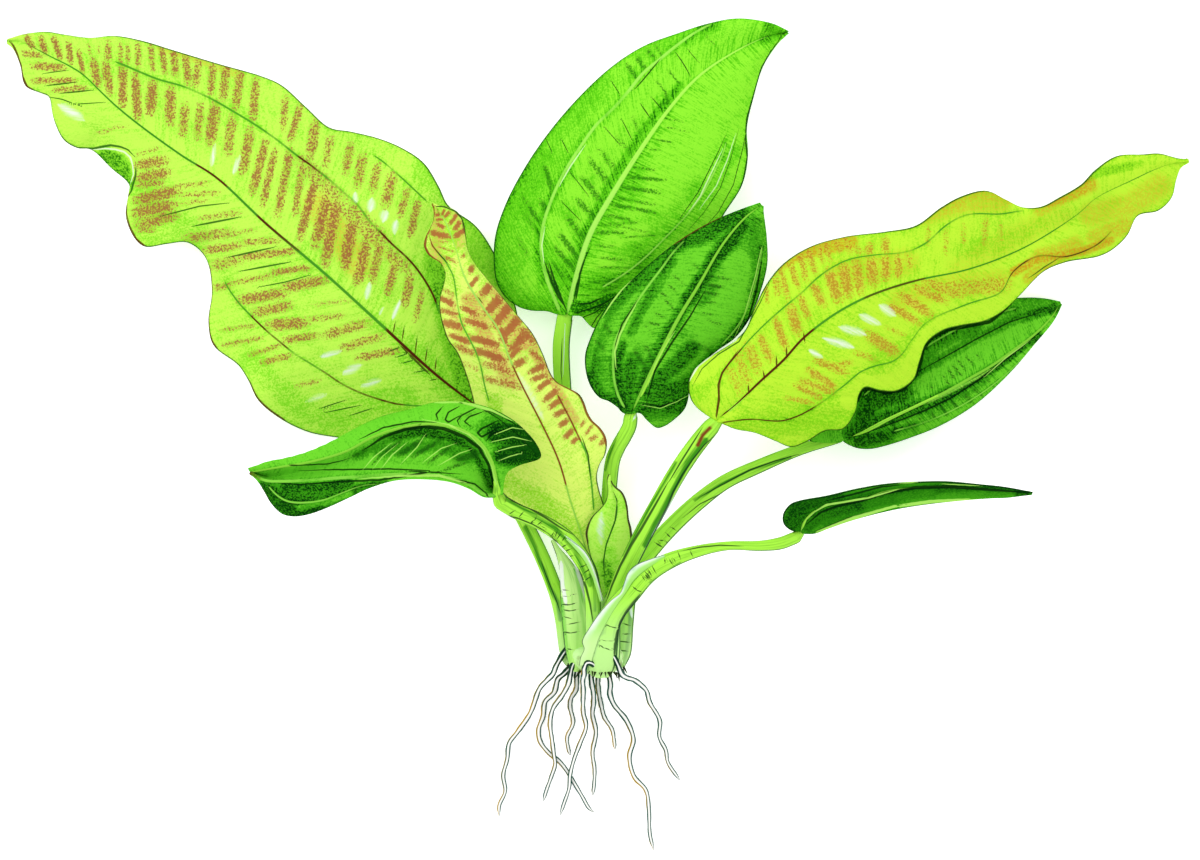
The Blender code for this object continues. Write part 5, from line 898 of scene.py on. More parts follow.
MEMBRANES = [
    ("narrow_stalk_membrane",
     [(26.4, -50.8, 34.2), (19.2, -55.2, 34.8), (13.6, -60, 35), (10.4, -64.8, 34.8), (6.8, -70, 34.2),
      (3.2, -76, 33.6), (0, -82.4, 33), (-2, -88, 32.6), (-3.6, -93.6, 31.4)],
     [(26, -49.6, 34.2), (19.2, -51.8, 34.6), (14.4, -53.8, 34.8), (11.2, -56.8, 34.8),
      (9.4, -61.6, 34.6), (8, -65.2, 34.2), (4.4, -68, 33.6), (0, -72.8, 32.6), (-4.4, -79.2, 31.4),
      (-7.2, -84.4, 30.6), (-6.4, -87.6, 30.6), (-7.8, -90.8, 30), (-8.4, -94.8, 28)]),
    ("folded_stalk_membrane",
     [(-13.6, -43.6, 36.4), (-8.8, -48.8, 34.6), (-5.6, -53.2, 32.8), (-3.2, -58.4, 31),
      (-1.6, -63.2, 29.4), (0, -68.8, 28)],
     [(-13.2, -42.8, 36), (-6.4, -48, 34), (-3.6, -52.4, 32), (-1.4, -58.2, 30), (0, -63.2, 28.6),
      (1.2, -68.4, 27.2)]),
]

SOFT_TOUCHES = ("shade", "light", "warm", "stain", "glow")
DRAWN_TOUCHES = ("ink", "pale")

# The value of a drawn line's fields away from it, and of the vein field away from every side vein, and how
# much further away a side vein counts as where it has faded out

CLEAR_OF_LINE = 4.0
CLEAR_OF_VEIN = 9.0
FADED_VEIN = 4.0

# A blade that would have more triangles than this takes wider cells

MOST_TRIANGLES = 190000

# No point of a leaf lies lower than this above the table

LOWEST_POINT = 0.05

# The room is lit 1.25 times as brightly as the table needs, which keeps the shadows on it soft, so the
# tones of the plant are held back by as much

HELD_BACK = 0.8

# Lamps, as name, size, power and place in metres. Each is square and aims at the middle of the plant

LAMPS = [
    ("window_light", 1.4, 17.0, (-1.0, 1.0, 1.7)),
    ("fill_light", 2.2, 8.0, (1.3, -0.5, 1.9)),
]

# The table top's corners, in metres

TABLE_CORNERS = [(-3, -3, 0), (3, -3, 0), (3, 3, 0), (-3, 3, 0)]


def linear(hex_colour):
    """A colour written as sRGB hex, as linear red, green and blue."""
    shades = [int(hex_colour[i:i + 2], 16) / 255 for i in (1, 3, 5)]
    return tuple(s / 12.92 if s <= 0.04045 else ((s + 0.055) / 1.055) ** 2.4 for s in shades)


def held_back(colour):
    """A finish's tone, from sRGB hex or a colour setting, held back as much as the room is too bright."""
    shades = linear(colour) if isinstance(colour, str) else colour
    return (*(value * HELD_BACK for value in shades), 1.0)


def colour_setting(name, hex_colour, description):
    """A colour that a user may change, with its default written as sRGB hex."""
    return bpy.props.FloatVectorProperty(
        name=name, description=description, subtype="COLOR", default=linear(hex_colour), min=0, max=1)


class LeafSettings(bpy.types.PropertyGroup):
    """Sizes and colours of the blades."""

    thickness: bpy.props.FloatProperty(
        name="Thickness", description="Thickness of a blade away from its midrib",
        default=0.0006, min=0.0002, unit="LENGTH")
    cell_size: bpy.props.FloatProperty(
        name="Cell size", description="Distance between the mesh's rows and columns on a blade",
        default=0.00062, min=0.0004, unit="LENGTH")
    margin_width: bpy.props.FloatProperty(
        name="Margin width", description="Width of the rounded margin round a blade",
        default=0.00035, min=0.0001, unit="LENGTH")
    rib_height: bpy.props.FloatProperty(
        name="Midrib height", description="How far a midrib stands above the blade at its base",
        default=0.0004, min=0, unit="LENGTH")
    keel_height: bpy.props.FloatProperty(
        name="Keel height", description="How far a midrib stands out under the blade at its base",
        default=0.0009, min=0, unit="LENGTH")
    vein_height: bpy.props.FloatProperty(
        name="Vein height", description="How far a side vein stands above the blade",
        default=0.0002, min=0, unit="LENGTH")
    submersed_colour: colour_setting("Submersed leaf", "#C4FA56", "Lightest green of the leaf under water")
    ageing_colour: colour_setting("Ageing leaf", "#C0F238", "Lightest green of the ageing leaf")
    striped_colour: colour_setting("Banded leaf", "#E4FF72", "Lightest green of the banded leaf")
    emersed_colour: colour_setting("Air leaf", "#92F034", "Lightest green of the leaf grown in air")
    dark_colour: colour_setting("Dark leaf", "#6ED22C", "Lightest green of the dark leaves")
    arched_colour: colour_setting("Arched leaf", "#6ED42E", "Lightest green of the leaf that arches over")
    shaded_colour: colour_setting("Shaded leaf", "#42A018", "Lightest green of the leaf in deep shade")
    young_colour: colour_setting("Young leaf", "#C2FA60", "Lightest green of the half-rolled leaf")


class StalkSettings(bpy.types.PropertyGroup):
    """Sizes and colours of the stalks, sheaths and membranes."""

    sides: bpy.props.IntProperty(
        name="Sides", description="Faces round a stalk", default=44, min=8)
    steps: bpy.props.IntProperty(
        name="Steps", description="Rings along a stalk", default=240, min=10)
    ridge_count: bpy.props.IntProperty(
        name="Ridges", description="Lengthwise ridges round a stalk", default=7, min=1)
    ridge_share: bpy.props.FloatProperty(
        name="Ridge share", description="Height of a ridge as a share of the stalk's half-width",
        default=0.035, min=0, max=0.3, subtype="FACTOR")
    membrane_thickness: bpy.props.FloatProperty(
        name="Membrane thickness", description="Thickness of the papery membranes at the stalks' bases",
        default=0.0003, min=0.0001, unit="LENGTH")
    stalk_colour: colour_setting("Stalk", "#ACF646", "Lightest green of the stalks")
    sheath_colour: colour_setting("Sheath", "#D2FF98", "Lightest tone of the papery sheaths")
    membrane_colour: colour_setting("Membrane", "#EEFCEE", "Lightest tone of the membranes")


class RootSettings(bpy.types.PropertyGroup):
    """Sizes and colours of the roots, the crown and the fringe round it."""

    sides: bpy.props.IntProperty(
        name="Sides", description="Faces round a root", default=16, min=6)
    steps: bpy.props.IntProperty(
        name="Steps", description="Rings along a root", default=150, min=10)
    fringe_length: bpy.props.FloatProperty(
        name="Fringe length", description="Length of the dead fibres round the crown's base",
        default=0.0034, min=0.001, unit="LENGTH")
    fringe_width: bpy.props.FloatProperty(
        name="Fringe width", description="Width of a dead fibre where it grows",
        default=0.0011, min=0.0002, unit="LENGTH")
    root_colour: colour_setting("Root", "#FFFFFA", "Lightest tone of the roots")
    crown_colour: colour_setting("Crown", "#CAFAA0", "Lightest tone of the crown's flesh")
    fringe_colour: colour_setting("Fringe", "#1E2A10", "Darkest tone of the dead fibres")


class StageSettings(bpy.types.PropertyGroup):
    """The table, the light and the camera."""

    camera_height: bpy.props.FloatProperty(
        name="Camera height", description="Height of the camera above the table",
        default=8.02, min=1, unit="LENGTH")
    focal_length: bpy.props.FloatProperty(
        name="Focal length", description="Focal length of the camera in millimetres", default=600, min=50)
    table_colour: colour_setting("Table", "#FCFCFC", "Colour of the table top")
    table_glow: bpy.props.FloatProperty(
        name="Table glow", description="Light that the table gives off, which keeps the shadows pale",
        default=0.42, min=0.0, max=1.0)
    room_light: bpy.props.FloatProperty(
        name="Room light", description="Strength of the even light from all round", default=1.05, min=0)


class PlantSettings(bpy.types.PropertyGroup):
    """Everything that a user may change about the plant."""

    leaf: bpy.props.PointerProperty(type=LeafSettings)
    stalk: bpy.props.PointerProperty(type=StalkSettings)
    root: bpy.props.PointerProperty(type=RootSettings)
    stage: bpy.props.PointerProperty(type=StageSettings)


# Curves and surfaces


def blend(start, end, start_knot, end_knot, t):
    """The point that moves from start to end while t goes from one knot to the other."""
    share = (t - start_knot) / (end_knot - start_knot)
    return start + (end - start) * share


def curve_through(points):
    """A dense, smooth curve through given points, spaced so that it never loops between two."""
    given = np.array(points, float)
    ends = np.vstack([2 * given[0] - given[1], given, 2 * given[-1] - given[-2]])
    gaps = np.sqrt(np.linalg.norm(np.diff(ends[:, :3], axis=0), axis=1))
    knots = np.concatenate([[0.0], np.cumsum(gaps)])
    dense = []
    for i in range(1, len(ends) - 2):
        p0, p1, p2, p3 = ends[i - 1:i + 3]
        k0, k1, k2, k3 = knots[i - 1:i + 3]
        t = np.linspace(k1, k2, CURVE_STEPS, endpoint=False)[:, None]
        before = blend(p0, p1, k0, k1, t)
        middle = blend(p1, p2, k1, k2, t)
        after = blend(p2, p3, k2, k3, t)
        dense.append(blend(blend(before, middle, k0, k2, t), blend(middle, after, k1, k3, t), k1, k2, t))
    return np.vstack(dense + [given[-1:]])


def evenly(points, count):
    """count + 1 points at equal steps along the smooth curve through the given ones."""
    dense = curve_through(points)
    length = run_length(dense[:, :3])
    wanted = np.linspace(0.0, length[-1], count + 1)
    return np.column_stack([np.interp(wanted, length, column) for column in dense.T])


def run_length(points):
    """How far along its line each point is."""
    return np.concatenate([[0.0], np.cumsum(np.linalg.norm(np.diff(points, axis=0), axis=1))])


def unit(vectors):
    """Each row scaled to length one."""
    lengths = np.linalg.norm(vectors, axis=-1, keepdims=True)
    return vectors / np.maximum(lengths, 1e-9)


def smooth_step(value, low, high):
    """0 below low, 1 above high, and an even curve between."""
    share = np.clip((value - low) / (high - low), 0.0, 1.0)
    return share * share * (3 - 2 * share)


def in_metres(points):
    """Places in millimetres from the middle of the plant, as metres from the frame's origin."""
    return (points + [*PLANT_MIDDLE, 0]) * MM


def vein_shares(start, end, vein):
    """Where a side vein crosses each row of a panel, as a share of the way from its first rail to its
    second, and how strongly it shows there."""
    line = curve_through(vein)[:, :2]
    shares = np.full(len(start), np.nan)
    for row in range(1, len(start) - 1):
        reach = end[row, :2] - start[row, :2]
        away = line - start[row, :2]
        side = reach[0] * away[:, 1] - reach[1] * away[:, 0]
        for k in np.nonzero(side[:-1] * side[1:] < 0)[0]:
            crossing = line[k] + (line[k + 1] - line[k]) * side[k] / (side[k] - side[k + 1])
            share = np.dot(crossing - start[row, :2], reach) / np.dot(reach, reach)
            if 0.05 < share < 0.95:
                shares[row] = share
    rows = np.arange(len(start))
    known = np.isfinite(shares)
    filled = np.interp(rows, rows[known], shares[known])
    return smoothed(filled), smoothed(known.astype(float))


def smoothed(values, reach=5):
    """A row of values, each of them averaged with those within reach of it."""
    window = np.hanning(2 * reach + 1)
    return np.convolve(np.pad(values, reach, mode="edge"), window / window.sum(), mode="valid")


def blade_columns(rails, bows, veins, spacing, margin):
    """The middle surface of a blade as a grid of points from base to tip and from side to side, with the
    columns of its rails, and the column, strength and weight of each side vein."""
    rows = round(run_length(curve_through(rails[1])[:, :3])[-1] / spacing)
    lines = [evenly(rail, rows) for rail in rails]
    columns = []
    vein_columns = []
    rail_columns = [0]
    for number, (start, end) in enumerate(zip(lines[:-1], lines[1:])):
        width = np.linalg.norm(end - start, axis=1)
        along = np.gradient(start + end, axis=0)
        out = unit(np.cross(end - start, along))
        out *= np.where(out[:, 2:] < 0, -1.0, 1.0)
        inset = np.minimum(margin / np.maximum(width, 1e-6), WIDEST_MARGIN)
        stops = [(np.zeros(rows + 1), None)]
        if number == 0:
            columns.append(start)
            stops.append((inset, None))
        for vein, weight in veins[number]:
            shares, strength = vein_shares(start, end, vein)
            stops.append((shares, (strength, weight)))
        if number == len(lines) - 2:
            stops.append((1 - inset, None))
        stops.append((np.ones(rows + 1), None))
        for (low, _), (high, strength) in zip(stops[:-1], stops[1:]):
            steps = max(1, round(float(np.max((high - low) * width)) / spacing))
            for step in range(1, steps + 1):
                share = (low + (high - low) * step / steps)[:, None]
                columns.append(start + (end - start) * share + out * bows[number] * np.sin(np.pi * share))
            if strength is not None:
                vein_columns.append((len(columns) - 1, *strength))
        rail_columns.append(len(columns) - 1)
    return np.stack(columns, axis=1), rail_columns, vein_columns


def distance_to_line(places, line):
    """How far each place is from a line of points, on which side of it, and how far along it."""
    points = np.array(line, float).reshape(-1, 2)
    lengths = run_length(points)
    nearest = np.full(len(places), np.inf)
    side = np.zeros(len(places))
    along = np.zeros(len(places))
    for number, (start, end) in enumerate(zip(points[:-1], points[1:])):
        step = end - start
        share = np.clip((places - start) @ step / np.dot(step, step), 0.0, 1.0)
        away = places - start - share[:, None] * step
        distance = np.linalg.norm(away, axis=1)
        closer = distance < nearest
        nearest[closer] = distance[closer]
        side[closer] = np.sign(step[0] * away[:, 1] - step[1] * away[:, 0])[closer]
        along[closer] = (lengths[number] + share[closer] * np.linalg.norm(step)) / lengths[-1]
    return nearest, side, along


def touch_fields(places, touches, bars):
    """What every touch and bar does at each place: amounts for the soft ones, and for the drawn ones the
    distance from their line, plain in millimetres and signed in half-widths of the line."""
    fields = {kind: np.zeros(len(places)) for kind in SOFT_TOUCHES}
    for kind in DRAWN_TOUCHES:
        fields[kind] = np.full(len(places), CLEAR_OF_LINE)
        fields[kind + "_side"] = np.full(len(places), CLEAR_OF_LINE)
    for kind, rows in touches.items():
        for reach, strength, *line in rows:
            distance, side, along = distance_to_line(places, line)
            taper = np.sqrt(np.clip(4 * along * (1 - along), 0.06, 1.0))
            if kind in DRAWN_TOUCHES:
                signed = side * distance / (reach * strength * taper)
                signed = np.clip(signed, -CLEAR_OF_LINE, CLEAR_OF_LINE)
                closer = distance < fields[kind]
                fields[kind][closer] = distance[closer]
                fields[kind + "_side"][closer] = signed[closer]
            else:
                # A painted highlight narrows to its ends and fades from its middle line. Others have a full
                # core
                width, core = (reach * taper * 2.4, 0.0) if kind == "glow" else (reach, 0.3)
                amount = strength * smooth_step(-distance, -width, -width * core)
                fields[kind] = np.maximum(fields[kind], amount)
    fields["shade"] -= fields.pop("light")
    fields["bar"] = np.zeros(len(places))
    for *line, width, strength in bars:
        distance, _, along = distance_to_line(places, line)
        taper = np.sqrt(np.clip(8 * along * (1 - along), 0.3, 1.0))
        amount = strength * taper * smooth_step(-distance, -0.75 * width, -0.15 * width)
        fields["bar"] = np.maximum(fields["bar"], amount)
    return fields


def vein_places(grid, rib_column, slants, gaps):
    """For every point of a blade: which cross vein it lies at, counted from the base, and its distance from
    the midrib seen from above."""
    rib = grid[:, rib_column, :2]
    length = run_length(rib)
    heading = unit(np.gradient(rib, axis=0))
    flat = grid[:, :, :2].reshape(-1, 2)
    # Every fourth point of the midrib is close enough to find the nearest
    stride = 4
    nearest = np.argmin(((flat[:, None, :] - rib[None, ::stride, :]) ** 2).sum(axis=2), axis=1) * stride
    away = flat - rib[nearest]
    foot = (length[nearest] + (away * heading[nearest]).sum(axis=1)).reshape(grid.shape[:2])
    out = np.linalg.norm(flat - rib[nearest], axis=1).reshape(grid.shape[:2])
    cycle = np.zeros_like(foot)
    before = np.arange(grid.shape[1])[None, :] < rib_column
    for side, slant, gap in zip((before, ~before), slants, gaps):
        lean = np.interp(foot / length[-1], (0.0, 0.5, 1.0), slant)
        cycle += np.where(side, (foot - out * lean) / gap, 0.0)
    return cycle, out


def blade_shape(blade, settings):
    """The upper and lower surface of a blade, and the fields that its finish reads."""
    _, rails, bows, veins, rib_widths, slants, gaps, swell, bars, touches, _ = blade
    spacing = settings.cell_size / MM
    margin = settings.margin_width / MM
    grid, rail_columns, vein_columns = blade_columns(rails, bows, veins, spacing, margin)
    # The two surfaces have four triangles to a cell
    triangles = 4 * grid.shape[0] * grid.shape[1]
    if triangles > MOST_TRIANGLES:
        spacing *= math.sqrt(triangles / MOST_TRIANGLES)
        grid, rail_columns, vein_columns = blade_columns(rails, bows, veins, spacing, margin)
    rib_column = rail_columns[1]
    if len(rails) == 4:
        vein_columns.append((rail_columns[2], np.ones(len(grid)), 1))
    across = np.gradient(grid, axis=1)
    lengthwise = np.gradient(grid, axis=0)
    normal = unit(np.cross(across, lengthwise))
    if normal[:, :, 2].mean() < 0:
        normal = -normal
    steps = np.linalg.norm(np.diff(grid, axis=1), axis=2)
    run = np.concatenate([np.zeros((len(grid), 1)), np.cumsum(steps, axis=1)], axis=1)
    along = run_length(grid[:, rib_column])
    along = np.repeat((along / along[-1])[:, None], grid.shape[1], axis=1)
    rib_distance = np.abs(run - run[:, rib_column:rib_column + 1])
    rib_half = rib_widths[0] + (rib_widths[1] - rib_widths[0]) * smooth_step(along, 0.0, 0.9)
    edge = np.minimum(run, run[:, -1:] - run)
    vein = np.full(grid.shape[:2], CLEAR_OF_VEIN)
    for column, strength, weight in vein_columns:
        distance = np.abs(run - run[:, column:column + 1]) / weight + (1 - strength[:, None]) * FADED_VEIN
        vein = np.minimum(vein, distance)
    cycle, out = vein_places(grid, rib_column, slants, gaps)
    # The tissue swells between cross veins, and lies quiet beside the midrib, the side veins and the margin
    quiet = smooth_step(rib_distance, 0.5, 3.5) * smooth_step(vein, 0.3, 2.5) * smooth_step(edge, 0.5, 4)
    lift = swell * quiet * (np.abs(np.sin(np.pi * cycle)) - 0.6)
    # The midrib is a rounded ridge that sinks towards the tip
    rib_shape = np.exp(-(rib_distance / rib_half) ** 2) * (1 - 0.7 * along) * smooth_step(edge, 0.0, 2.0)
    lift += settings.rib_height / MM * rib_shape
    lift += settings.vein_height / MM * np.exp(-(vein / 0.7) ** 2)
    half = settings.thickness / MM / 2
    keel = settings.keel_height / MM * rib_shape
    upper = grid + normal * (lift + half)[:, :, None]
    lower = grid + normal * (lift * 0.5 - half - keel)[:, :, None]
    fields = touch_fields(grid[:, :, :2].reshape(-1, 2), touches, bars)
    fields.update(cycle=cycle, out=out, rib=rib_distance / rib_half, vein=vein, edge=edge, along=along)
    return grid, upper, lower, {name: values.reshape(grid.shape[:2]) for name, values in fields.items()}


def shell_mesh(name, grid, upper, lower, fields):
    """A closed leaf from its two surfaces, which share the margin, the base and the tip."""
    rows, columns = grid.shape[0] - 2, grid.shape[1]
    upper = upper[1:-1].copy()
    upper[:, 0] = grid[1:-1, 0]
    upper[:, -1] = grid[1:-1, -1]
    points = np.vstack([grid[:1, 0], grid[-1:, 0], upper.reshape(-1, 3), lower[1:-1, 1:-1].reshape(-1, 3)])
    points[:, 2] = np.maximum(points[:, 2], LOWEST_POINT)
    above = np.arange(rows * columns).reshape(rows, columns) + 2
    below = above.copy()
    below[:, 1:-1] = np.arange(rows * (columns - 2)).reshape(rows, columns - 2) + 2 + rows * columns
    faces = []
    for layer in (above, below):
        quads = np.stack([layer[:-1, :-1], layer[1:, :-1], layer[1:, 1:], layer[:-1, 1:]], axis=2)
        faces += quads.reshape(-1, 4).tolist()
        faces += [(0, int(a), int(b)) for a, b in zip(layer[0, :-1], layer[0, 1:])]
        faces += [(1, int(a), int(b)) for a, b in zip(layer[-1, :-1], layer[-1, 1:])]
    mesh = new_mesh(name, in_metres(points), faces=faces)
    face_outward(mesh)
    for field, values in fields.items():
        inner = values[1:-1]
        column = np.concatenate([[values[0, 0], values[-1, 0]], inner.ravel(), inner[:, 1:-1].ravel()])
        set_field(mesh, field, column)
    underside = np.arange(len(points)) >= 2 + rows * columns
    set_field(mesh, "underside", underside)
    return mesh


def new_mesh(name, points, edges=(), faces=()):
    """A mesh from its points and the edges or faces between them."""
    mesh = bpy.data.meshes.new(name)
    mesh.from_pydata(points, edges, faces)
    return mesh


def face_outward(mesh):
    """Turns every face of a closed mesh outwards and shades it smooth."""
    tidy = bmesh.new()
    tidy.from_mesh(mesh)
    bmesh.ops.recalc_face_normals(tidy, faces=tidy.faces[:])
    tidy.to_mesh(mesh)
    tidy.free()
    mesh.shade_smooth()


def set_field(mesh, name, values):
    """Keeps one number or one direction for each point of a mesh, for its nodes to read."""
    kind, key = ("FLOAT", "value") if values.ndim == 1 else ("FLOAT_VECTOR", "vector")
    mesh.attributes.new(name, kind, "POINT").data.foreach_set(key, values.astype(np.float32).ravel())


def placed(name, data):
    """A new object of the scene that holds a mesh, a light or a camera."""
    thing = bpy.data.objects.new(name, data)
    bpy.context.scene.collection.objects.link(thing)
    return thing


def add_piece(name, mesh, material, node):
    """Links a finished mesh as a piece that rides on the plant, in place of its node where it has one."""
    mesh.materials.clear()
    mesh.materials.append(material)
    piece = placed(name, mesh)
    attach(piece, "root")
    if node:
        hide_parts(node)
    return piece


# Finishes


def add(tree, kind, inputs, output=0, **settings):
    """Adds one node, makes its settings, feeds its inputs and gives back one of its outputs."""
    made = tree.nodes.new(kind)
    for setting, value in settings.items():
        setattr(made, setting, value)
    for socket, value in inputs.items():
        if isinstance(value, bpy.types.NodeSocket):
            tree.links.new(value, made.inputs[socket])
        else:
            made.inputs[socket].default_value = value
    return made.outputs[output]


def new_finish(name, roughness, specular):
    """An empty Principled finish with its constant values on the shader's own sockets."""
    material = bpy.data.materials.new(name)
    material.use_nodes = True
    shader = material.node_tree.nodes["Principled BSDF"]
    shader.inputs["Roughness"].default_value = roughness
    shader.inputs["IOR"].default_value = 1.45
    shader.inputs["Specular IOR Level"].default_value = specular
    return material, material.node_tree, shader


def coat(tree, shader, colour, relief, strength, distance=0.0002):
    """Gives a finish its colour and its fine relief, whose depth is a distance in metres."""
    tree.links.new(colour, shader.inputs["Base Color"])
    bump = add(tree, "ShaderNodeBump", {"Height": relief, "Strength": strength, "Distance": distance})
    tree.links.new(bump, shader.inputs["Normal"])


# Tones of each leaf finish beside its lightest green, as sRGB hex. mid and deep are the tissue, which the
# painted shade darkens, bar and wash the pigment, glow the painted highlights, warm the brown wash, stain
# the browned veins, ink the dark lines, rib_base and rib_tip the midrib from end to end, and under the
# lower side. The numbers are how much shows of the painted shade on the flank beside a vein, of the strokes
# near one (comb) and all over (hatch), of the painted shade at the darker rim, of the bars and of the wash
# under them, how much the bars break into specks (grit), and the strokes in each cross vein's gap

TONES = {
    SUBMERSED: dict(
        mid="#86E02A", deep="#2A800E", bar="#98543A", wash="#C8A040", glow="#EEF8EA", warm="#D2A62C",
        stain="#552512", ink="#1F6214", rib_base="#4C9A26", rib_tip="#3E8E22", vein="#4E9E24",
        margin="#2C5E16", pale="#E8FAD0", under="#B9E070", flank=0.1, comb=0.08, hatch=0.12, rim=0.15,
        bars=0.85, washed=0.45, grit=0.95, strokes=6.0),
    STRIPED: dict(
        mid="#A0E834", deep="#4C9A1C", bar="#A2502C", wash="#CC8C58", glow="#F6FFD8", warm="#CE9450",
        stain="#8A4A26", ink="#1C4A16", rib_base="#9AD850", rib_tip="#A6DC5C", vein="#58A830",
        margin="#2A3A14", pale="#E8FAB0", under="#C4E080", flank=0.1, comb=0.08, hatch=0.08, rim=0.05,
        bars=0.75, washed=0.6, grit=0.6, strokes=6.0),
    EMERSED: dict(
        mid="#5CCC16", deep="#166C08", bar="#1A700C", wash="#54C014", glow="#C4FF80", warm="#7CD030",
        stain="#3A1A0E", ink="#0A360E", rib_base="#AEF262", rib_tip="#AEF458", vein="#A0EA56",
        margin="#1A5218", pale="#D4FCAC", under="#9ADB70", flank=0.2, comb=0.2, hatch=0.22, rim=0.25,
        bars=0.8, washed=0.3, grit=0.7, strokes=5.0),
    DARK: dict(
        mid="#3A9C14", deep="#063C08", bar="#0A460A", wash="#2C8418", glow="#A0F050", warm="#58B020",
        stain="#5A2A18", ink="#042408", rib_base="#8ED842", rib_tip="#84D03A", vein="#86D646",
        margin="#0C3C10", pale="#AEEE64", under="#7CC25C", flank=0.2, comb=0.18, hatch=0.2, rim=0.2,
        bars=0.75, washed=0.2, grit=0.7, strokes=6.0),
    YOUNG: dict(
        mid="#94EC36", deep="#3A8A18", bar="#5CC024", wash="#5CC024", glow="#E8F4F0", warm="#88D030",
        stain="#3A1420", ink="#1C5A18", rib_base="#6AB838", rib_tip="#6AB838", vein="#7CC040",
        margin="#2E4A20", pale="#F0FFF0", under="#B8EC80", flank=0.1, comb=0.1, hatch=0.1, rim=0.1,
        bars=0.0, washed=0.0, grit=0.0, strokes=4.0),
}
TONES[AGEING] = dict(
    TONES[SUBMERSED], mid="#8CDC1E", warm="#C8961E", bar="#AC681E", wash="#DCAC44", bars=0.65, washed=0.5)
TONES[ARCHED] = dict(TONES[DARK], comb=0.06, hatch=0.08, rim=0.1)
TONES[SHADED] = dict(TONES[DARK], mid="#287E0E", comb=0.0, hatch=0.06)
THIN_LEAF_ROUGHNESS = 0.5
AIR_LEAF_ROUGHNESS = 0.45


def drawn_line(tree, kind):
    """How far a place is from a drawn line, in half-widths of that line. The signed distance is exact close
    to the line. The plain one, in millimetres, clears the places where the sign turns between two lines."""
    side = add(tree, "ShaderNodeAttribute", {}, "Fac", attribute_name=kind + "_side")
    plain = add(tree, "ShaderNodeAttribute", {}, "Fac", attribute_name=kind)
    beside = add(tree, "ShaderNodeMath", {0: side}, operation="ABSOLUTE")
    beyond = add(tree, "ShaderNodeMath", {0: plain, 1: 3.0, 2: -1.35}, operation="MULTIPLY_ADD")
    return add(tree, "ShaderNodeMath", {0: beside, 1: beyond}, operation="MAXIMUM")


def painted(tree, colour, layers):
    """A colour under layers, each of which comes in as its value runs from one limit to another."""
    for value, start, full, most, tone in layers:
        mask = add(tree, "ShaderNodeMapRange", {0: value, 1: start, 2: full, 3: 0.0, 4: most},
                   interpolation_type="SMOOTHSTEP")
        colour = add(tree, "ShaderNodeMix", {0: mask, 6: colour, 7: tone}, 2, data_type="RGBA")
    return colour


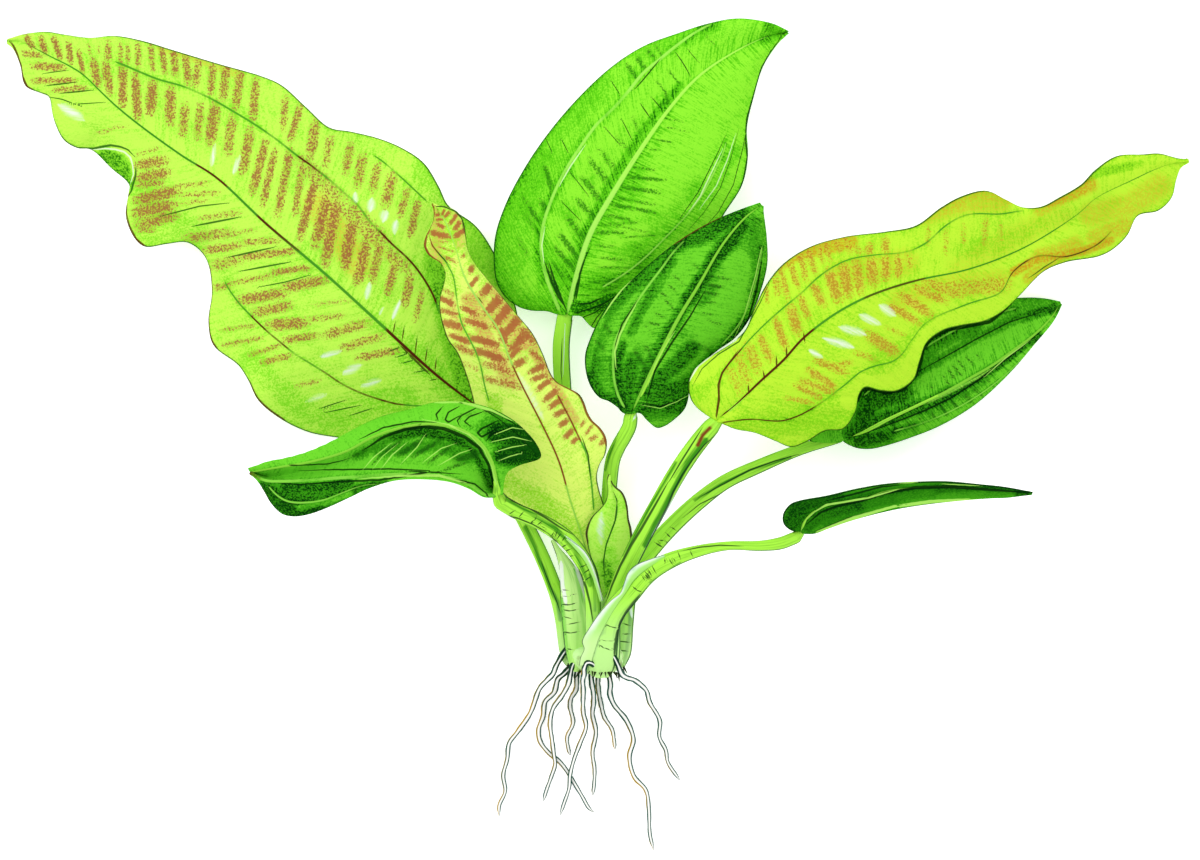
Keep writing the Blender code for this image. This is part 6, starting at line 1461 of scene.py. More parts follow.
def leaf_finish(name, light, tones, roughness):
    """Living leaf tissue: green, painted shade by the veins, grainy bars of pigment, painted highlights."""
    material, tree, shader = new_finish(name, roughness, 0.0)
    names = ("cycle", "out", "rib", "vein", "edge", "along", "bar", "shade", "warm", "stain", "glow",
             "underside")
    field = {f: add(tree, "ShaderNodeAttribute", {}, "Fac", attribute_name=f) for f in names}
    tone = {key: held_back(value) for key, value in tones.items() if isinstance(value, str)}
    place = add(tree, "ShaderNodeTexCoord", {}, "Object")
    # Cell clusters 0.8 mm across break up the pigment, and patches of 12 mm vary the green
    grain = add(tree, "ShaderNodeTexNoise",
                {"Vector": place, "Scale": 1250.0, "Detail": 2.0, "Roughness": 0.7})
    speck = add(tree, "ShaderNodeMapRange", {0: grain, 1: 0.4, 2: 0.6}, interpolation_type="SMOOTHSTEP")
    patch = add(tree, "ShaderNodeTexNoise",
                {"Vector": place, "Scale": 60.0, "Detail": 3.0, "Roughness": 0.55})
    # Strokes that follow the cross veins and are about 8 mm long
    stroke_x = add(tree, "ShaderNodeMath", {0: field["cycle"], 1: tones["strokes"]}, operation="MULTIPLY")
    stroke_y = add(tree, "ShaderNodeMath", {0: field["out"], 1: 0.13}, operation="MULTIPLY")
    stroke_at = add(tree, "ShaderNodeCombineXYZ", {"X": stroke_x, "Y": stroke_y})
    stroke = add(tree, "ShaderNodeTexNoise", {"Vector": stroke_at, "Scale": 1.0, "Detail": 3.0})
    dark_stroke = add(tree, "ShaderNodeMapRange", {0: stroke, 1: 0.44, 2: 0.62},
                      interpolation_type="SMOOTHSTEP")
    # Depth of the green: random patches, painted shade from the shade touches, less where the light touches
    # pale it, and darker strokes near the veins and the midrib
    by_vein = add(tree, "ShaderNodeMapRange", {0: field["vein"], 1: 6.0, 2: 0.8},
                  interpolation_type="SMOOTHSTEP")
    by_rib = add(tree, "ShaderNodeMapRange", {0: field["out"], 1: 10.0, 2: 1.5},
                 interpolation_type="SMOOTHSTEP")
    near = add(tree, "ShaderNodeMath", {0: by_vein, 1: by_rib}, operation="MAXIMUM")
    near = add(tree, "ShaderNodeMath", {0: near, 1: tones["comb"], 2: tones["hatch"]},
               operation="MULTIPLY_ADD")
    depth = add(tree, "ShaderNodeMapRange", {0: patch, 1: 0.35, 2: 0.65, 3: 0.0, 4: 0.15},
                interpolation_type="SMOOTHSTEP")
    depth = add(tree, "ShaderNodeMath", {0: field["shade"], 1: 0.62, 2: depth}, operation="MULTIPLY_ADD",
                use_clamp=True)
    depth = add(tree, "ShaderNodeMath", {0: dark_stroke, 1: near, 2: depth}, operation="MULTIPLY_ADD")
    # Painted shade darkens the rim at the margin and the flanks beside the side veins and the midrib
    for source, start, full, most in (("edge", 3.0, 0.4, tones["rim"]), ("vein", 2.6, 0.6, tones["flank"]),
                                      ("rib", 3.2, 1.0, tones["flank"])):
        part = add(tree, "ShaderNodeMapRange", {0: field[source], 1: start, 2: full, 3: 0.0, 4: most},
                   interpolation_type="SMOOTHSTEP")
        depth = add(tree, "ShaderNodeMath", {0: depth, 1: part}, operation="ADD", use_clamp=True)
    grit = add(tree, "ShaderNodeMath", {0: depth, 1: 0.3, 2: 0.2}, operation="MULTIPLY_ADD")
    loose = add(tree, "ShaderNodeMath", {0: speck, 1: -0.5}, operation="ADD")
    depth = add(tree, "ShaderNodeMath", {0: loose, 1: grit, 2: depth}, operation="MULTIPLY_ADD")
    # Brown wash and bars, which break into specks towards their ends
    wash = add(tree, "ShaderNodeMath", {0: speck, 1: -0.5, 2: 1.0}, operation="MULTIPLY_ADD")
    wash = add(tree, "ShaderNodeMath", {0: field["warm"], 1: wash}, operation="MULTIPLY")
    bar = add(tree, "ShaderNodeMath", {0: speck, 1: -tones["grit"], 2: field["bar"]},
              operation="MULTIPLY_ADD")
    # Painted highlights, feathered along the cross veins
    feather = add(tree, "ShaderNodeMath", {0: stroke, 1: -0.5}, operation="ADD")
    painted_highlight = add(tree, "ShaderNodeMath", {0: feather, 1: 2.0, 2: field["glow"]}, operation="MULTIPLY_ADD")
    painted_highlight = add(tree, "ShaderNodeMath", {0: painted_highlight, 1: field["glow"]}, operation="MULTIPLY")
    # Side veins, midrib, margin and drawn lines, brown where they are stained
    outline = add(tree, "ShaderNodeMath", {0: field["stain"], 1: -0.45, 2: field["edge"]},
                  operation="MULTIPLY_ADD")
    faded = add(tree, "ShaderNodeMapRange", {0: patch, 1: 0.38, 2: 0.52, 3: 0.45, 4: 1.0})
    midrib = painted(tree, tone["rib_base"], [(field["along"], 0.2, 0.6, 1.0, tone["rib_tip"])])
    stained = {"vein": tone["vein"], "rib": midrib, "margin": tone["margin"], "ink": tone["ink"]}
    for key, green in stained.items():
        stained[key] = painted(tree, green, [(field["stain"], 0.0, 1.0, 1.0, tone["stain"])])
    colour = painted(tree, held_back(light), [
        (depth, 0.0, 0.5, 1.0, tone["mid"]),
        (depth, 0.5, 1.0, 1.0, tone["deep"]),
        (wash, 0.0, 1.0, 1.0, tone["warm"]),
        (field["bar"], 0.1, 1.0, tones["washed"], tone["wash"]),
        (bar, -0.05, 0.4, tones["bars"], tone["bar"]),
        (painted_highlight, 0.1, 1.5, 1.0, tone["glow"]),
        (field["vein"], 0.75, 0.3, faded, stained["vein"]),
        (field["rib"], 1.3, 0.7, 1.0, stained["rib"]),
        (outline, 0.9, 0.4, 0.95, stained["margin"]),
        (drawn_line(tree, "ink"), 1.3, 0.6, 0.92, stained["ink"]),
        (drawn_line(tree, "pale"), 1.3, 0.6, 0.9, tone["pale"]),
        (field["underside"], 0.0, 1.0, 0.45, tone["under"]),
    ])
    # Fine veins and cells stand 0.05 mm proud
    relief = add(tree, "ShaderNodeMath", {0: stroke, 1: grain}, operation="ADD")
    coat(tree, shader, colour, relief, 0.2)
    return material


def stalk_finish(name, light, tones):
    """Moist stalk tissue: soft lengthwise streaks over ridges, darker sides, cross walls, a paler base."""
    material, tree, shader = new_finish(name, 0.5, 0.08)
    names = ("along", "shade", "stain")
    field = {f: add(tree, "ShaderNodeAttribute", {}, "Fac", attribute_name=f) for f in names}
    tone = {key: held_back(value) for key, value in tones.items()}
    round_at = add(tree, "ShaderNodeAttribute", {}, "Vector", attribute_name="round")
    place = add(tree, "ShaderNodeTexCoord", {}, "Object")
    where = add(tree, "ShaderNodeSeparateXYZ", {0: place}, "Y")
    around = add(tree, "ShaderNodeSeparateXYZ", {0: round_at}, "X")
    # Streaks about 1 mm wide and 30 mm long follow the bundles
    stretch = add(tree, "ShaderNodeVectorMath", {0: round_at, 1: (3.4, 3.4, 0.0)}, operation="MULTIPLY")
    lengthwise = add(tree, "ShaderNodeMath", {0: field["along"], 1: 0.035}, operation="MULTIPLY")
    lift = add(tree, "ShaderNodeCombineXYZ", {"Z": lengthwise})
    streak_at = add(tree, "ShaderNodeVectorMath", {0: stretch, 1: lift}, operation="ADD")
    streaks = add(tree, "ShaderNodeTexNoise", {"Vector": streak_at, "Scale": 1.4, "Detail": 2.0})
    depth = add(tree, "ShaderNodeMapRange", {0: streaks, 1: 0.45, 2: 0.68, 3: 0.0, 4: 0.4},
                interpolation_type="SMOOTHSTEP")
    # Painted shade from the shade touches deepens the green, and painted light from the light touches pales
    # it
    depth = add(tree, "ShaderNodeMath", {0: field["shade"], 1: 0.85, 2: depth}, operation="MULTIPLY_ADD")
    # Darker sides, stronger in some stretches than in others
    side = add(tree, "ShaderNodeMath", {0: around}, operation="ABSOLUTE")
    unevenly = add(tree, "ShaderNodeTexNoise", {"Vector": place, "Scale": 40.0, "Detail": 1.0})
    unevenly = add(tree, "ShaderNodeMapRange", {0: unevenly, 1: 0.35, 2: 0.6, 3: 0.6, 4: 0.95})
    colour = painted(tree, held_back(light), [
        (depth, 0.0, 1.0, 1.0, tone["deep"]),
        (where, -0.06, -0.09, 0.7, tone["base"]),
        (side, 0.86, 0.97, unevenly, tone["side"]),
        (field["stain"], 0.0, 1.0, 1.0, tone["stain"]),
        (drawn_line(tree, "pale"), 1.5, 0.4, 0.85, tone["pale"]),
        (drawn_line(tree, "ink"), 1.3, 0.6, 0.9, tone["ink"]),
    ])
    coat(tree, shader, colour, streaks, 0.4)
    return material


def root_finish(name, light):
    """Fresh water roots: white tissue, brown to grey-green along the sides, and a dark collar."""
    material, tree, shader = new_finish(name, 0.5, 0.03)
    round_at = add(tree, "ShaderNodeAttribute", {}, "Vector", attribute_name="round")
    place = add(tree, "ShaderNodeTexCoord", {}, "Object")
    around = add(tree, "ShaderNodeSeparateXYZ", {0: round_at}, "X")
    side = add(tree, "ShaderNodeMath", {0: around}, operation="ABSOLUTE")
    along = add(tree, "ShaderNodeAttribute", {}, "Fac", attribute_name="along")
    # The side colour is wider and darker at the head of the root
    head = add(tree, "ShaderNodeMapRange", {0: along, 1: 11.0, 2: 5.0, 3: 0.0, 4: 0.25})
    side = add(tree, "ShaderNodeMath", {0: side, 1: head}, operation="ADD")
    # The side colour changes from brown to grey-green every 25 mm or so, and is greener on the right side
    stain = add(tree, "ShaderNodeTexNoise", {"Vector": place, "Scale": 38.0, "Detail": 2.0})
    greener = add(tree, "ShaderNodeMath", {0: stain, 1: -4.0, 2: around}, operation="MULTIPLY_ADD")
    side_colour = painted(tree, held_back("#A88A1C"), [
        (greener, -1.1, -1.5, 1.0, held_back("#085242")),
        (along, 14.0, 6.0, 1.0, held_back("#0C3C22")),
    ])
    colour = painted(tree, held_back(light), [
        (side, 0.32, 0.54, 1.0, side_colour),
        (along, 3.0, 1.2, 0.9, held_back("#12301C")),
    ])
    grain = add(tree, "ShaderNodeTexNoise", {"Vector": place, "Scale": 900.0, "Detail": 2.0})
    coat(tree, shader, colour, grain, 0.3)
    return material


def tissue_finish(name, colour, patches, scale, roughness):
    """Plain plant tissue with patches and specks of a second tone."""
    material, tree, shader = new_finish(name, roughness, 0.1)
    place = add(tree, "ShaderNodeTexCoord", {}, "Object")
    patch = add(tree, "ShaderNodeTexNoise", {"Vector": place, "Scale": scale, "Detail": 4.0})
    mixed = painted(tree, held_back(colour), [(patch, 0.45, 0.7, 1.0, held_back(patches))])
    coat(tree, shader, mixed, patch, 0.3)
    return material


def membrane_finish(name, light):
    """Dry leaf membrane: white paper with faint folds and their bluish painted shade, green where it
    joins the stalk and at its base, and dark on its free edge."""
    material, tree, shader = new_finish(name, 0.6, 0.1)
    place = add(tree, "ShaderNodeTexCoord", {}, "Object")
    where = add(tree, "ShaderNodeSeparateXYZ", {0: place}, "Y")
    free_edge = add(tree, "ShaderNodeAttribute", {}, "Fac", attribute_name="free_edge")
    fold_relief_and_shade = add(tree, "ShaderNodeTexNoise", {"Vector": place, "Scale": 160.0, "Detail": 3.0})
    across = add(tree, "ShaderNodeAttribute", {}, "Fac", attribute_name="across")
    colour = painted(tree, held_back(light), [
        # Bluish painted shade in patches, where the faint folds lie
        (fold_relief_and_shade, 0.48, 0.7, 0.8, held_back("#B4E0BC")),
        (across, 0.85, 0.35, 0.9, held_back("#A2EA5C")),
        (where, -0.074, -0.084, 0.9, held_back("#CDF8A0")),
        (free_edge, 0.6, 0.2, 0.9, held_back("#24402C")),
    ])
    coat(tree, shader, colour, fold_relief_and_shade, 0.3, distance=0.0003)
    return material


# Tones of the stalks and sheaths beside their lightest one, as sRGB hex

STALK_TONES = dict(
    deep="#38900F", base="#C9F6A4", side="#1C5A1A", stain="#7A2E14", pale="#E8FBF0", ink="#0A3810")
SHEATH_TONES = dict(
    deep="#4CC020", base="#B0F070", side="#2E7A2C", stain="#7A2E14", pale="#FCFFFC", ink="#123A18")


# Sweeps


def new_tree(name, inputs):
    """An empty tree of geometry nodes that starts from a mesh, and what its inputs give."""
    tree = bpy.data.node_groups.new(name, "GeometryNodeTree")
    tree.interface.new_socket("Start", in_out="INPUT", socket_type="NodeSocketGeometry")
    for label, kind, default in inputs:
        socket = tree.interface.new_socket(label, in_out="INPUT", socket_type=kind)
        socket.default_value = default
    tree.interface.new_socket("Result", in_out="OUTPUT", socket_type="NodeSocketGeometry")
    return tree, tree.nodes.new("NodeGroupInput").outputs


def end_tree(tree, geometry, material):
    """Ends a tree of geometry nodes with its instances made real and its material set."""
    real = add(tree, "GeometryNodeRealizeInstances", {"Geometry": geometry})
    dressed = add(tree, "GeometryNodeSetMaterial", {"Geometry": real, "Material": material})
    result = tree.nodes.new("NodeGroupOutput")
    tree.links.new(dressed, result.inputs["Result"])
    return tree


def sweep_tree(name, material):
    """Nodes that sweep an oval, ridged section along a path that carries its half sizes and directions."""
    tree, given = new_tree(name, [
        ("Sides", "NodeSocketInt", 24),
        ("Ridge Count", "NodeSocketInt", 5),
        ("Ridge Share", "NodeSocketFloat", 0.03),
    ])
    path = add(tree, "GeometryNodeMeshToCurve", {"Mesh": given["Start"]})
    ring = add(tree, "GeometryNodeCurvePrimitiveCircle", {"Resolution": given["Sides"], "Radius": 1.0},
               mode="RADIUS")
    swept = add(tree, "GeometryNodeCurveToMesh", {"Curve": path, "Profile Curve": ring, "Fill Caps": True})
    centre, sideways, upward = (
        add(tree, "GeometryNodeInputNamedAttribute", {"Name": field}, data_type="FLOAT_VECTOR")
        for field in ("centre", "sideways", "upward"))
    half_width, half_depth = (
        add(tree, "GeometryNodeInputNamedAttribute", {"Name": field}, data_type="FLOAT")
        for field in ("half_width", "half_depth"))
    position = add(tree, "GeometryNodeInputPosition", {})
    offset = add(tree, "ShaderNodeVectorMath", {0: position, 1: centre}, operation="SUBTRACT")
    x = add(tree, "ShaderNodeVectorMath", {0: offset, 1: sideways}, "Value", operation="DOT_PRODUCT")
    y = add(tree, "ShaderNodeVectorMath", {0: offset, 1: upward}, "Value", operation="DOT_PRODUCT")
    angle = add(tree, "ShaderNodeMath", {0: y, 1: x}, operation="ARCTAN2")
    turns = add(tree, "ShaderNodeMath", {0: angle, 1: given["Ridge Count"]}, operation="MULTIPLY")
    wave = add(tree, "ShaderNodeMath", {0: turns}, operation="COSINE")
    ridge = add(tree, "ShaderNodeMath", {0: wave, 1: given["Ridge Share"], 2: 1.0},
                operation="MULTIPLY_ADD")
    reach_x = add(tree, "ShaderNodeMath", {0: x, 1: half_width}, operation="MULTIPLY")
    reach_x = add(tree, "ShaderNodeMath", {0: reach_x, 1: ridge}, operation="MULTIPLY")
    reach_y = add(tree, "ShaderNodeMath", {0: y, 1: half_depth}, operation="MULTIPLY")
    reach_y = add(tree, "ShaderNodeMath", {0: reach_y, 1: ridge}, operation="MULTIPLY")
    move_x = add(tree, "ShaderNodeVectorMath", {0: sideways, "Scale": reach_x}, operation="SCALE")
    move_y = add(tree, "ShaderNodeVectorMath", {0: upward, "Scale": reach_y}, operation="SCALE")
    moved = add(tree, "ShaderNodeVectorMath", {0: centre, 1: move_x}, operation="ADD")
    moved = add(tree, "ShaderNodeVectorMath", {0: moved, 1: move_y}, operation="ADD")
    round_at = add(tree, "ShaderNodeCombineXYZ", {"X": x, "Y": y})
    kept = add(tree, "GeometryNodeStoreNamedAttribute",
               {"Geometry": swept, "Name": "round", "Value": round_at},
               data_type="FLOAT_VECTOR", domain="POINT")
    shaped = add(tree, "GeometryNodeSetPosition", {"Geometry": kept, "Position": moved})
    shaped = add(tree, "GeometryNodeSetShadeSmooth", {"Geometry": shaped, "Shade Smooth": True})
    return end_tree(tree, shaped, material)


def made_by_nodes(name, mesh, tree, values):
    """The plain mesh that a node tree makes of a starting mesh."""
    start = placed(name + "_start", mesh)
    modifier = start.modifiers.new("Grow", "NODES")
    modifier.node_group = tree
    for item in tree.interface.items_tree:
        if item.name in values:
            modifier[item.identifier] = values[item.name]
    evaluated = start.evaluated_get(bpy.context.evaluated_depsgraph_get())
    grown = bpy.data.meshes.new_from_object(evaluated)
    grown.name = name
    bpy.data.objects.remove(start, do_unlink=True)
    return grown


def path_mesh(name, stations):
    """A path of edges whose points carry the directions and half sizes of a sweep."""
    centres = in_metres(stations[:, :3])
    forward = unit(np.gradient(centres, axis=0))
    sideways = unit(np.cross(forward, (0.0, 0.0, 1.0)))
    mesh = new_mesh(name + "_path", centres, edges=[(i, i + 1) for i in range(len(centres) - 1)])
    set_field(mesh, "centre", centres)
    set_field(mesh, "sideways", sideways)
    set_field(mesh, "upward", np.cross(sideways, forward))
    set_field(mesh, "half_width", stations[:, 3] / 2 * MM)
    set_field(mesh, "half_depth", stations[:, 4] / 2 * MM)
    set_field(mesh, "along", run_length(stations[:, :3]))
    return mesh


def seen_from_above(mesh):
    """The places of a mesh's points on the plan, in millimetres from the middle of the plant."""
    points = np.empty(len(mesh.vertices) * 3, np.float32)
    mesh.vertices.foreach_get("co", points)
    return points.reshape(-1, 3)[:, :2].astype(float) / MM - PLANT_MIDDLE


def stalk_stations(route, rib, share, last_width, steps):
    """The rings of a stalk: its own route, and then its run along the blade, thinning into the midrib."""
    stations = evenly(route, steps)
    if rib is None:
        return stations
    line = evenly(rib, RIB_STEPS)[1:max(2, round(RIB_STEPS * share))]
    thin = smooth_step(np.linspace(0.0, 1.0, len(line)), -0.4, 1.0)
    width = stations[-1, 3] * 0.85 + (last_width - stations[-1, 3] * 0.85) * thin
    depth = stations[-1, 4] * 0.8 + (0.8 - stations[-1, 4] * 0.8) * thin
    ahead = np.column_stack([line[:, :2], line[:, 2] + 0.55 - depth / 2, width, depth])
    return np.vstack([stations, ahead])


def root_stations(route, settings):
    """The rings of a root, from its full width to its tip."""
    centres = evenly(route, settings.steps)
    share = np.linspace(0.0, 1.0, len(centres))
    width = ROOT_WIDTH + (ROOT_END_WIDTH - ROOT_WIDTH) * share
    # Long and short swellings along the root, and then the narrow tip
    width *= 1 + 0.07 * np.sin(share * 41) + 0.05 * np.sin(share * 97 + 1.3)
    width *= 1 - 0.6 * smooth_step(share, 0.95, 1.0)
    centres[:, 2] = np.maximum(centres[:, 2], width / 2 * 1.04)
    return np.column_stack([centres, width, width])


def fringe_tree(name, material):
    """Nodes that hang a tapered fibre from each point of a line, along the direction that it carries."""
    tree, given = new_tree(name, [
        ("Fibre Length", "NodeSocketFloat", 0.004),
        ("Fibre Width", "NodeSocketFloat", 0.001),
        ("Seed", "NodeSocketInt", 4),
    ])
    points = add(tree, "GeometryNodeMeshToPoints", {"Mesh": given["Start"]}, mode="VERTICES")
    root_radius = add(tree, "ShaderNodeMath", {0: given["Fibre Width"], 1: 0.5}, operation="MULTIPLY")
    tip_radius = add(tree, "ShaderNodeMath", {0: given["Fibre Width"], 1: 0.08}, operation="MULTIPLY")
    fibre = add(tree, "GeometryNodeMeshCone",
                {"Vertices": 7, "Side Segments": 3, "Radius Top": tip_radius, "Radius Bottom": root_radius,
                 "Depth": given["Fibre Length"]})
    aim = add(tree, "GeometryNodeInputNamedAttribute", {"Name": "aim"}, data_type="FLOAT_VECTOR")
    turn = add(tree, "FunctionNodeAlignRotationToVector", {"Vector": aim}, axis="Z")
    size = add(tree, "FunctionNodeRandomValue", {2: 0.25, 3: 1.3, "Seed": given["Seed"]}, 1,
               data_type="FLOAT")
    hung = add(tree, "GeometryNodeInstanceOnPoints",
               {"Points": points, "Instance": fibre, "Rotation": turn, "Scale": size})
    return end_tree(tree, hung, material)


def fringe_mesh(name):
    """The points that the dead fibres hang from, each with the direction in which its fibre hangs."""
    places = np.vstack([evenly(line, count) for count, line in FRINGE_LINES])
    # Every fibre hangs away from the leaves, splays from the crown's middle and wanders to one side
    wander = np.sin(np.arange(len(places)) * 2.4) * 0.5
    splay_x = (places[:, 0] - CROWN_CENTRE[0]) * 0.035 + wander
    splay_z = (places[:, 2] - CROWN_CENTRE[1]) * 0.03
    mesh = new_mesh(name, in_metres(places))
    set_field(mesh, "aim", unit(np.column_stack([splay_x, np.full(len(places), -1.0), splay_z])))
    return mesh


# Operators


class ECHINODORUS_OT_leaves(bpy.types.Operator):
    """Grow the nine leaf blades"""

    bl_idname = "echinodorus.leaves"
    bl_label = "Leaves"

    def execute(self, context):
        settings = context.scene.echinodorus.leaf
        finishes = {
            # Thin leaf grown under water: translucent yellow-green with grainy brown bars
            SUBMERSED: leaf_finish(
                "submersed_leaf_tissue", settings.submersed_colour, TONES[SUBMERSED], THIN_LEAF_ROUGHNESS),
            # The same leaf when it ages: yellower
            AGEING: leaf_finish(
                "ageing_leaf_tissue", settings.ageing_colour, TONES[AGEING], THIN_LEAF_ROUGHNESS),
            # The same leaf when newly grown: close red-brown bars on pale green
            STRIPED: leaf_finish(
                "banded_young_leaf_tissue", settings.striped_colour, TONES[STRIPED], THIN_LEAF_ROUGHNESS),
            # Leathery leaf grown in air: bright green with pale veins and dark strokes between them
            EMERSED: leaf_finish(
                "bright_air_leaf_tissue", settings.emersed_colour, TONES[EMERSED], AIR_LEAF_ROUGHNESS),
            # The same leaf in shade: deep green
            DARK: leaf_finish(
                "dark_air_leaf_tissue", settings.dark_colour, TONES[DARK], AIR_LEAF_ROUGHNESS),
            # The same leaf where it arches over into the light: deep green with few strokes
            ARCHED: leaf_finish(
                "arched_leaf_tissue", settings.arched_colour, TONES[ARCHED], AIR_LEAF_ROUGHNESS),
            # The same leaf in deep shade: plain dark green with a bright margin
            SHADED: leaf_finish(
                "deep_shade_leaf_tissue", settings.shaded_colour, TONES[SHADED], AIR_LEAF_ROUGHNESS),
            # Half-rolled leaf: fresh light green with a purple-brown edge
            YOUNG: leaf_finish(
                "unrolling_leaf_tissue", settings.young_colour, TONES[YOUNG], AIR_LEAF_ROUGHNESS),
        }
        for blade in BLADES:
            node, finish = blade[0], blade[-1]
            mesh = shell_mesh(node + "_shape", *blade_shape(blade, settings))
            add_piece(node.replace("_blade", "") + "_veined", mesh, finishes[finish], node)
        return {"FINISHED"}


class ECHINODORUS_OT_stalks(bpy.types.Operator):
    """Grow the stalks, which run on into the midribs"""

    bl_idname = "echinodorus.stalks"
    bl_label = "Stalks"

    def execute(self, context):
        settings = context.scene.echinodorus.stalk
        finishes = {
            # Moist leaf stalk: light green with dark sides, watery pale at the crown
            "stalk": stalk_finish("moist_stalk_tissue", settings.stalk_colour, STALK_TONES),
            # Old leaf base: nearly white and papery, with faint green bundles
            "sheath": stalk_finish("papery_sheath_tissue", settings.sheath_colour, SHEATH_TONES),
        }
        slots = {"striped_stalk": "sheath", "young_stalk": "sheath", "outer_sheath": "sheath"}
        trees = {slot: sweep_tree(slot + "_sweep", finish) for slot, finish in finishes.items()}
        for node, route, rib, share, last_width in STALKS:
            stations = stalk_stations(route, rib, share, last_width, settings.steps)
            slot = slots.get(node, "stalk")
            mesh = made_by_nodes(node + "_shape", path_mesh(node, stations), trees[slot], {
                "Sides": settings.sides,
                "Ridge Count": settings.ridge_count,
                "Ridge Share": settings.ridge_share,
            })
            fields = touch_fields(seen_from_above(mesh), STALK_TOUCHES.get(node, {}), [])
            for field, values in fields.items():
                set_field(mesh, field, values)
            add_piece(node + "_ribbed", mesh, finishes[slot], node)
        return {"FINISHED"}


class ECHINODORUS_OT_membranes(bpy.types.Operator):
    """Grow the papery membranes at the bases of two stalks"""

    bl_idname = "echinodorus.membranes"
    bl_label = "Membranes"

    def execute(self, context):
        settings = context.scene.echinodorus.stalk
        half = settings.membrane_thickness / MM / 2
        rows, columns = 90, 13
        shares = np.linspace(0.0, 1.0, columns)[None, :, None]
        # Dry leaf membrane: white paper with a dark free edge
        paper = membrane_finish("dry_membrane", settings.membrane_colour)
        for name, grown, free in MEMBRANES:
            start, end = evenly(grown, rows), evenly(free, rows)
            grid = start[:, None, :] + (end - start)[:, None, :] * shares
            grid[:, :, 2] += 0.5 * np.sin(np.pi * shares[:, :, 0])
            normal = unit(np.cross(np.gradient(grid, axis=1), np.gradient(grid, axis=0)) + 1e-9)
            free_edge = np.linalg.norm(grid - end[:, None, :], axis=2)
            fields = {"free_edge": free_edge, "across": np.broadcast_to(shares[:, :, 0], free_edge.shape)}
            mesh = shell_mesh(name + "_shape", grid, grid + normal * half, grid - normal * half, fields)
            add_piece(name, mesh, paper, None)
        return {"FINISHED"}


class ECHINODORUS_OT_crown(bpy.types.Operator):
    """Grow the fleshy crown and the dead fibres round its base"""

    bl_idname = "echinodorus.crown"
    bl_label = "Crown"

    def execute(self, context):
        settings = context.scene.echinodorus.root
        # Fleshy rootstock: pale green-white with brown scars
        flesh = tissue_finish("fleshy_crown_tissue", settings.crown_colour, "#7E9A4A", 260.0, 0.5)
        segments = 96
        rings = evenly(CROWN_RINGS, 36)
        turn = np.linspace(0, 2 * np.pi, segments, endpoint=False)
        # The section is between round, at 2, and square, at a high number
        squareness = 2.8
        across = np.abs(np.cos(turn)) ** squareness + np.abs(np.sin(turn)) ** squareness
        reach = across ** (-1 / squareness)
        # Broad and narrow lumps run down the flesh, and every sixth ring is a scar
        lumps = 1 + 0.03 * np.sin(turn * 7 + 0.6) + 0.02 * np.sin(turn * 13 + 2.0)
        points = []
        for number, (y, w, h) in enumerate(rings):
            scar = 1 - 0.02 * (number % 6 == 0)
            x = CROWN_CENTRE[0] + w * reach * np.cos(turn) * lumps * scar
            z = CROWN_CENTRE[1] + h * reach * np.sin(turn) * scar * (1 + (lumps - 1) * 0.5)
            points.append(np.column_stack([x, np.full(segments, y), z]))
        loops = np.arange(len(rings) * segments).reshape(len(rings), segments)
        ahead = np.roll(loops, -1, axis=1)
        faces = np.stack([loops[:-1], ahead[:-1], ahead[1:], loops[1:]], axis=2).reshape(-1, 4).tolist()
        faces += [loops[0].tolist(), loops[-1].tolist()]
        mesh = new_mesh("crown_shape", in_metres(np.vstack(points)), faces=faces)
        face_outward(mesh)
        add_piece("crown_flesh", mesh, flesh, "crown")
        # Dead fibres: nearly black, dry and matt
        dry = tissue_finish("dead_fibre", settings.fringe_colour, "#46521E", 400.0, 0.7)
        tree = fringe_tree("fringe", dry)
        fringe = made_by_nodes("crown_fringe_shape", fringe_mesh("crown_fringe"), tree, {
            "Fibre Length": settings.fringe_length,
            "Fibre Width": settings.fringe_width,
        })
        fringe.shade_smooth()
        add_piece("crown_fringe", fringe, dry, None)
        return {"FINISHED"}


class ECHINODORUS_OT_roots(bpy.types.Operator):
    """Grow the nine roots"""

    bl_idname = "echinodorus.roots"
    bl_label = "Roots"

    def execute(self, context):
        settings = context.scene.echinodorus.root
        # Water root: smooth white tissue, brown and grey-green along its sides
        white = root_finish("water_root_tissue", settings.root_colour)
        tree = sweep_tree("root_sweep", white)
        for number, route in enumerate(ROOTS, start=1):
            stations = root_stations(route, settings)
            mesh = made_by_nodes(f"root_{number}_shape", path_mesh(f"root_{number}", stations), tree,
                                 {"Sides": settings.sides, "Ridge Count": 3, "Ridge Share": 0.03})
            add_piece(f"root_{number}_tapered", mesh, white, f"root_{number}")
        return {"FINISHED"}


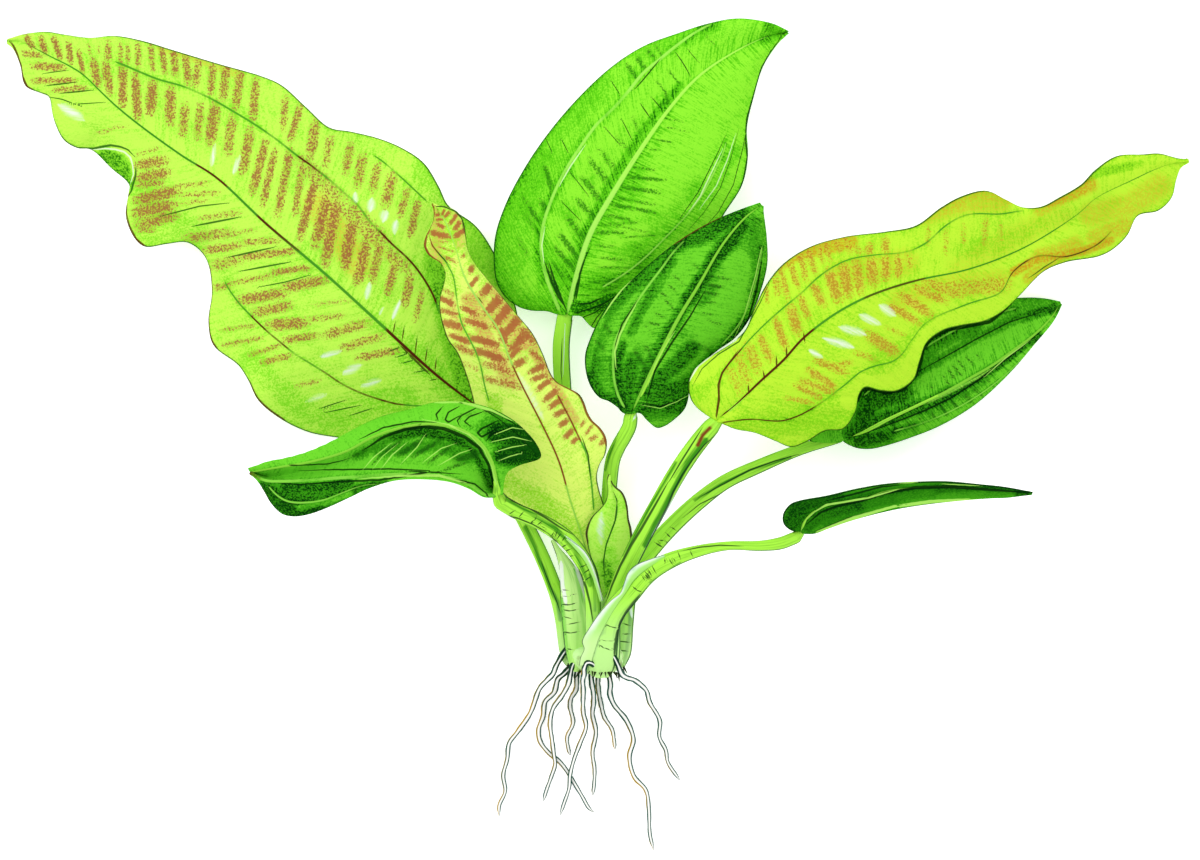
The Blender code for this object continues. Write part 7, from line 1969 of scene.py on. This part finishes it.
class ECHINODORUS_OT_stage(bpy.types.Operator):
    """Lay the white table, light it softly and place the camera above it"""

    bl_idname = "echinodorus.stage"
    bl_label = "Stage"

    def execute(self, context):
        settings = context.scene.echinodorus.stage
        scene = context.scene
        mesh = new_mesh("table_top", TABLE_CORNERS, faces=[(0, 1, 2, 3)])
        # Matt white light table: its own faint glow keeps the shadows pale
        material, _, shader = new_finish("matt_white_table", 0.9, 0.1)
        shader.inputs["Base Color"].default_value = (*settings.table_colour, 1.0)
        shader.inputs["Emission Color"].default_value = (1.0, 1.0, 1.0, 1.0)
        shader.inputs["Emission Strength"].default_value = settings.table_glow
        mesh.materials.append(material)
        table = placed("table", mesh)
        for name, size, power, (x, y, z) in LAMPS:
            light = bpy.data.lights.new(name, "AREA")
            light.shape = "SQUARE"
            light.size = size
            light.energy = power
            lamp = placed(name, light)
            lamp.location = (x, y, z)
            lamp.rotation_euler = (math.atan2(math.hypot(x, y), z), 0, math.atan2(y, x) + math.pi / 2)
        world = bpy.data.worlds.new("pale_room")
        world.use_nodes = True
        world.node_tree.nodes["Background"].inputs["Color"].default_value = (1, 1, 1, 1)
        world.node_tree.nodes["Background"].inputs["Strength"].default_value = settings.room_light
        scene.world = world
        scene.view_settings.view_transform = "Standard"
        camera = bpy.data.cameras.new("camera")
        camera.lens = settings.focal_length
        camera.sensor_width = 36
        camera.clip_end = 50
        viewer = placed("camera", camera)
        viewer.location = (PLANT_MIDDLE[0] * MM, PLANT_MIDDLE[1] * MM, settings.camera_height)
        scene.camera = viewer
        return {"FINISHED"}


class ECHINODORUS_PT_panel(bpy.types.Panel):
    """Lists the steps that grow the plant"""

    bl_idname = "ECHINODORUS_PT_panel"
    bl_label = "Echinodorus"
    bl_space_type = "VIEW_3D"
    bl_region_type = "UI"
    bl_category = "Echinodorus"

    def draw(self, context):
        settings = context.scene.echinodorus
        for group in (settings.leaf, settings.stalk, settings.root, settings.stage):
            box = self.layout.box()
            for name in group.__annotations__:
                box.prop(group, name)
        for step in STEPS:
            self.layout.operator(step.bl_idname)


STEPS = (ECHINODORUS_OT_leaves, ECHINODORUS_OT_stalks, ECHINODORUS_OT_membranes, ECHINODORUS_OT_crown,
         ECHINODORUS_OT_roots, ECHINODORUS_OT_stage)
CLASSES = (LeafSettings, StalkSettings, RootSettings, StageSettings, PlantSettings, *STEPS,
           ECHINODORUS_PT_panel)


def register():
    for each in CLASSES:
        bpy.utils.register_class(each)
    bpy.types.Scene.echinodorus = bpy.props.PointerProperty(type=PlantSettings)


def unregister():
    del bpy.types.Scene.echinodorus
    for each in reversed(CLASSES):
        bpy.utils.unregister_class(each)


def main():
    """Grows the whole plant."""
    register()
    bpy.ops.echinodorus.leaves()
    bpy.ops.echinodorus.stalks()
    bpy.ops.echinodorus.membranes()
    bpy.ops.echinodorus.crown()
    bpy.ops.echinodorus.roots()
    bpy.ops.echinodorus.stage()


if __name__ == "__main__":
    main()
